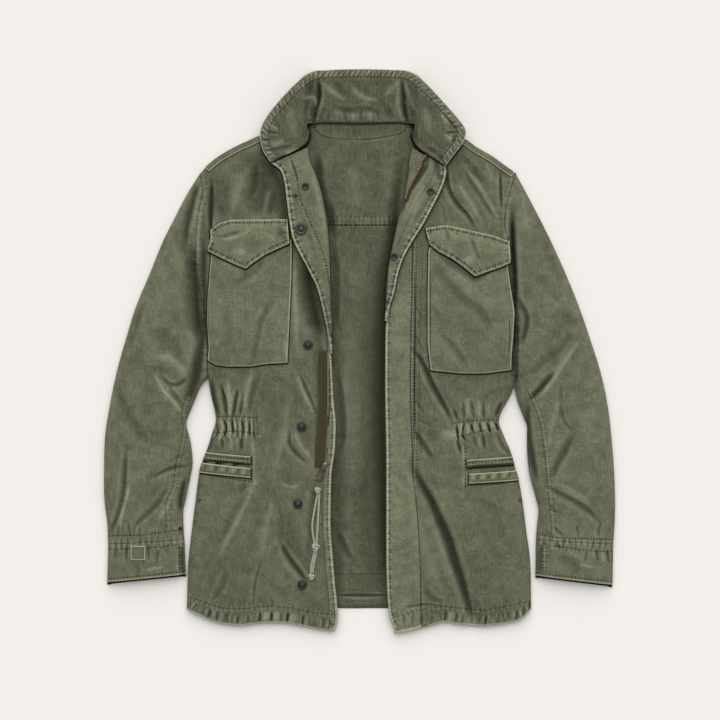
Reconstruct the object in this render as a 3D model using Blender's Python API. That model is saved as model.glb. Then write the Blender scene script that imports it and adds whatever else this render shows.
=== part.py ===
"""Field jacket laid open on a flat surface, its fronts parted and its collar turned out.

Tables and named sizes are in millimetres; meshes are written in metres.
X runs across the body with the wearer's right at -X, Y runs up to the collar, Z is up.
The cloth has two layers: the upper one (fronts, upper sleeves) is a rounded surface over the
under one (back, under sleeves), which lies flat and turns up to meet it at the edge seams.
"""
import math

import bmesh
import bpy
import numpy as np
from mathutils import Matrix, Vector
from mathutils.bvhtree import BVHTree
from mathutils.geometry import delaunay_2d_cdt

MM = 0.001

# Cloth and seams
CLOTH = 1.4
DOUBLE_CLOTH = 2.2
COLLAR_CLOTH = 2.6
LAPEL_CLOTH = 1.8
TAPE_CLOTH = 1.0
SEAM_GAP = 0.3
SEAM_HEIGHT = 5.0
TOP_ROUNDING = 42.0
UNDER_ROUNDING = 9.0
FIELD_SKIN = 0.2
FIELD_TURN = 6.0
AT_SEAM = 1.0
SLEEVE_LOFT_X = 225.0
SLEEVE_LOFT_RUN = 40.0

# Sampling of the panels
OUTLINE_STEP = 19.0
PANEL_STEP = 27.0
TRIM_STEP = 13.0
LAPEL_STEP = 14.0
TOP_RINGS = (2.2, 9.0, 22.0)
UNDER_RINGS = (2.4, 8.5)
EDGE_SEAM_STEP = 5.0
SEAM_LINE_STEP = 40.0
WIDE_STEP = 60.0
COLLAR_STEP = 17.0
CUFF_STEP = 20.0
CUFF_UNDER_STEP = 40.0
POCKET_STEP = 13.0
FLAP_STEP = 9.0
FLAP_INNER_STEP = 16.0
TAPE_STEP = 16.0
TAPE_LEFT_STEP = 9.0
PATCH_STEP = 9.0
PATCH_EDGE_STEP = 11.0
EDGE_CLEAR = 1.2
OVERLAY_EDGE_CLEAR = 1.5
OVERLAY_RING_CLEAR = 2.5
SAME_POINT = 0.05
SHARPEST_CORNER = 0.25
SHARP_ANGLE = math.radians(50)

# Front edges, collar, pockets
ROLL_RADIUS = 4.0
ROLL_STEPS = 6
COLLAR_REST = 60.0
COLLAR_RISE_RUN = 32.0
COLLAR_LIFT = 24.6
COLLAR_DROOP_X = 105.0
COLLAR_DROOP_RUN = 50.0
COLLAR_DROOP = 1.6
COLLAR_CREASE_AT = 22.0
COLLAR_CREASE_WIDTH = 9.0
COLLAR_CREASE = 1.6
LAPEL_SHARES = (0.15, 0.35, 0.6, 0.82, 1.0)
LAPEL_CLEAR = 1.0
CUFF_SHOWN_UNDER = 2.5
NECK_CENTRE = 2.3
YOKE_SEAM_Y = 189.0
POCKET_RIM = 3.0
POCKET_CROWN = 1.1
POCKET_CROWN_RUN = 45.0
POCKET_TURN = 1.0
POCKET_TURN_CLEAR = 0.2
FLAP_LIFT = 5.2
FLAP_LIFT_RUN = 20.0
SEWN_LIFT = 0.5
HAND_POCKET_OUTER = 0.6
HAND_POCKET_RING = 36.0
EPAULETTE_SPAN = (149.0, 231.0)
EPAULETTE_GAP = 0.7
EPAULETTE_CLEAR = 3.0
EPAULETTE_INSET = 0.3
PATCH_CLOTH = 1.2
OVERLAY_GAP = 0.5

# Gathers
WAIST_WAVE = 9.0
WAIST_DEPTH = 1.15
WAIST_REACH = 32.0
WAIST_ENDS = 8.0
WAIST_PAST_END = 1.08
WAIST_FULL = 1.25
WAIST_LEVELS = (-34.0, -17.0, 0.0, 17.0, 34.0)
HEM_WAVE = 12.0
HEM_DEPTH = 1.2
HEM_BAND = 22.0
HEM_FULL = 1.2
HEM_LEVELS = (10.0, 24.0)
HEM_EDGE_STEP = 10.0
BODY_HALF = 262.0

# Zip, cord and studs
STUD_GAP = 0.7
CORD_RADIUS = 1.15
KNOT_TURN = math.radians(-8.0)
CORD_LIFT = 1.2
CORD_POINT_STEP = 5.5
KNOT_HEIGHT = 3.1
KNOT_LIFT = 4.4
KNOT_SWELL = 0.14
TAB_TILT = math.radians(8.0)
SLIDER_SIZE = (8.0, 11.0, 3.6)
SLIDER_LIFT = 0.8
SLIDER_SOFT_EDGE = 0.8
ARCH_WIDTH = 2.8
BAR_AHEAD = 3.4
BAR_HEIGHT = 1.3
TAB_SIZE = (9.6, 21.0, 1.4)
TAB_BAR = 0.7
TAB_SIDES = 1.7
TAB_END = 2.2

SIGN = {"right": -1.0, "left": 1.0}


def table(columns, *rows):
    """A short table as one array for each named column."""
    return {name: np.array(values, float) for name, values in zip(columns.split(), zip(*rows))}


# Half-widths on each side of the body, from the armpit to the hem.
BODY_SIDE = table(
    "y right left",
    (-40.5, 226.5, 234.8),
    (-64.5, 222.8, 227.3),
    (-100.5, 215.3, 209.3),
    (-124.5, 221.3, 215.3),
    (-148.5, 228.8, 225.8),
    (-172.5, 237.8, 232.5),
    (-196.5, 242.3, 239.3),
    (-232.5, 246.8, 245.3),
    (-268.5, 251.3, 249.8),
    (-316.5, 256.5, 255.8),
    (-386.0, 258.8, 257.3),
)
# Armhole seams, from the shoulder point to the armpit.
ARMHOLE = table(
    "y right left",
    (266.0, 239.0, 234.0),
    (238.5, 234.0, 225.0),
    (214.5, 238.5, 219.0),
    (184.5, 243.0, 216.8),
    (148.5, 244.5, 225.8),
    (114.0, 243.8, 229.2),
    (79.5, 236.3, 229.5),
    (54.0, 230.3, 232.5),
    (9.0, 228.0, 236.3),
    (-40.5, 226.5, 234.8),
)
# Shoulder lines, from the neck point to the shoulder point.
SHOULDER = table(
    "right_x right_y left_x left_y",
    (104.3, 332.0, 107.3, 331.0),
    (146.3, 322.5, 153.8, 318.0),
    (164.3, 315.0, 174.8, 304.5),
    (189.8, 303.0, 197.3, 291.5),
    (210.8, 290.5, 215.3, 278.5),
    (227.3, 277.5, 226.5, 270.5),
    (239.0, 266.0, 234.0, 266.0),
)
# Outer edges of the sleeves, from the shoulder point to the cuff seam.
SLEEVE_OUTER = table(
    "y right left",
    (266.0, 239.0, 234.0),
    (235.5, 258.0, 250.5),
    (199.5, 276.8, 269.3),
    (163.5, 294.8, 287.3),
    (115.5, 314.3, 309.0),
    (67.5, 334.5, 328.5),
    (19.5, 349.5, 345.0),
    (-28.5, 363.0, 360.3),
    (-76.5, 373.2, 371.0),
    (-124.5, 380.8, 377.0),
    (-172.5, 382.7, 381.0),
    (-220.5, 382.3, 382.9),
    (-256.5, 378.0, 382.3),
    (-289.0, 376.5, 380.3),
)
# Inner edges of the sleeves, from the armpit to the cuff seam.
SLEEVE_INNER = table(
    "y right left",
    (-40.5, 226.5, 234.8),
    (-52.5, 237.0, 231.8),
    (-76.5, 247.5, 237.0),
    (-100.5, 257.3, 246.0),
    (-112.5, 258.8, 250.5),
    (-136.5, 252.8, 250.5),
    (-166.5, 249.8, 252.0),
    (-190.5, 253.5, 255.8),
    (-220.5, 259.5, 264.0),
    (-238.5, 263.5, 267.8),
    (-263.0, 263.3, 265.5),
    (-282.5, 262.0, 264.0),
)
# Cuff corners: seam and hem, at the outer and the inner edge of each sleeve.
CUFF = table(
    "right_x right_y left_x left_y",
    (376.5, -289.0, 380.3, -289.0),
    (378.0, -346.0, 379.0, -350.0),
    (262.0, -282.5, 264.0, -282.5),
    (259.5, -334.0, 263.3, -336.0),
)
# Lower edges of the fronts, from the side seam to the front edge.
FRONT_HEM = {
    "right": table("x y", (258.8, -386.0), (240.8, -394.5), (215.3, -405.0), (180.8, -410.3),
                   (146.3, -406.5), (111.8, -406.5), (86.3, -411.0), (60.8, -416.3), (37.5, -420.0)),
    "left": table("x y", (257.3, -386.0), (242.3, -400.5), (218.3, -407.3), (185.3, -411.0),
                  (168.8, -410.3), (144.8, -408.0), (128.3, -405.0), (104.3, -411.0)),
}
# Lapels: the roll where the front turns back, the free edge, and the height over the front.
LAPEL = {
    "right": table("roll_x roll_y free_x free_y lift",
                   (77.3, 303.0, 131.3, 279.0, 8.0), (74.3, 282.0, 117.8, 268.5, 7.5),
                   (63.8, 256.5, 111.8, 250.5, 7.0), (56.3, 231.0, 108.0, 222.0, 6.5),
                   (51.0, 202.5, 104.3, 193.5, 6.5), (47.3, 175.5, 99.0, 166.5, 7.0),
                   (45.3, 142.5, 87.8, 142.5, 8.0), (44.3, 112.5, 75.8, 120.0, 9.0),
                   (43.8, 82.5, 63.0, 93.0, 8.0), (42.5, 49.5, 53.5, 55.5, 6.2)),
    "left": table("roll_x roll_y free_x free_y lift",
                  (78.8, 301.5, 128.3, 274.5, 8.0), (75.0, 282.0, 129.0, 264.0, 7.5),
                  (73.2, 259.5, 123.0, 243.0, 7.0), (68.3, 234.0, 108.8, 214.5, 6.5),
                  (60.8, 204.0, 95.3, 189.0, 6.5), (54.0, 175.5, 80.3, 165.0, 6.5),
                  (48.0, 145.5, 67.5, 142.5, 6.5), (43.5, 120.0, 58.5, 118.5, 6.5),
                  (40.8, 91.5, 51.8, 87.0, 6.2)),
}
# Front edges below the lapels, to the hem, with the seam that the edge piece is sewn at.
FRONT_EDGE = {
    "right": table("y edge seam", (45.0, 44.0, 50.0), (0.0, 42.0, 47.5), (-46.5, 39.8, 47.5),
                   (-76.5, 38.3, 47.3), (-108.0, 35.3, 47.3), (-148.5, 36.8, 49.5),
                   (-181.5, 41.3, 53.3), (-229.5, 42.8, 54.8), (-267.0, 42.8, 54.8),
                   (-306.0, 39.8, 51.8), (-343.5, 36.8, 48.8), (-372.0, 33.8, 45.8),
                   (-402.0, 32.3, 44.5), (-418.5, 37.0, 45.5)),
    "left": table("y edge seam", (86.0, 42.5, 78.0), (60.0, 39.8, 77.5), (20.0, 38.5, 76.5),
                  (-15.0, 38.3, 76.0), (-70.0, 38.3, 76.0), (-148.5, 39.8, 78.8),
                  (-187.5, 39.8, 79.5), (-229.5, 39.8, 84.8), (-295.5, 39.8, 89.3),
                  (-343.5, 40.5, 90.8), (-382.5, 42.8, 91.0), (-401.0, 45.8, 92.3),
                  (-413.5, 51.8, 93.0)),
}
# Largest folds of the upper cloth: a trough (or, below zero, a ridge) between two points.
FOLDS = table(
    "x1 y1 x2 y2 width depth",
    (78.8, -183.0, 128.0, -285.0, 6.5, 4.5),
    (120.0, -268.0, 170.3, -403.0, 8.5, 6.0),
    (100.0, -170.0, 160.0, -300.0, 14.0, -2.0),
    (78.8, -1.5, 135.8, -99.0, 5.0, 2.4),
    (144.8, 279.0, 180.8, 193.5, 7.0, 2.6),
    (162.8, 279.0, 206.0, 189.0, 7.0, 2.2),
    (138.8, 250.0, 150.0, 196.5, 7.0, 2.2),
    (-146.3, 286.5, -155.3, 204.0, 9.0, 3.0),
    (-131.3, 262.0, -125.3, 199.5, 7.0, 2.6),
    (-221.3, 236.0, -218.5, 170.0, 5.0, 2.4),
    (-84.0, 120.0, -56.0, 22.5, 11.0, 4.5),
    (-119.3, -280.5, -80.3, -328.5, 7.0, 2.8),
    (-104.0, -150.0, -78.0, -165.0, 7.0, 2.0),
    (-251.3, 238.0, -258.8, 150.0, 9.0, 3.4),
    (-249.0, 106.5, -242.0, 24.0, 8.0, 3.6),
    (-299.3, -31.5, -261.8, -51.0, 6.5, 3.2),
    (-356.0, -66.0, -314.0, -133.0, 11.0, 2.6),
    (-347.0, -148.0, -371.0, -262.0, 8.0, 2.6),
    (-272.0, -174.0, -311.0, -190.0, 5.0, 2.2),
    (-275.0, -186.0, -329.0, -256.0, 7.0, 2.2),
    (240.0, 219.0, 243.0, 60.0, 6.5, 3.4),
    (255.8, 49.5, 244.0, -10.0, 7.0, 2.8),
    (309.8, 39.0, 258.0, -34.0, 8.0, 2.6),
    (288.8, -21.0, 266.0, -73.5, 6.5, 3.4),
    (323.0, -118.5, 286.0, -193.5, 8.0, 3.0),
    (278.0, -201.0, 346.0, -246.0, 7.0, 2.2),
)
# Height of the upper cloth away from its edge seams.
LOFT = table(
    "y body sleeve",
    (-430.0, 8.5, 14.0),
    (-395.0, 10.0, 14.0),
    (-350.0, 15.0, 15.0),
    (-290.0, 18.0, 17.0),
    (-200.0, 19.0, 20.0),
    (-110.0, 17.0, 21.0),
    (-40.0, 19.0, 21.5),
    (60.0, 21.5, 22.5),
    (180.0, 20.5, 21.0),
    (260.0, 16.0, 16.0),
    (345.0, 13.5, 14.0),
)
# Drawn-in waist: where each row of gathers starts and ends.
WAIST = table("x_in y_in x_out y_out", (-150.8, -112.5, -214.0, -110.0), (140.3, -120.0, 210.0, -110.0))
# Hem puckers: how deep they are along each front.
HEM_PUCKERS = table("x depth", (-258.0, 0.5), (-215.0, 0.8), (-175.0, 0.5), (-150.0, 1.0),
                    (-90.0, 1.0), (-45.0, 0.6), (45.0, 0.5), (90.0, 0.7), (150.0, 0.5),
                    (200.0, 0.6), (257.0, 0.7))
# Collar outline, from the right-hand lapel corner over the top to the left-hand one.
COLLAR_EDGE = table(
    "x y",
    (-132.8, 280.5), (-144.8, 300.0), (-147.8, 327.0), (-135.8, 352.5), (-103.5, 390.0),
    (-71.3, 417.0), (-50.0, 421.5), (0.0, 423.0), (48.0, 422.0), (71.3, 419.3), (96.8, 400.5),
    (126.8, 369.0), (150.8, 341.3), (158.3, 327.0), (153.8, 309.0), (140.3, 291.0),
    (128.3, 274.5),
)
# Collar seam, from the left-hand lapel corner round the back of the neck.
COLLAR_SEAM = table(
    "x y",
    (99.8, 293.0), (84.8, 304.5), (77.5, 322.0), (75.8, 340.5), (2.3, 341.0), (-71.3, 340.5),
    (-73.5, 324.0), (-80.3, 307.5), (-103.5, 293.5),
)
BACK_NECK = table("x y", (-104.3, 332.0), (-71.3, 339.5), (2.3, 340.2), (75.8, 339.5), (107.3, 331.0))
NECK_FACING = table("x y", (-65.0, 336.5), (-65.3, 330.0), (-50.3, 321.8), (-18.8, 317.3),
                    (15.8, 317.3), (50.3, 322.5), (68.3, 330.0), (68.3, 336.5))
BACK_HEM_TOP = table("x y", (-236.0, -365.5), (234.0, -367.0))
BACK_HEM_LOW = table("x y", (234.0, -383.0), (-236.0, -383.0))
FRONT_NECK = (96.0, 309.0)
LEFT_ROLL_END = 100.0
LEFT_HEM_FROM = 95.0
RIGHT_HEM_TO = -47.5
UNDERLAP_HEM_FROM = -45.5
FLY_HEM = table("x y", (93.0, -413.5), (78.8, -417.8), (51.8, -423.0))
FLY_HEM_STEP = 6.0
CHEST_POCKET = {
    "right": table("x y", (219.8, 166.5), (221.3, 139.5), (226.5, 79.5), (227.3, 45.0),
                   (225.0, 3.0), (226.6, -14.3), (213.8, -21.0), (197.3, -23.4),
                   (162.8, -23.4), (137.3, -19.5), (107.3, -18.0), (105.8, 10.5),
                   (103.5, 57.0), (101.3, 103.5), (100.5, 156.0), (101.3, 166.0)),
    "left": table("x y", (222.0, 138.0), (221.3, 121.5), (225.8, 91.5), (231.0, 57.0),
                  (229.3, 22.5), (226.6, -8.0), (226.6, -28.5), (186.8, -33.8),
                  (152.3, -33.8), (105.8, -29.3), (101.3, 10.5), (101.3, 79.5),
                  (102.3, 148.0), (104.3, 155.0), (140.0, 148.0), (180.0, 141.0)),
}
CHEST_FLAP = {
    "right": table("x y lift", (222.8, 180.0, 0.0), (209.3, 190.5, 0.0), (192.8, 195.8, 0.0),
                   (152.3, 195.8, 0.0), (107.3, 196.5, 0.0), (104.0, 159.0, 1.0),
                   (119.3, 152.3, 1.0), (140.3, 142.5, 1.0), (161.3, 128.0, 1.0),
                   (168.8, 121.5, 1.0), (183.8, 127.5, 1.0), (204.8, 137.3, 1.0),
                   (226.3, 148.5, 1.0), (222.8, 162.0, 1.0)),
    "left": table("x y lift", (97.5, 183.0, 0.0), (125.3, 187.5, 0.0), (138.8, 186.0, 0.0),
                  (171.0, 178.5, 0.0), (198.8, 172.5, 0.0), (223.5, 163.5, 0.0),
                  (225.0, 130.5, 1.0), (207.8, 123.0, 1.0), (189.8, 117.0, 1.0),
                  (171.8, 110.3, 1.0), (152.3, 126.0, 1.0), (136.5, 137.3, 1.0),
                  (117.8, 147.0, 1.0), (104.3, 157.5, 1.0)),
}
# Hand pockets: the inner end's place, the heights of both ends, and each piece's width.
HAND_POCKET = {
    "band_right": table("inner_x inner_y outer_y width", (162.0, -157.0, -151.0, 12.5)),
    "welt_right": table("inner_x inner_y outer_y width", (162.0, -174.5, -167.0, 15.0)),
    "band_left": table("inner_x inner_y outer_y width", (159.8, -162.0, -157.5, 12.5)),
    "welt_left": table("inner_x inner_y outer_y width", (162.8, -183.0, -178.5, 15.0)),
}
# Right-hand zip half and its slider, on the right front.
ZIP_TAPE_RIGHT = table("x y", (-59.0, 0.0), (-60.5, -46.5), (-62.5, -95.0), (-66.5, -150.0),
                       (-67.0, -174.0), (-54.0, -174.0), (-50.8, -148.5), (-48.6, -108.0),
                       (-48.6, -46.5), (-48.6, 0.0))
ZIP_TAPE_LEFT = table("x y", (99.8, 289.5), (94.0, 281.0), (92.5, 274.0), (84.0, 258.0),
                      (74.8, 240.0), (69.5, 224.0))
SLIDER_PLACE = (-52.5, -171.5)
TAB_HEADING = (-0.42, -0.9075)
# Side view of the slider's arch: along the zip, and up from the slider's top face.
ARCH_SIDE = table("along up", (-5.4, -0.6), (-5.4, 3.5), (3.0, 3.5), (3.0, -0.6), (1.6, -0.6),
                  (1.6, 2.6), (-4.7, 2.6), (-4.7, -0.6))
FRONT_STUDS = table("x y", (-76.4, 9.0), (-86.3, -113.3), (-91.8, -228.0), (-85.4, -348.9))
SIDE_STUD_X = {"right": -239.5, "left": 240.5}
SIDE_STUD_Y = -223.0
TAPE_LEFT_OFFSETS = (-3.2, 0.0, 3.2)
TAPE_LEFT_REST = 1.3
CUFF_PATCH = table("x y", (-341.3, -290.5), (-319.5, -290.5), (-319.5, -312.0), (-341.3, -312.0))
LAPEL_STUDS = {
    "lapel_right_socket": ("right", -80.6, 244.5, "socket"),
    "lapel_right_cap": ("right", -87.0, 181.0, "cap"),
    "lapel_left_socket_1": ("left", 105.8, 237.0, "socket"),
    "lapel_left_socket_2": ("left", 51.6, 139.5, "socket"),
}
# Turned shapes of the press studs: radius and height rows.
STUD_SHAPES = {
    "stud": ((6.75, 0.0), (7.5, 0.7), (7.05, 1.5), (4.1, 2.1), (2.25, 3.0)),
    "socket": ((4.4, 0.0), (5.6, 0.5), (5.2, 1.4), (3.0, 1.6), (2.2, 0.9)),
    "cap": ((7.6, 0.0), (9.0, 0.9), (8.0, 2.2), (4.0, 3.0)),
    "small": ((2.6, 0.0), (3.0, 0.5), (2.4, 1.5)),
}
# Both strands of the pull cord, and the three knots that hold them together.
CORD_KNOTS = table("x y long wide", (-62.3, -207.5, 5.0, 4.6), (-65.3, -292.5, 6.4, 5.6),
                   (-71.3, -336.5, 5.2, 4.4))
CORD_STRANDS = {
    "upper_a": table("x y", (-62.6, -213.4), (-64.6, -224.0), (-67.6, -240.0), (-70.2, -258.0),
                     (-69.6, -272.0), (-67.2, -285.4)),
    "upper_b": table("x y", (-60.0, -213.0), (-60.6, -228.0), (-61.4, -244.0), (-62.4, -262.0),
                     (-63.2, -274.0), (-63.8, -285.4)),
    "lower_a": table("x y", (-67.4, -299.6), (-69.6, -310.0), (-72.0, -321.0), (-72.6, -330.6)),
    "lower_b": table("x y", (-64.2, -299.6), (-66.4, -310.0), (-68.6, -321.0), (-69.6, -330.6)),
}
MATERIALS = {
    "cotton": ((0.125, 0.135, 0.085), 0.9, 0.0),
    "cotton_inside": ((0.10, 0.105, 0.065), 0.92, 0.0),
    "zip_tape": ((0.09, 0.055, 0.035), 0.85, 0.0),
    "brass": ((0.30, 0.20, 0.11), 0.4, 1.0),
    "dark_metal": ((0.055, 0.052, 0.048), 0.38, 1.0),
    "cord": ((0.27, 0.28, 0.20), 0.9, 0.0),
}


# ---------------------------------------------------------------- lines in plan

def smooth_line(points, step):
    """Points about a step apart along a smooth curve through the given points."""
    p = np.array(points, float)
    ghosts = np.vstack([2 * p[0] - p[1], p, 2 * p[-1] - p[-2]])
    t = np.linspace(0, 1, 13)[:-1, None]
    spans = []
    for a, b, c, d in zip(ghosts, ghosts[1:], ghosts[2:], ghosts[3:]):
        linear = 2 * b + (c - a) * t
        curved = (2 * a - 5 * b + 4 * c - d) * t ** 2 + (3 * b - a - 3 * c + d) * t ** 3
        spans.append(0.5 * (linear + curved))
    return resample(np.vstack(spans + [p[-1:]]), step)


def resample(line, step):
    """The line with its points spaced evenly, about a step apart in plan."""
    run = np.concatenate([[0], np.cumsum(np.hypot(*np.diff(line[:, :2], axis=0).T))])
    at = np.linspace(0, run[-1], max(1, round(run[-1] / step)) + 1)
    return np.column_stack([np.interp(at, run, column) for column in line.T])


def columns(rows, x, y, sign=1.0):
    """Two columns of a table as points, mirrored for the wearer's right."""
    return np.column_stack([sign * rows[x], rows[y]])


def side_line(rows, side, step=OUTLINE_STEP):
    return smooth_line(columns(rows, side, "y", SIGN[side]), step)


def shoulder_line(side, step=OUTLINE_STEP):
    return smooth_line(columns(SHOULDER, side + "_x", side + "_y", SIGN[side]), step)


def cuff_corner(side, index):
    return np.array([SIGN[side] * CUFF[side + "_x"][index], CUFF[side + "_y"][index]])


def cuff_line(side, first, last, step=OUTLINE_STEP):
    return resample(np.array([cuff_corner(side, first), cuff_corner(side, last)]), step)


def front_hem(side, step):
    return smooth_line(columns(FRONT_HEM[side], "x", "y", SIGN[side]), step)


def front_edge(side, column, step=OUTLINE_STEP):
    return smooth_line(columns(FRONT_EDGE[side], column, "y", SIGN[side]), step)


def closed(*lines):
    """One closed outline from lines that follow each other, anticlockwise, without doubles."""
    points = [tuple(p) for line in lines for p in line]
    loop = [p for p, q in zip(points, points[-1:] + points[:-1]) if math.dist(p, q) > SAME_POINT]
    loop = np.array(loop)
    x, y = loop.T
    area = np.dot(x, np.roll(y, -1)) - np.dot(y, np.roll(x, -1))
    return loop if area > 0 else loop[::-1]


def inset(loop, amount):
    """The outline drawn in on every side by the amount."""
    ahead = np.roll(loop, -1, axis=0) - loop
    ahead /= np.linalg.norm(ahead, axis=1)[:, None]
    behind = np.roll(ahead, 1, axis=0)
    inner = np.column_stack([-ahead[:, 1] - behind[:, 1], ahead[:, 0] + behind[:, 0]])
    inner /= np.linalg.norm(inner, axis=1)[:, None]
    cosine = inner[:, 0] * -ahead[:, 1] + inner[:, 1] * ahead[:, 0]
    return loop + inner * (amount / np.clip(cosine, SHARPEST_CORNER, 1.0))[:, None]


def segments(line, is_closed=False):
    ends = np.roll(line, -1, axis=0) if is_closed else line[1:]
    starts = line if is_closed else line[:-1]
    return np.stack([starts, ends], axis=1)


def nearest(points, pieces):
    """Distance from each point to the nearest segment, and the unit direction away from it."""
    start, along = pieces[:, 0], pieces[:, 1] - pieces[:, 0]
    gap = points[:, None] - start
    t = np.clip((gap * along).sum(2) / (along * along).sum(1), 0, 1)
    away = gap - along * t[:, :, None]
    distance = np.linalg.norm(away, axis=2)
    pick = distance.argmin(axis=1)
    rows = np.arange(len(points))
    best = distance[rows, pick]
    return best, away[rows, pick] / np.maximum(best, 1e-9)[:, None]


def edge_field(points):
    """Distance from the nearest edge seam, and a direction away from it that turns smoothly."""
    start, along = EDGE_SEAMS[:, 0], EDGE_SEAMS[:, 1] - EDGE_SEAMS[:, 0]
    gap = points[:, None] - start
    t = np.clip((gap * along).sum(2) / (along * along).sum(1), 0, 1)
    away = gap - along * t[:, :, None]
    distance = np.linalg.norm(away, axis=2)
    pull = 1.0 / (distance * (distance + FIELD_TURN) ** 4 + 1e-9)
    inward = (away * pull[:, :, None]).sum(axis=1)
    return distance.min(axis=1), inward / np.linalg.norm(inward, axis=1)[:, None]


def apart_from(points, others, least):
    """The points that are at least that far from every other point."""
    if not len(points) or not len(others):
        return points
    return points[np.linalg.norm(points[:, None] - others, axis=2).min(axis=1) > least]


def inside(points, loop):
    """True for the points within the outline."""
    x, y = points[:, :1], points[:, 1:]
    x1, y1 = loop.T
    x2, y2 = np.roll(loop, -1, axis=0).T
    spans = (y1 > y) != (y2 > y)
    crossing = x1 + (y - y1) * (x2 - x1) / np.where(y2 == y1, 1e-9, y2 - y1)
    return (spans & (x < crossing)).sum(axis=1) % 2 == 1


# ---------------------------------------------------------------- the cloth's surfaces

def edge_seams():
    """Every seam where the upper cloth meets the under cloth."""
    lines = []
    for side in SIGN:
        lines.append(side_line(BODY_SIDE, side, EDGE_SEAM_STEP))
        lines.append(shoulder_line(side, EDGE_SEAM_STEP))
        lines.append(side_line(SLEEVE_OUTER, side, EDGE_SEAM_STEP))
        lines.append(side_line(SLEEVE_INNER, side, EDGE_SEAM_STEP))
        lines.append(cuff_line(side, 0, 1, CUFF_STEP))
        lines.append(cuff_line(side, 2, 3, CUFF_STEP))
    return np.vstack([segments(line) for line in lines])


EDGE_SEAMS = edge_seams()


def quarter_round(q):
    return np.sqrt(1 - (1 - np.clip(q, 0, 1)) ** 2)


def soft_step(value):
    t = np.clip(value, 0, 1)
    return t * t * (3 - 2 * t)


def loft(xy):
    body = np.interp(xy[:, 1], LOFT["y"], LOFT["body"])
    sleeve = np.interp(xy[:, 1], LOFT["y"], LOFT["sleeve"])
    return body + (sleeve - body) * soft_step((np.abs(xy[:, 0]) - SLEEVE_LOFT_X) / SLEEVE_LOFT_RUN)


def folds(xy):
    total = np.zeros(len(xy))
    for x1, y1, x2, y2, width, depth in zip(*FOLDS.values()):
        distance, _ = nearest(xy, np.array([[(x1, y1), (x2, y2)]]))
        total -= depth * np.exp(-(distance / width) ** 2)
    return total


def waist_gathers(xy):
    total = np.zeros(len(xy))
    for x_in, y_in, x_out, y_out in zip(*WAIST.values()):
        t = (xy[:, 0] - x_in) / (x_out - x_in)
        middle = y_in + (y_out - y_in) * t
        within = soft_step(t * WAIST_ENDS) * soft_step((WAIST_PAST_END - t) * WAIST_ENDS)
        reach = soft_step(WAIST_FULL - np.abs(xy[:, 1] - middle) / WAIST_REACH)
        total += WAIST_DEPTH * np.cos(math.tau * (xy[:, 0] - x_in) / WAIST_WAVE) * within * reach
    return total


def hem_puckers(xy):
    side = np.where(xy[:, 0] < 0, -1.0, 1.0)
    edge = np.zeros(len(xy))
    for name, sign in SIGN.items():
        hem = front_hem(name, HEM_EDGE_STEP)
        order = hem[:, 0].argsort()
        edge = np.where(side == sign, np.interp(xy[:, 0], hem[order, 0], hem[order, 1]), edge)
    band = soft_step(HEM_FULL - (xy[:, 1] - edge) / HEM_BAND)
    depth = np.interp(xy[:, 0], HEM_PUCKERS["x"], HEM_PUCKERS["depth"])
    in_body = np.abs(xy[:, 0]) < BODY_HALF
    return HEM_DEPTH * depth * np.cos(math.tau * xy[:, 0] / HEM_WAVE) * band * in_body


def top_height(xy):
    distance, _ = nearest(xy, EDGE_SEAMS)
    rise = quarter_round((distance - FIELD_SKIN) / TOP_ROUNDING)
    relief = folds(xy) + waist_gathers(xy) + hem_puckers(xy)
    return SEAM_HEIGHT + SEAM_GAP / 2 + (loft(xy) - SEAM_HEIGHT + relief) * rise


def slope_normal(height, xy, reach=0.4):
    """Unit normal of a height function."""
    dx, dy = np.array([reach, 0.0]), np.array([0.0, reach])
    slope_x = (height(xy + dx) - height(xy - dx)) / (2 * reach)
    slope_y = (height(xy + dy) - height(xy - dy)) / (2 * reach)
    normal = np.column_stack([-slope_x, -slope_y, np.ones(len(xy))])
    return normal / np.linalg.norm(normal, axis=1)[:, None]


def top_surface(xy):
    """Points of the upper cloth's outer face, and the direction out of it."""
    distance, inward = edge_field(xy)
    normal = slope_normal(top_height, xy)
    at_seam = distance < AT_SEAM
    normal[at_seam] = np.column_stack([-inward, np.zeros(len(xy))])[at_seam]
    return np.column_stack([xy, top_height(xy)]), normal


def under_surface(xy):
    """Points of the under cloth's outer face, which rests on the table, and the way inwards."""
    distance, inward = edge_field(xy)
    q = np.clip((distance - FIELD_SKIN) / UNDER_ROUNDING, 0, 1)
    rise = quarter_round(q)
    height = (SEAM_HEIGHT - SEAM_GAP / 2) * (1 - rise)
    normal = np.column_stack([inward * (1 - q)[:, None], rise])
    return np.column_stack([xy, height]), normal / np.linalg.norm(normal, axis=1)[:, None]


def collar_height(xy):
    spread = np.abs(xy[:, 0] - NECK_CENTRE) - COLLAR_REST
    wing = soft_step(spread / COLLAR_RISE_RUN)
    droop = COLLAR_DROOP * soft_step((np.abs(xy[:, 0]) - COLLAR_DROOP_X) / COLLAR_DROOP_RUN)
    crease = COLLAR_CREASE * np.exp(-((spread - COLLAR_CREASE_AT) / COLLAR_CREASE_WIDTH) ** 2)
    return COLLAR_CLOTH + COLLAR_LIFT * wing - droop + crease * wing


def collar_surface(xy):
    flat = np.abs(xy[:, 0] - NECK_CENTRE) < COLLAR_REST
    normal = slope_normal(collar_height, xy)
    normal[flat] = (0.0, 0.0, 1.0)
    return np.column_stack([xy, collar_height(xy)]), normal


def back_inside(xy):
    up = np.tile((0.0, 0.0, 1.0), (len(xy), 1))
    return np.column_stack([xy, np.full(len(xy), CLOTH)]), up


# ---------------------------------------------------------------- solids

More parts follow.
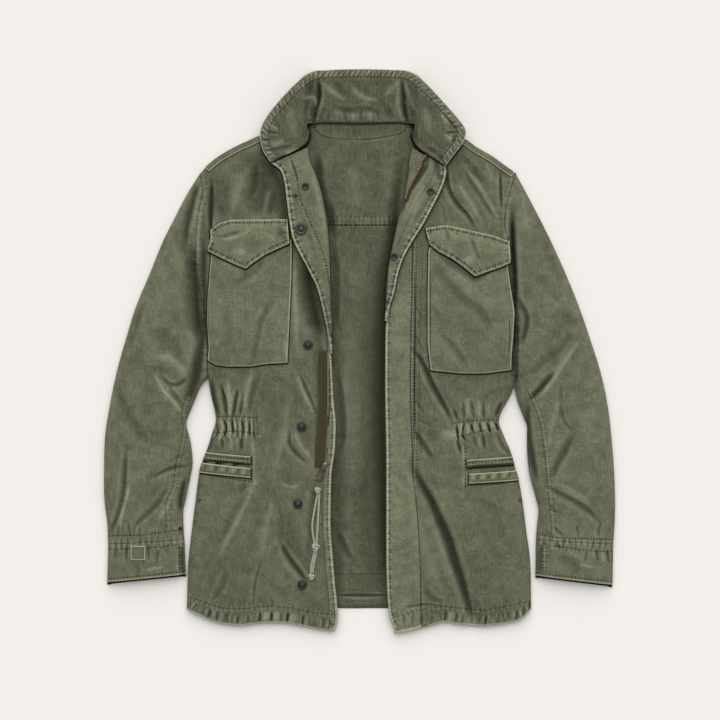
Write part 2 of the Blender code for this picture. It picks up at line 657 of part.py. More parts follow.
def material(name):
    existing = bpy.data.materials.get(name)
    if existing:
        return existing
    colour, roughness, metallic = MATERIALS[name]
    made = bpy.data.materials.new(name)
    made.use_nodes = True
    shader = made.node_tree.nodes["Principled BSDF"]
    shader.inputs["Base Color"].default_value = (*colour, 1.0)
    shader.inputs["Roughness"].default_value = roughness
    shader.inputs["Metallic"].default_value = metallic
    made.diffuse_color = (*colour, 1.0)
    return made


def add_object(name, vertices, faces, finish, smooth=True):
    """A mesh object from points in millimetres, its faces turned outwards."""
    mesh = bpy.data.meshes.new(name)
    mesh.from_pydata([tuple(np.array(v) * MM) for v in vertices], [], faces)
    shape = bmesh.new()
    shape.from_mesh(mesh)
    if shape.calc_volume(signed=True) < 0:
        bmesh.ops.reverse_faces(shape, faces=shape.faces)
    shape.to_mesh(mesh)
    shape.free()
    if smooth:
        mesh.shade_smooth()
        mesh.set_sharp_from_angle(angle=SHARP_ANGLE)
    mesh.materials.append(material(finish))
    made = bpy.data.objects.new(name, mesh)
    bpy.context.scene.collection.objects.link(made)
    return made


def walled(name, outer, inner, faces, rim, finish):
    """A closed wall between two faces that share their triangles, closed along the rim."""
    count = len(outer)
    skins = [tuple(f) for f in faces] + [tuple(i + count for i in reversed(f)) for f in faces]
    sides = []
    for a, b in zip(rim, rim[1:] + rim[:1]):
        sides += [(b, a, a + count), (b, a + count, b + count)]
    return add_object(name, np.vstack([outer, inner]), skins + sides, finish)


def within(points, edge, margin):
    """The points inside an outline, at least a margin from it."""
    points = points[inside(points, edge)]
    distance, _ = nearest(points, segments(edge, True))
    return points[distance > margin]


def staggered(edge, step):
    """Points a step apart in staggered rows over an outline."""
    low, high = edge.min(0), edge.max(0)
    across = np.arange(low[0] + step / 2, high[0], step)
    up = np.arange(low[1] + step / 2, high[1], step)
    rows = [(x + (step / 2) * (row % 2), y) for row, y in enumerate(up) for x in across]
    return np.array(rows).reshape(-1, 2)


def seam_ring(edge, depth):
    """A row of points along the edge seams, a depth in from them."""
    ring = within(inset(edge, depth), edge, depth * 0.8)
    seam_gap, _ = nearest(ring, EDGE_SEAMS)
    return ring[seam_gap < depth * 1.3 + 0.5]


def panel(name, loop, surface, wall, finish="cotton", step=PANEL_STEP, extra=None, rings=()):
    """Cloth cut to an outline in plan and laid on a surface, from one offset to another.

    wall is a function of the points and their distance from the outline, giving both offsets.
    """
    edge = inset(loop, SEAM_GAP / 2)
    points = within(staggered(edge, step), edge, step * 0.3)
    if extra is not None:
        close = within(extra, edge, EDGE_CLEAR)
        points = np.vstack([apart_from(points, close, step * 0.4), close])
    for depth in rings:
        ring = seam_ring(edge, depth)
        points = np.vstack([apart_from(points, ring, depth * 0.45), ring])
    return stitched(name, edge, points, surface, wall, finish)


def stitched(name, edge, points, surface, wall, finish):
    """The triangles of an outline and its inner points, given a wall on a surface."""
    pieces = segments(edge, True)
    xy = np.vstack([edge, points])
    rim_edges = [(i, (i + 1) % len(edge)) for i in range(len(edge))]
    flat, _, faces, _, _, _ = delaunay_2d_cdt([Vector(p) for p in xy], rim_edges, [], 1, 1e-5)
    xy = np.array([tuple(p) for p in flat])
    base, normal = surface(xy)
    distance, _ = nearest(xy, pieces)
    low_offset, high_offset = wall(xy, distance)
    top = base + normal * np.broadcast_to(high_offset, len(xy))[:, None]
    bottom = base + normal * np.broadcast_to(low_offset, len(xy))[:, None]
    return walled(name, top, bottom, faces, list(range(len(edge))), finish)


def plain(low, high):
    return lambda xy, distance: (low, high)


def laid_on(name, loop, carrier, wall, finish="cotton", ring=None):
    """A piece that lies on a panel, made from the panel's own points within its outline."""
    edge = inset(loop, SEAM_GAP / 2)
    places = np.array([tuple(v.co) for v in carrier.data.vertices]) / MM
    points = within(places[:len(places) // 2, :2], edge, OVERLAY_EDGE_CLEAR)
    if ring is not None:
        points = np.vstack([apart_from(points, ring, OVERLAY_RING_CLEAR), ring])

    def surface(xy):
        base, normal = top_surface(xy)
        for k, (x, y) in enumerate(xy):
            landed = landing(carrier, x, y)
            base[k] = landed[0] if landed else base[k]
        return base, normal
    return stitched(name, edge, points, surface, wall, finish)


def draped(name, grid, thickness, finish="cotton"):
    """A closed wall around a grid of points, half its thickness to each side."""
    grid = np.array(grid)
    down = np.gradient(grid, axis=0)
    across = np.gradient(grid, axis=1)
    normal = np.cross(down, across)
    normal /= np.linalg.norm(normal, axis=2)[:, :, None]
    rows, cols = grid.shape[:2]
    outer = (grid + normal * thickness / 2).reshape(-1, 3)
    inner = (grid - normal * thickness / 2).reshape(-1, 3)
    index = np.arange(rows * cols).reshape(rows, cols)
    faces = []
    for i in range(rows - 1):
        for j in range(cols - 1):
            a, b, c, d = index[i, j], index[i + 1, j], index[i + 1, j + 1], index[i, j + 1]
            faces += [(int(a), int(b), int(c)), (int(a), int(c), int(d))]
    rim = list(index[:, 0]) + list(index[-1, 1:]) + list(index[-2::-1, -1]) + list(index[0, -2:0:-1])
    return walled(name, outer, inner, faces, [int(i) for i in rim], finish)


TREES = {}


def landing(carrier, x, y):
    """Where a straight drop at a place in plan meets an object, and the face's direction."""
    mesh = carrier.data
    if carrier.name not in TREES:
        places = [v.co for v in mesh.vertices]
        TREES[carrier.name] = BVHTree.FromPolygons(places, [p.vertices for p in mesh.polygons])
    tree = TREES[carrier.name]
    point, normal, _, _ = tree.ray_cast(Vector((x * MM, y * MM, 1.0)), Vector((0, 0, -1)))
    return (np.array(point) / MM, np.array(normal)) if point else None


def turned(name, profile, place, axis, finish, sides=12):
    """A round piece: (radius, height) rows turned about an axis, standing at a place."""
    axis = Vector(axis).normalized()
    turn = axis.to_track_quat("Z", "Y").to_matrix()
    vertices, faces = [], []
    for radius, height in profile:
        for k in range(sides):
            angle = math.tau * k / sides
            local = Vector((radius * math.cos(angle), radius * math.sin(angle), height))
            vertices.append(np.array(turn @ local) + place)
    for ring in range(len(profile) - 1):
        for k in range(sides):
            a, b = ring * sides + k, ring * sides + (k + 1) % sides
            faces.append((a, b, b + sides, a + sides))
    faces.append(tuple(reversed(range(sides))))
    faces.append(tuple(range((len(profile) - 1) * sides, len(profile) * sides)))
    return add_object(name, vertices, faces, finish)


# ---------------------------------------------------------------- the jacket's pieces

def armhole(side, part="whole"):
    """The armhole seam, or its part beside the yoke or below it."""
    dense = side_line(ARMHOLE, side, 1.0)
    level = np.argmax(dense[:, 1] < YOKE_SEAM_Y)
    yoke = resample(dense[:level + 1], OUTLINE_STEP)
    below = resample(dense[level:], OUTLINE_STEP)
    return {"yoke": yoke, "below": below, "whole": np.vstack([yoke, below[1:]])}[part]


def yoke_seam():
    ends = [armhole(side, "yoke")[-1:] for side in ("right", "left")]
    return resample(np.vstack(ends), SEAM_LINE_STEP)


def build_back():
    wall = plain(0.0, CLOTH)
    neck = smooth_line(columns(BACK_NECK, "x", "y"), OUTLINE_STEP)
    yoke = closed(neck, shoulder_line("left"), armhole("left", "yoke"), yoke_seam()[::-1],
                  armhole("right", "yoke")[::-1], shoulder_line("right")[::-1])
    panel("back_yoke", yoke, under_surface, wall, "cotton_inside", step=WIDE_STEP, rings=UNDER_RINGS)
    sides = {side: side_line(BODY_SIDE, side) for side in SIGN}
    hem = resample(np.vstack([sides["left"][-1:], sides["right"][-1:]]), SEAM_LINE_STEP)
    body = closed(yoke_seam(), armhole("left", "below"), sides["left"], hem, sides["right"][::-1],
                  armhole("right", "below")[::-1])
    panel("back_body", body, under_surface, wall, "cotton_inside", step=WIDE_STEP, rings=UNDER_RINGS)
    over_back = plain(SEAM_GAP, SEAM_GAP + CLOTH)
    panel("neck_facing", closed(smooth_line(columns(NECK_FACING, "x", "y"), TRIM_STEP)), back_inside,
          over_back, "cotton_inside", step=TRIM_STEP)
    band = closed(resample(columns(BACK_HEM_TOP, "x", "y"), SEAM_LINE_STEP),
                  resample(columns(BACK_HEM_LOW, "x", "y"), SEAM_LINE_STEP))
    panel("back_hem_facing", band, back_inside, over_back, "cotton_inside", step=WIDE_STEP)


def lapel_stations(side):
    """Rows down the lapel: roll, free edge and lift."""
    rows = LAPEL[side]
    return smooth_line(np.column_stack([columns(rows, "roll_x", "roll_y", SIGN[side]),
                                        columns(rows, "free_x", "free_y", SIGN[side]),
                                        rows["lift"]]), LAPEL_STEP)


def roll_edge(side, clear):
    """The front's own edge under the lapel, drawn back from the roll."""
    stations = lapel_stations(side)
    roll, free = stations[:, :2], stations[:, 2:4]
    heading = (free - roll) / np.linalg.norm(free - roll, axis=1)[:, None]
    return roll + heading * clear


def gather_points(side):
    """Extra points for the drawn-in waist and the puckered hem of a front."""
    row = 0 if side == "right" else 1
    x_in, y_in, x_out, y_out = (WAIST[key][row] for key in ("x_in", "y_in", "x_out", "y_out"))
    columns_count = int(round(abs(x_out - x_in) / (WAIST_WAVE / 4)))
    waist = []
    for level in WAIST_LEVELS:
        for k in range(columns_count + 1):
            t = k / columns_count
            waist.append((x_in + (x_out - x_in) * t, y_in + (y_out - y_in) * t + level))
    hem = front_hem(side, HEM_WAVE / 4)
    band = [(x, y + level) for level in HEM_LEVELS for x, y in hem]
    return np.array(waist + band)


def front_outline(side):
    hem = front_hem(side, HEM_WAVE / 4)
    neck = np.array([FRONT_NECK]) * (SIGN[side], 1.0)
    roll = roll_edge(side, ROLL_RADIUS + SEAM_GAP)
    seam = front_edge(side, "seam")
    if side == "left":
        hem = hem[hem[:, 0] > LEFT_HEM_FROM]
        roll = roll[roll[:, 1] > LEFT_ROLL_END]
    else:
        hem = hem[hem[:, 0] < RIGHT_HEM_TO]
    return closed(shoulder_line(side), armhole(side), side_line(BODY_SIDE, side), hem,
                  seam[::-1], roll[::-1], neck)


def build_front(side):
    front = panel("front_" + side, front_outline(side), top_surface, plain(-CLOTH, 0.0),
                  extra=gather_points(side), rings=TOP_RINGS)
    edge = front_edge(side, "edge")
    seam = front_edge(side, "seam")
    hem = front_hem(side, HEM_WAVE / 4)
    edge_wall = plain(-CLOTH, DOUBLE_CLOTH - CLOTH)
    if side == "left":
        fly_hem = smooth_line(columns(FLY_HEM, "x", "y"), FLY_HEM_STEP)
        outline = closed(seam, fly_hem, edge[::-1])
        name = "fly_left"
    else:
        outline = closed(seam, hem[hem[:, 0] > UNDERLAP_HEM_FROM], edge[::-1])
        name = "underlap_right"
    panel(name, outline, top_surface, edge_wall, step=TRIM_STEP * 1.5)
    return front


def lapel_grid(side):
    grid = []
    for roll_x, roll_y, free_x, free_y, lift in lapel_stations(side):
        roll, free = np.array([roll_x, roll_y]), np.array([free_x, free_y])
        width = np.linalg.norm(free - roll)
        heading = (free - roll) / width
        base = top_height((roll + heading * (ROLL_RADIUS + SEAM_GAP))[None])[0] - CLOTH / 2
        row = []
        for k in range(ROLL_STEPS):
            angle = math.pi * (k / (ROLL_STEPS - 1) - 0.5)
            plan = roll + heading * ROLL_RADIUS * (1 - math.cos(angle))
            row.append((*plan, base + ROLL_RADIUS * (1 + math.sin(angle))))
        for s in LAPEL_SHARES:
            plan = roll + heading * (ROLL_RADIUS + (width - ROLL_RADIUS) * s)
            under = top_height(plan[None])[0] - CLOTH / 2
            start = base + 2 * ROLL_RADIUS - under
            row.append((*plan, under + start + (lift + LAPEL_CLEAR - start) * soft_step(s)))
        grid.append(row)
    return grid


def build_collar():
    outer = smooth_line(columns(COLLAR_EDGE, "x", "y"), OUTLINE_STEP * 0.75)
    seam = smooth_line(columns(COLLAR_SEAM, "x", "y"), OUTLINE_STEP * 0.75)
    panel("collar", closed(outer, seam), collar_surface, plain(-COLLAR_CLOTH, 0.0), step=COLLAR_STEP)


def sleeve_outline(side):
    seam = resample(np.array([cuff_corner(side, 0), cuff_corner(side, 2)]), OUTLINE_STEP)
    return closed(side_line(SLEEVE_OUTER, side), seam, side_line(SLEEVE_INNER, side)[::-1],
                  armhole(side)[::-1])


def cuff_outline(side, longer):
    """A half of a cuff, its hem longer by an amount."""
    down = np.array([0.0, -longer])
    hem = resample(np.array([cuff_corner(side, 3) + down, cuff_corner(side, 1) + down]), OUTLINE_STEP)
    seam = resample(np.array([cuff_corner(side, 0), cuff_corner(side, 2)]), OUTLINE_STEP)
    return closed(seam, hem)


def build_sleeve(side):
    outline = sleeve_outline(side)
    panel(f"sleeve_{side}_upper", outline, top_surface, plain(-CLOTH, 0.0), step=PANEL_STEP,
          rings=TOP_RINGS)
    panel(f"sleeve_{side}_under", outline, under_surface, plain(0.0, CLOTH), step=WIDE_STEP,
          rings=UNDER_RINGS)
    panel(f"cuff_{side}_upper", cuff_outline(side, 0.0), top_surface, plain(-DOUBLE_CLOTH, 0.0),
          step=CUFF_STEP, rings=TOP_RINGS[:2])
    under = cuff_outline(side, CUFF_SHOWN_UNDER)
    panel(f"cuff_{side}_under", under, under_surface, plain(0.0, DOUBLE_CLOTH),
          step=CUFF_UNDER_STEP, rings=UNDER_RINGS)


def pocket_wall(xy, distance):
    """A pocket bag stands on its turned-in edge and is a little full in the middle."""
    crown = POCKET_CROWN * soft_step(distance / POCKET_CROWN_RUN)
    outer = OVERLAY_GAP + POCKET_RIM + crown
    inner = np.where(distance < POCKET_TURN, OVERLAY_GAP, outer - CLOTH)
    return inner, outer


def flap_wall(side):
    rows = CHEST_FLAP[side]
    sewn = columns(rows, "x", "y", SIGN[side])[rows["lift"] < SEWN_LIFT]

    def wall(xy, distance):
        away, _ = nearest(xy, segments(sewn))
        lift = SEAM_GAP + FLAP_LIFT * soft_step(away / FLAP_LIFT_RUN)
        return lift, lift + DOUBLE_CLOTH
    return wall


def build_pockets(side, front):
    bag = closed(resample(columns(CHEST_POCKET[side], "x", "y", SIGN[side]), POCKET_STEP))
    turned_in = inset(inset(bag, SEAM_GAP / 2), CLOTH + POCKET_TURN_CLEAR)
    laid_on("chest_pocket_" + side, bag, front, pocket_wall, ring=turned_in)
    flap = closed(resample(columns(CHEST_FLAP[side], "x", "y", SIGN[side]), FLAP_STEP))
    laid_on("chest_flap_" + side, flap, front, flap_wall(side),
            ring=staggered(flap, FLAP_INNER_STEP))
    for part in ("band", "welt"):
        inner_x, inner_y, outer_y, width = (v[0] for v in HAND_POCKET[f"{part}_{side}"].values())
        top = hand_pocket_edge(side, inner_x, inner_y, outer_y)
        low = hand_pocket_edge(side, inner_x, inner_y - width, outer_y - width)
        laid_on(f"hand_pocket_{part}_{side}", closed(top, low[::-1]), front,
                plain(OVERLAY_GAP, OVERLAY_GAP + CLOTH))


def hand_pocket_edge(side, inner_x, inner_y, outer_y):
    """A line in from the side seam, with points where the front's roundness turns."""
    line = side_line(BODY_SIDE, side, 2.0)
    side_x = np.interp(-outer_y, -line[:, 1], np.abs(line[:, 0]))
    near = side_x - np.array([HAND_POCKET_OUTER, *TOP_RINGS])
    x = np.concatenate([near, np.linspace(side_x - HAND_POCKET_RING, inner_x, 4)])
    y = np.interp(-x, [-side_x, -inner_x], [outer_y, inner_y])
    return np.column_stack([SIGN[side] * x, y])


def build_epaulette(side, front):
    line = shoulder_line(side)
    along = np.abs(line[:, 0])
    near, far = EPAULETTE_SPAN
    between = (along > near + EPAULETTE_CLEAR) & (along < far - EPAULETTE_CLEAR)
    at = np.concatenate([[near], along[between], [far]])
    line = np.column_stack([SIGN[side] * at, np.interp(at, along, line[:, 1])])
    ahead = np.gradient(line, axis=0)
    ahead /= np.linalg.norm(ahead, axis=1)[:, None]
    inward = np.column_stack([ahead[:, 1], -ahead[:, 0]])
    inward *= np.where(inward[:, 1:] > 0, -1.0, 1.0)
    depths = (EPAULETTE_INSET, *TOP_RINGS[:2])
    outer, middle, low = (line + inward * (SEAM_GAP / 2 + depth) for depth in depths)
    wall = plain(EPAULETTE_GAP, EPAULETTE_GAP + DOUBLE_CLOTH)
    outline = closed(outer, middle[-1:], low[::-1], middle[:1])
    laid_on("epaulette_" + side, outline, front, wall, ring=middle[1:-1])


def build_zip(front):
    outline = closed(resample(columns(ZIP_TAPE_RIGHT, "x", "y"), TAPE_STEP))
    laid_on("zip_tape_right", outline, front, plain(OVERLAY_GAP, OVERLAY_GAP + TAPE_CLOTH), "zip_tape")


def box_mesh(name, size, place, turn, finish, bevel=0.0):
    """A box with softened edges, its base centre at a place."""
    half = np.array(size) / 2
    x_sides, y_sides = (-half[0], half[0]), (-half[1], half[1])
    corners = [(x, y, z) for x in x_sides for y in y_sides for z in (0.0, size[2])]
    faces = [(0, 1, 3, 2), (4, 6, 7, 5), (0, 4, 5, 1), (2, 3, 7, 6), (0, 2, 6, 4), (1, 5, 7, 3)]
    vertices = [np.array(turn @ Vector(c)) + place for c in corners]
    made = add_object(name, vertices, faces, finish, smooth=False)
    if bevel:
        soften = made.modifiers.new("soft_edges", "BEVEL")
        soften.width = bevel * MM
        soften.segments = 2
    return made


def build_slider():
    """Slider with an arch that the pull tab's bar passes through."""
    tape_top = top_height(np.array([SLIDER_PLACE]))[0] + OVERLAY_GAP + TAPE_CLOTH
    base = np.array([*SLIDER_PLACE, tape_top + SLIDER_LIFT])
    heading = Vector((*TAB_HEADING, 0.0)).normalized()
    turn = Matrix((heading.cross(Vector((0, 0, 1))), -heading, (0, 0, 1))).transposed()
    body = box_mesh("zip_slider", SLIDER_SIZE, base, turn, "brass", bevel=SLIDER_SOFT_EDGE)
    height = SLIDER_SIZE[2]
    vertices = []
    for across in (-ARCH_WIDTH / 2, ARCH_WIDTH / 2):
        for along, up in zip(*ARCH_SIDE.values()):
            local = Vector((across, along, height + up))
            vertices.append(np.array(turn @ local) + base)
    count = len(ARCH_SIDE["along"])
    faces = [tuple(range(count)), tuple(reversed(range(count, 2 * count)))]
    faces += [(k, k + count, (k + 1) % count + count, (k + 1) % count) for k in range(count)]
    arch = add_object("slider_arch", vertices, faces, "brass", smooth=False)
    arch.hide_render = True
    arch.display_type = "WIRE"
    joined = body.modifiers.new("arch", "BOOLEAN")
    joined.operation = "UNION"
    joined.object = arch
    bar = base + np.array(turn @ Vector((0.0, -BAR_AHEAD, height + BAR_HEIGHT)))
    return bar, heading


def build_tab(bar, heading):
    """Pull tab: a flat ring, its origin on the bar that turns in the slider's arch."""
    width, length, thick = TAB_SIZE
    half, gap = width / 2, width / 2 - TAB_SIDES
    outer = [(-half, TAB_BAR), (half, TAB_BAR), (half, -length), (-half, -length)]
    inner = [(-gap, -TAB_BAR), (gap, -TAB_BAR), (gap, TAB_END - length), (-gap, TAB_END - length)]
    across = heading.cross(Vector((0, 0, 1)))
    turn = Matrix((across, -heading, (0, 0, 1))).transposed()
    tilt = Matrix.Rotation(TAB_TILT, 3, "X")
    vertices = []
    for up in (-thick / 2, thick / 2):
        for along, y in outer + inner:
            vertices.append(np.array(turn @ (tilt @ Vector((along, y, up)))))
    faces = []
    for k in range(4):
        n = (k + 1) % 4
        faces += [(k, n, n + 4, k + 4), (k + 8, k + 12, n + 12, n + 8)]
        faces += [(k, k + 8, n + 8, n), (k + 4, n + 4, n + 12, k + 12)]
    tab = add_object("zip_pull_tab", vertices, faces, "brass", smooth=False)
    tab.location = bar * MM
    return tab


def lumpy_knot(name, place, long, wide, turn):
    """An overhand knot's outer shape: a short crossed bundle, turned in plan."""
    shape = bmesh.new()
    bmesh.ops.create_icosphere(shape, subdivisions=2, radius=1.0)
    vertices, faces = [], [tuple(v.index for v in f.verts) for f in shape.faces]
    turn = Matrix.Rotation(turn, 3, "Z")
    for v in shape.verts:
        swell = 1.0 + KNOT_SWELL * math.sin(3 * math.atan2(v.co.z, v.co.x) + 3.0 * v.co.y)
        local = Vector((v.co.x * wide * swell, v.co.y * long, v.co.z * KNOT_HEIGHT * swell))
        vertices.append(np.array(turn @ local) + place)
    shape.free()
    return add_object(name, vertices, faces, "cord")


def build_cord():
    names = ("knot_top", "knot_middle", "knot_end")
    for name, x, y, long, wide in zip(names, *CORD_KNOTS.values()):
        ground = top_height(np.array([(x, y)]))[0]
        lumpy_knot(name, np.array([x, y, ground + KNOT_LIFT]), long, wide, KNOT_TURN)
    for name, rows in CORD_STRANDS.items():
        plan = smooth_line(columns(rows, "x", "y"), CORD_POINT_STEP)
        route = np.column_stack([plan, top_height(plan) + CORD_RADIUS + CORD_LIFT])
        line = bpy.data.curves.new("pull_cord_" + name, "CURVE")
        line.dimensions = "3D"
        line.bevel_depth = CORD_RADIUS * MM
        line.bevel_resolution = 2
        line.use_fill_caps = True
        spline = line.splines.new("POLY")
        spline.points.add(len(route) - 1)
        for point, place in zip(spline.points, route):
            point.co = (*(place * MM), 1.0)
        line.materials.append(material("cord"))
        strand = bpy.data.objects.new("pull_cord_" + name, line)
        bpy.context.scene.collection.objects.link(strand)


def stud_on(name, carrier, x, y, shape):
    point, normal = landing(carrier, x, y)
    turned(name, STUD_SHAPES[shape], point + normal * STUD_GAP, normal, "dark_metal")


def build_studs(fronts, lapels):
    for k, (x, y) in enumerate(zip(*FRONT_STUDS.values()), 1):
        stud_on(f"front_stud_{k}", fronts["right"], x, y, "stud")
    for name, (side, x, y, shape) in LAPEL_STUDS.items():
        stud_on(name, lapels[side], x, y, shape)
    for side, x in SIDE_STUD_X.items():
        stud_on("side_stud_" + side, fronts[side], x, SIDE_STUD_Y, "small")


def build_cuff_patch():
    patch = columns(CUFF_PATCH, "x", "y")
    outline = closed(resample(np.vstack([patch, patch[:1]]), PATCH_EDGE_STEP))
    panel("cuff_patch_right", outline, top_surface, plain(SEAM_GAP, SEAM_GAP + PATCH_CLOTH),
          step=PATCH_STEP)


def build_zip_tape_left():
    """The zip's other half lies along the left lapel's facing."""
    carrier = bpy.data.objects["lapel_left"]
    middle = smooth_line(columns(ZIP_TAPE_LEFT, "x", "y"), TAPE_LEFT_STEP)
    ahead = np.gradient(middle, axis=0)
    ahead /= np.linalg.norm(ahead, axis=1)[:, None]
    across = np.column_stack([ahead[:, 1], -ahead[:, 0]])
    grid = []
    for centre, sideways in zip(middle, across):
        row = []
        for offset in TAPE_LEFT_OFFSETS:
            point, normal = landing(carrier, *(centre + sideways * offset))
            row.append(point + np.array(normal) * TAPE_LEFT_REST)
        grid.append(row)
    draped("zip_tape_left", grid, TAPE_CLOTH, "zip_tape")


def clear_scene():
    for item in list(bpy.data.objects):
        bpy.data.objects.remove(item, do_unlink=True)


def main():
    clear_scene()
    build_back()
    fronts = {side: build_front(side) for side in SIGN}
    lapels = {side: draped("lapel_" + side, lapel_grid(side), LAPEL_CLOTH) for side in SIGN}
    build_collar()
    for side, front in fronts.items():
        build_sleeve(side)
        build_pockets(side, front)
        build_epaulette(side, front)
    build_cuff_patch()
    build_zip(fronts["right"])
    build_zip_tape_left()
    bar, heading = build_slider()
    build_tab(bar, heading)
    build_cord()
    build_studs(fronts, lapels)


main()
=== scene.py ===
"""Looks of a cotton field jacket laid open on a pale floor.

The cloth is rebuilt finely over the frame's solids, panel by panel, with its seams, puckers and
creases, then stitched, zipped and studded. Tables and named sizes are in millimetres; meshes are
written in metres. The wearer's right is at -X, the collar at +Y, and Z is up.
"""
import math

import bmesh
import bpy
import numpy as np
from bpy.props import FloatProperty, FloatVectorProperty, PointerProperty
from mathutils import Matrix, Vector
from mathutils.bvhtree import BVHTree
from mathutils.geometry import delaunay_2d_cdt
from mathutils.kdtree import KDTree


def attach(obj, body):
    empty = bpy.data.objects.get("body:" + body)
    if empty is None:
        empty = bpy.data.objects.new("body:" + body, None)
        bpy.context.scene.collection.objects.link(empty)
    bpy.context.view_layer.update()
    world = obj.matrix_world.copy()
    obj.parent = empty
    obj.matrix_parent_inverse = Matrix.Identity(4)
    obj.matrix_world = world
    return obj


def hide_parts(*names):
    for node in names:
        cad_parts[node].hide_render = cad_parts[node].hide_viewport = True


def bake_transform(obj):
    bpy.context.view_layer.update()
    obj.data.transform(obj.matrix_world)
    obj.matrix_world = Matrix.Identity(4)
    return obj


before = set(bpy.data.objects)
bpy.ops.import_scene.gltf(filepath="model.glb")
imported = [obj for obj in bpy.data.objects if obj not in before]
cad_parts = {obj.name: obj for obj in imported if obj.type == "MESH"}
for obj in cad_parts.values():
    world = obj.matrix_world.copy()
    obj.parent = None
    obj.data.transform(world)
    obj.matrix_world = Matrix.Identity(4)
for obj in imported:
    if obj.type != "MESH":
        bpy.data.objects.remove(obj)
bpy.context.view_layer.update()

bl_info = {
    "name": "Field Jacket Cloth",
    "version": (1, 0, 0),
    "blender": (4, 5, 0),
    "location": "View3D > Sidebar > Jacket",
    "description": "Fine cloth, stitching, zip, studs and cord of a field jacket laid open",
    "category": "Add Mesh",
}

MM = 0.001
JACKET = "jacket"
ZIP_PULL = "zip_pull"

# Cloth and seams, as the solids have them
CLOTH = 1.4
DOUBLE_CLOTH = 2.2
COLLAR_CLOTH = 2.6
LAPEL_CLOTH = 1.8
TAPE_CLOTH = 1.0
PATCH_CLOTH = 1.2
SEAM_GAP = 0.3
SEAM_HEIGHT = 5.0
TOP_ROUNDING = 42.0
UNDER_ROUNDING = 9.0
FIELD_SKIN = 0.2
FIELD_TURN = 6.0

# Arms: where the body's loft turns into the sleeves', over what width, and where the hem ends
ARM_SIDE = 225.0
ARM_BLEND = 40.0
HEM_END = 262.0

# Front edges and lapels: the rolls, and how far up or in each edge piece goes
ROLL_RADIUS = 4.0
ROLL_SHARE = 0.45
FLY_TOP = 158.0
FLY_INNER = 95.0
UNDERLAP_TOP = 45.0
UNDERLAP_INNER = 47.5
UNDERLAP_HEM = 45.5
ROLL_START = 2.0
BAR_TACK_Y = -186.0
LAPEL_TIP_LIFT = 1.0

# Collar, neck and shoulders
COLLAR_REST = 60.0
COLLAR_RISE_RUN = 32.0
COLLAR_LIFT = 24.6
COLLAR_TIP = 105.0
COLLAR_TIP_RUN = 50.0
COLLAR_DROOP = 1.6
COLLAR_CREASE = 1.6
CREASE_PLACE = 22.0
CREASE_WIDTH = 9.0
COLLAR_SEAM_DEPTH = 12.4
RIB_DEPTH = 7.0
NECK_CENTRE = 2.3
NECK_POINT = (96.0, 309.0)
NECK_TUCK = 1.8
YOKE_SEAM_Y = 189.0
EPAULETTE_SPAN = (149.0, 231.0)
EPAULETTE_DEPTH = 9.15
EPAULETTE_EDGE = 0.45
EPAULETTE_GAP = 0.7
EPAULETTE_INSET = 2.2

# Pockets, cuffs and the cuff's patch
OVERLAY_GAP = 0.5
POCKET_RIM = 3.0
POCKET_RIM_RUN = 7.0
POCKET_EDGE_SHARE = 0.45
POCKET_CROWN = 1.1
POCKET_CROWN_RUN = 45.0
FLAP_LIFT = 5.2
FLAP_LIFT_RUN = 20.0
FLAP_PUCKER_DEPTH = 5.0
HAND_POCKET_INSET = 0.6
BAND_INSETS = (4.6, 11.0)
WELT_INSET = 12.5
WELT_FOLD_PITCH = 8.0
WELT_FOLD = (2.6, 0.55)
WELT_FOLD_LEAN = (-3.0, -11.0)
WELT_FOLD_TOP = (0.0, -2.0)
MOUTH_FOLD = (3.0, 1.0)
MOUTH_DROP = (0.0, 0.6)
CUFF_UNDER = 3.6
# How far down reaches the outline whose painted shadow darkens the under cuff
CUFF_SHADE = 3.4
PATCH_INSET = 2.0

# Gathers
WAIST_WAVE = 9.0
WAIST_DEPTH = 1.15
WAIST_REACH = 32.0
HEM_WAVE = 12.0
HEM_DEPTH = 1.2
HEM_BAND = 22.0
HEM_TICK_WIDTH = 2.8
HEM_TICK_DEPTH = 1.2
HEM_TICK_PATH = ((0.0, 1.0), (0.8, 8.0), (2.0, 17.0))
HEM_PUCKERS_UP = 9.5

# Small puckers: how far each may shift and slant, and the ranges of reach, depth and width
PUCKER_SHIFT = 0.35
PUCKER_SLANT = 0.3
PUCKER_REACHES = (0.6, 1.15)
PUCKER_DEPTHS = (0.45, 1.2)
PUCKER_WIDTHS = (0.8, 1.3)
PUCKER_TURNS = (1.0, -0.9)

# Fine sampling of the cloth
EDGE_STEP = 2.0
BAND_STEP = 2.0
BAND_ROWS = (-3.4, -1.3, 0.0, 1.3, 3.4)
ROW_GAP = 0.9
EDGE_ROWS = (0.8, 1.8, 3.2)
BACK_STEP = 14.0
BACK_SHOWN = 84.0
LAPEL_ROW = 2.0
ROLL_ANGLES = 10
LAPEL_COLUMNS = 31
POINTS_AT_ONCE = 4000

# Unevenness: waves along a line, and the bends and crumples of washed cotton
WANDER_WAVES = ((0.061, 0.5), (0.143, 0.3), (0.377, 0.2))
LATTICE_CELLS = 64
LATTICE_CORNER = 1000.0
BEND_SIZE = 70.0
BEND_REACH = 16.0
CRUMPLE_STRETCH = (1.0, 0.6)
CRUMPLES = ((0.7, 34.0), (0.35, 15.0), (0.12, 6.0))
# Painted shade in the crumples' hollows and painted highlight on their crests
RUMPLE_START = 0.15
RUMPLE_SHADE = 0.26
RUMPLE_HIGHLIGHT = 0.18

# Rounded rims, the inside's distance from the outside, and the least heights of both
RIM_ROUNDING = 1.6
INNER_SINK = 5.0
SINK_RUN = 14.0
OUTER_LEAST = 2.6
INNER_LEAST = 1.6
LEAST_BLEND = 0.8

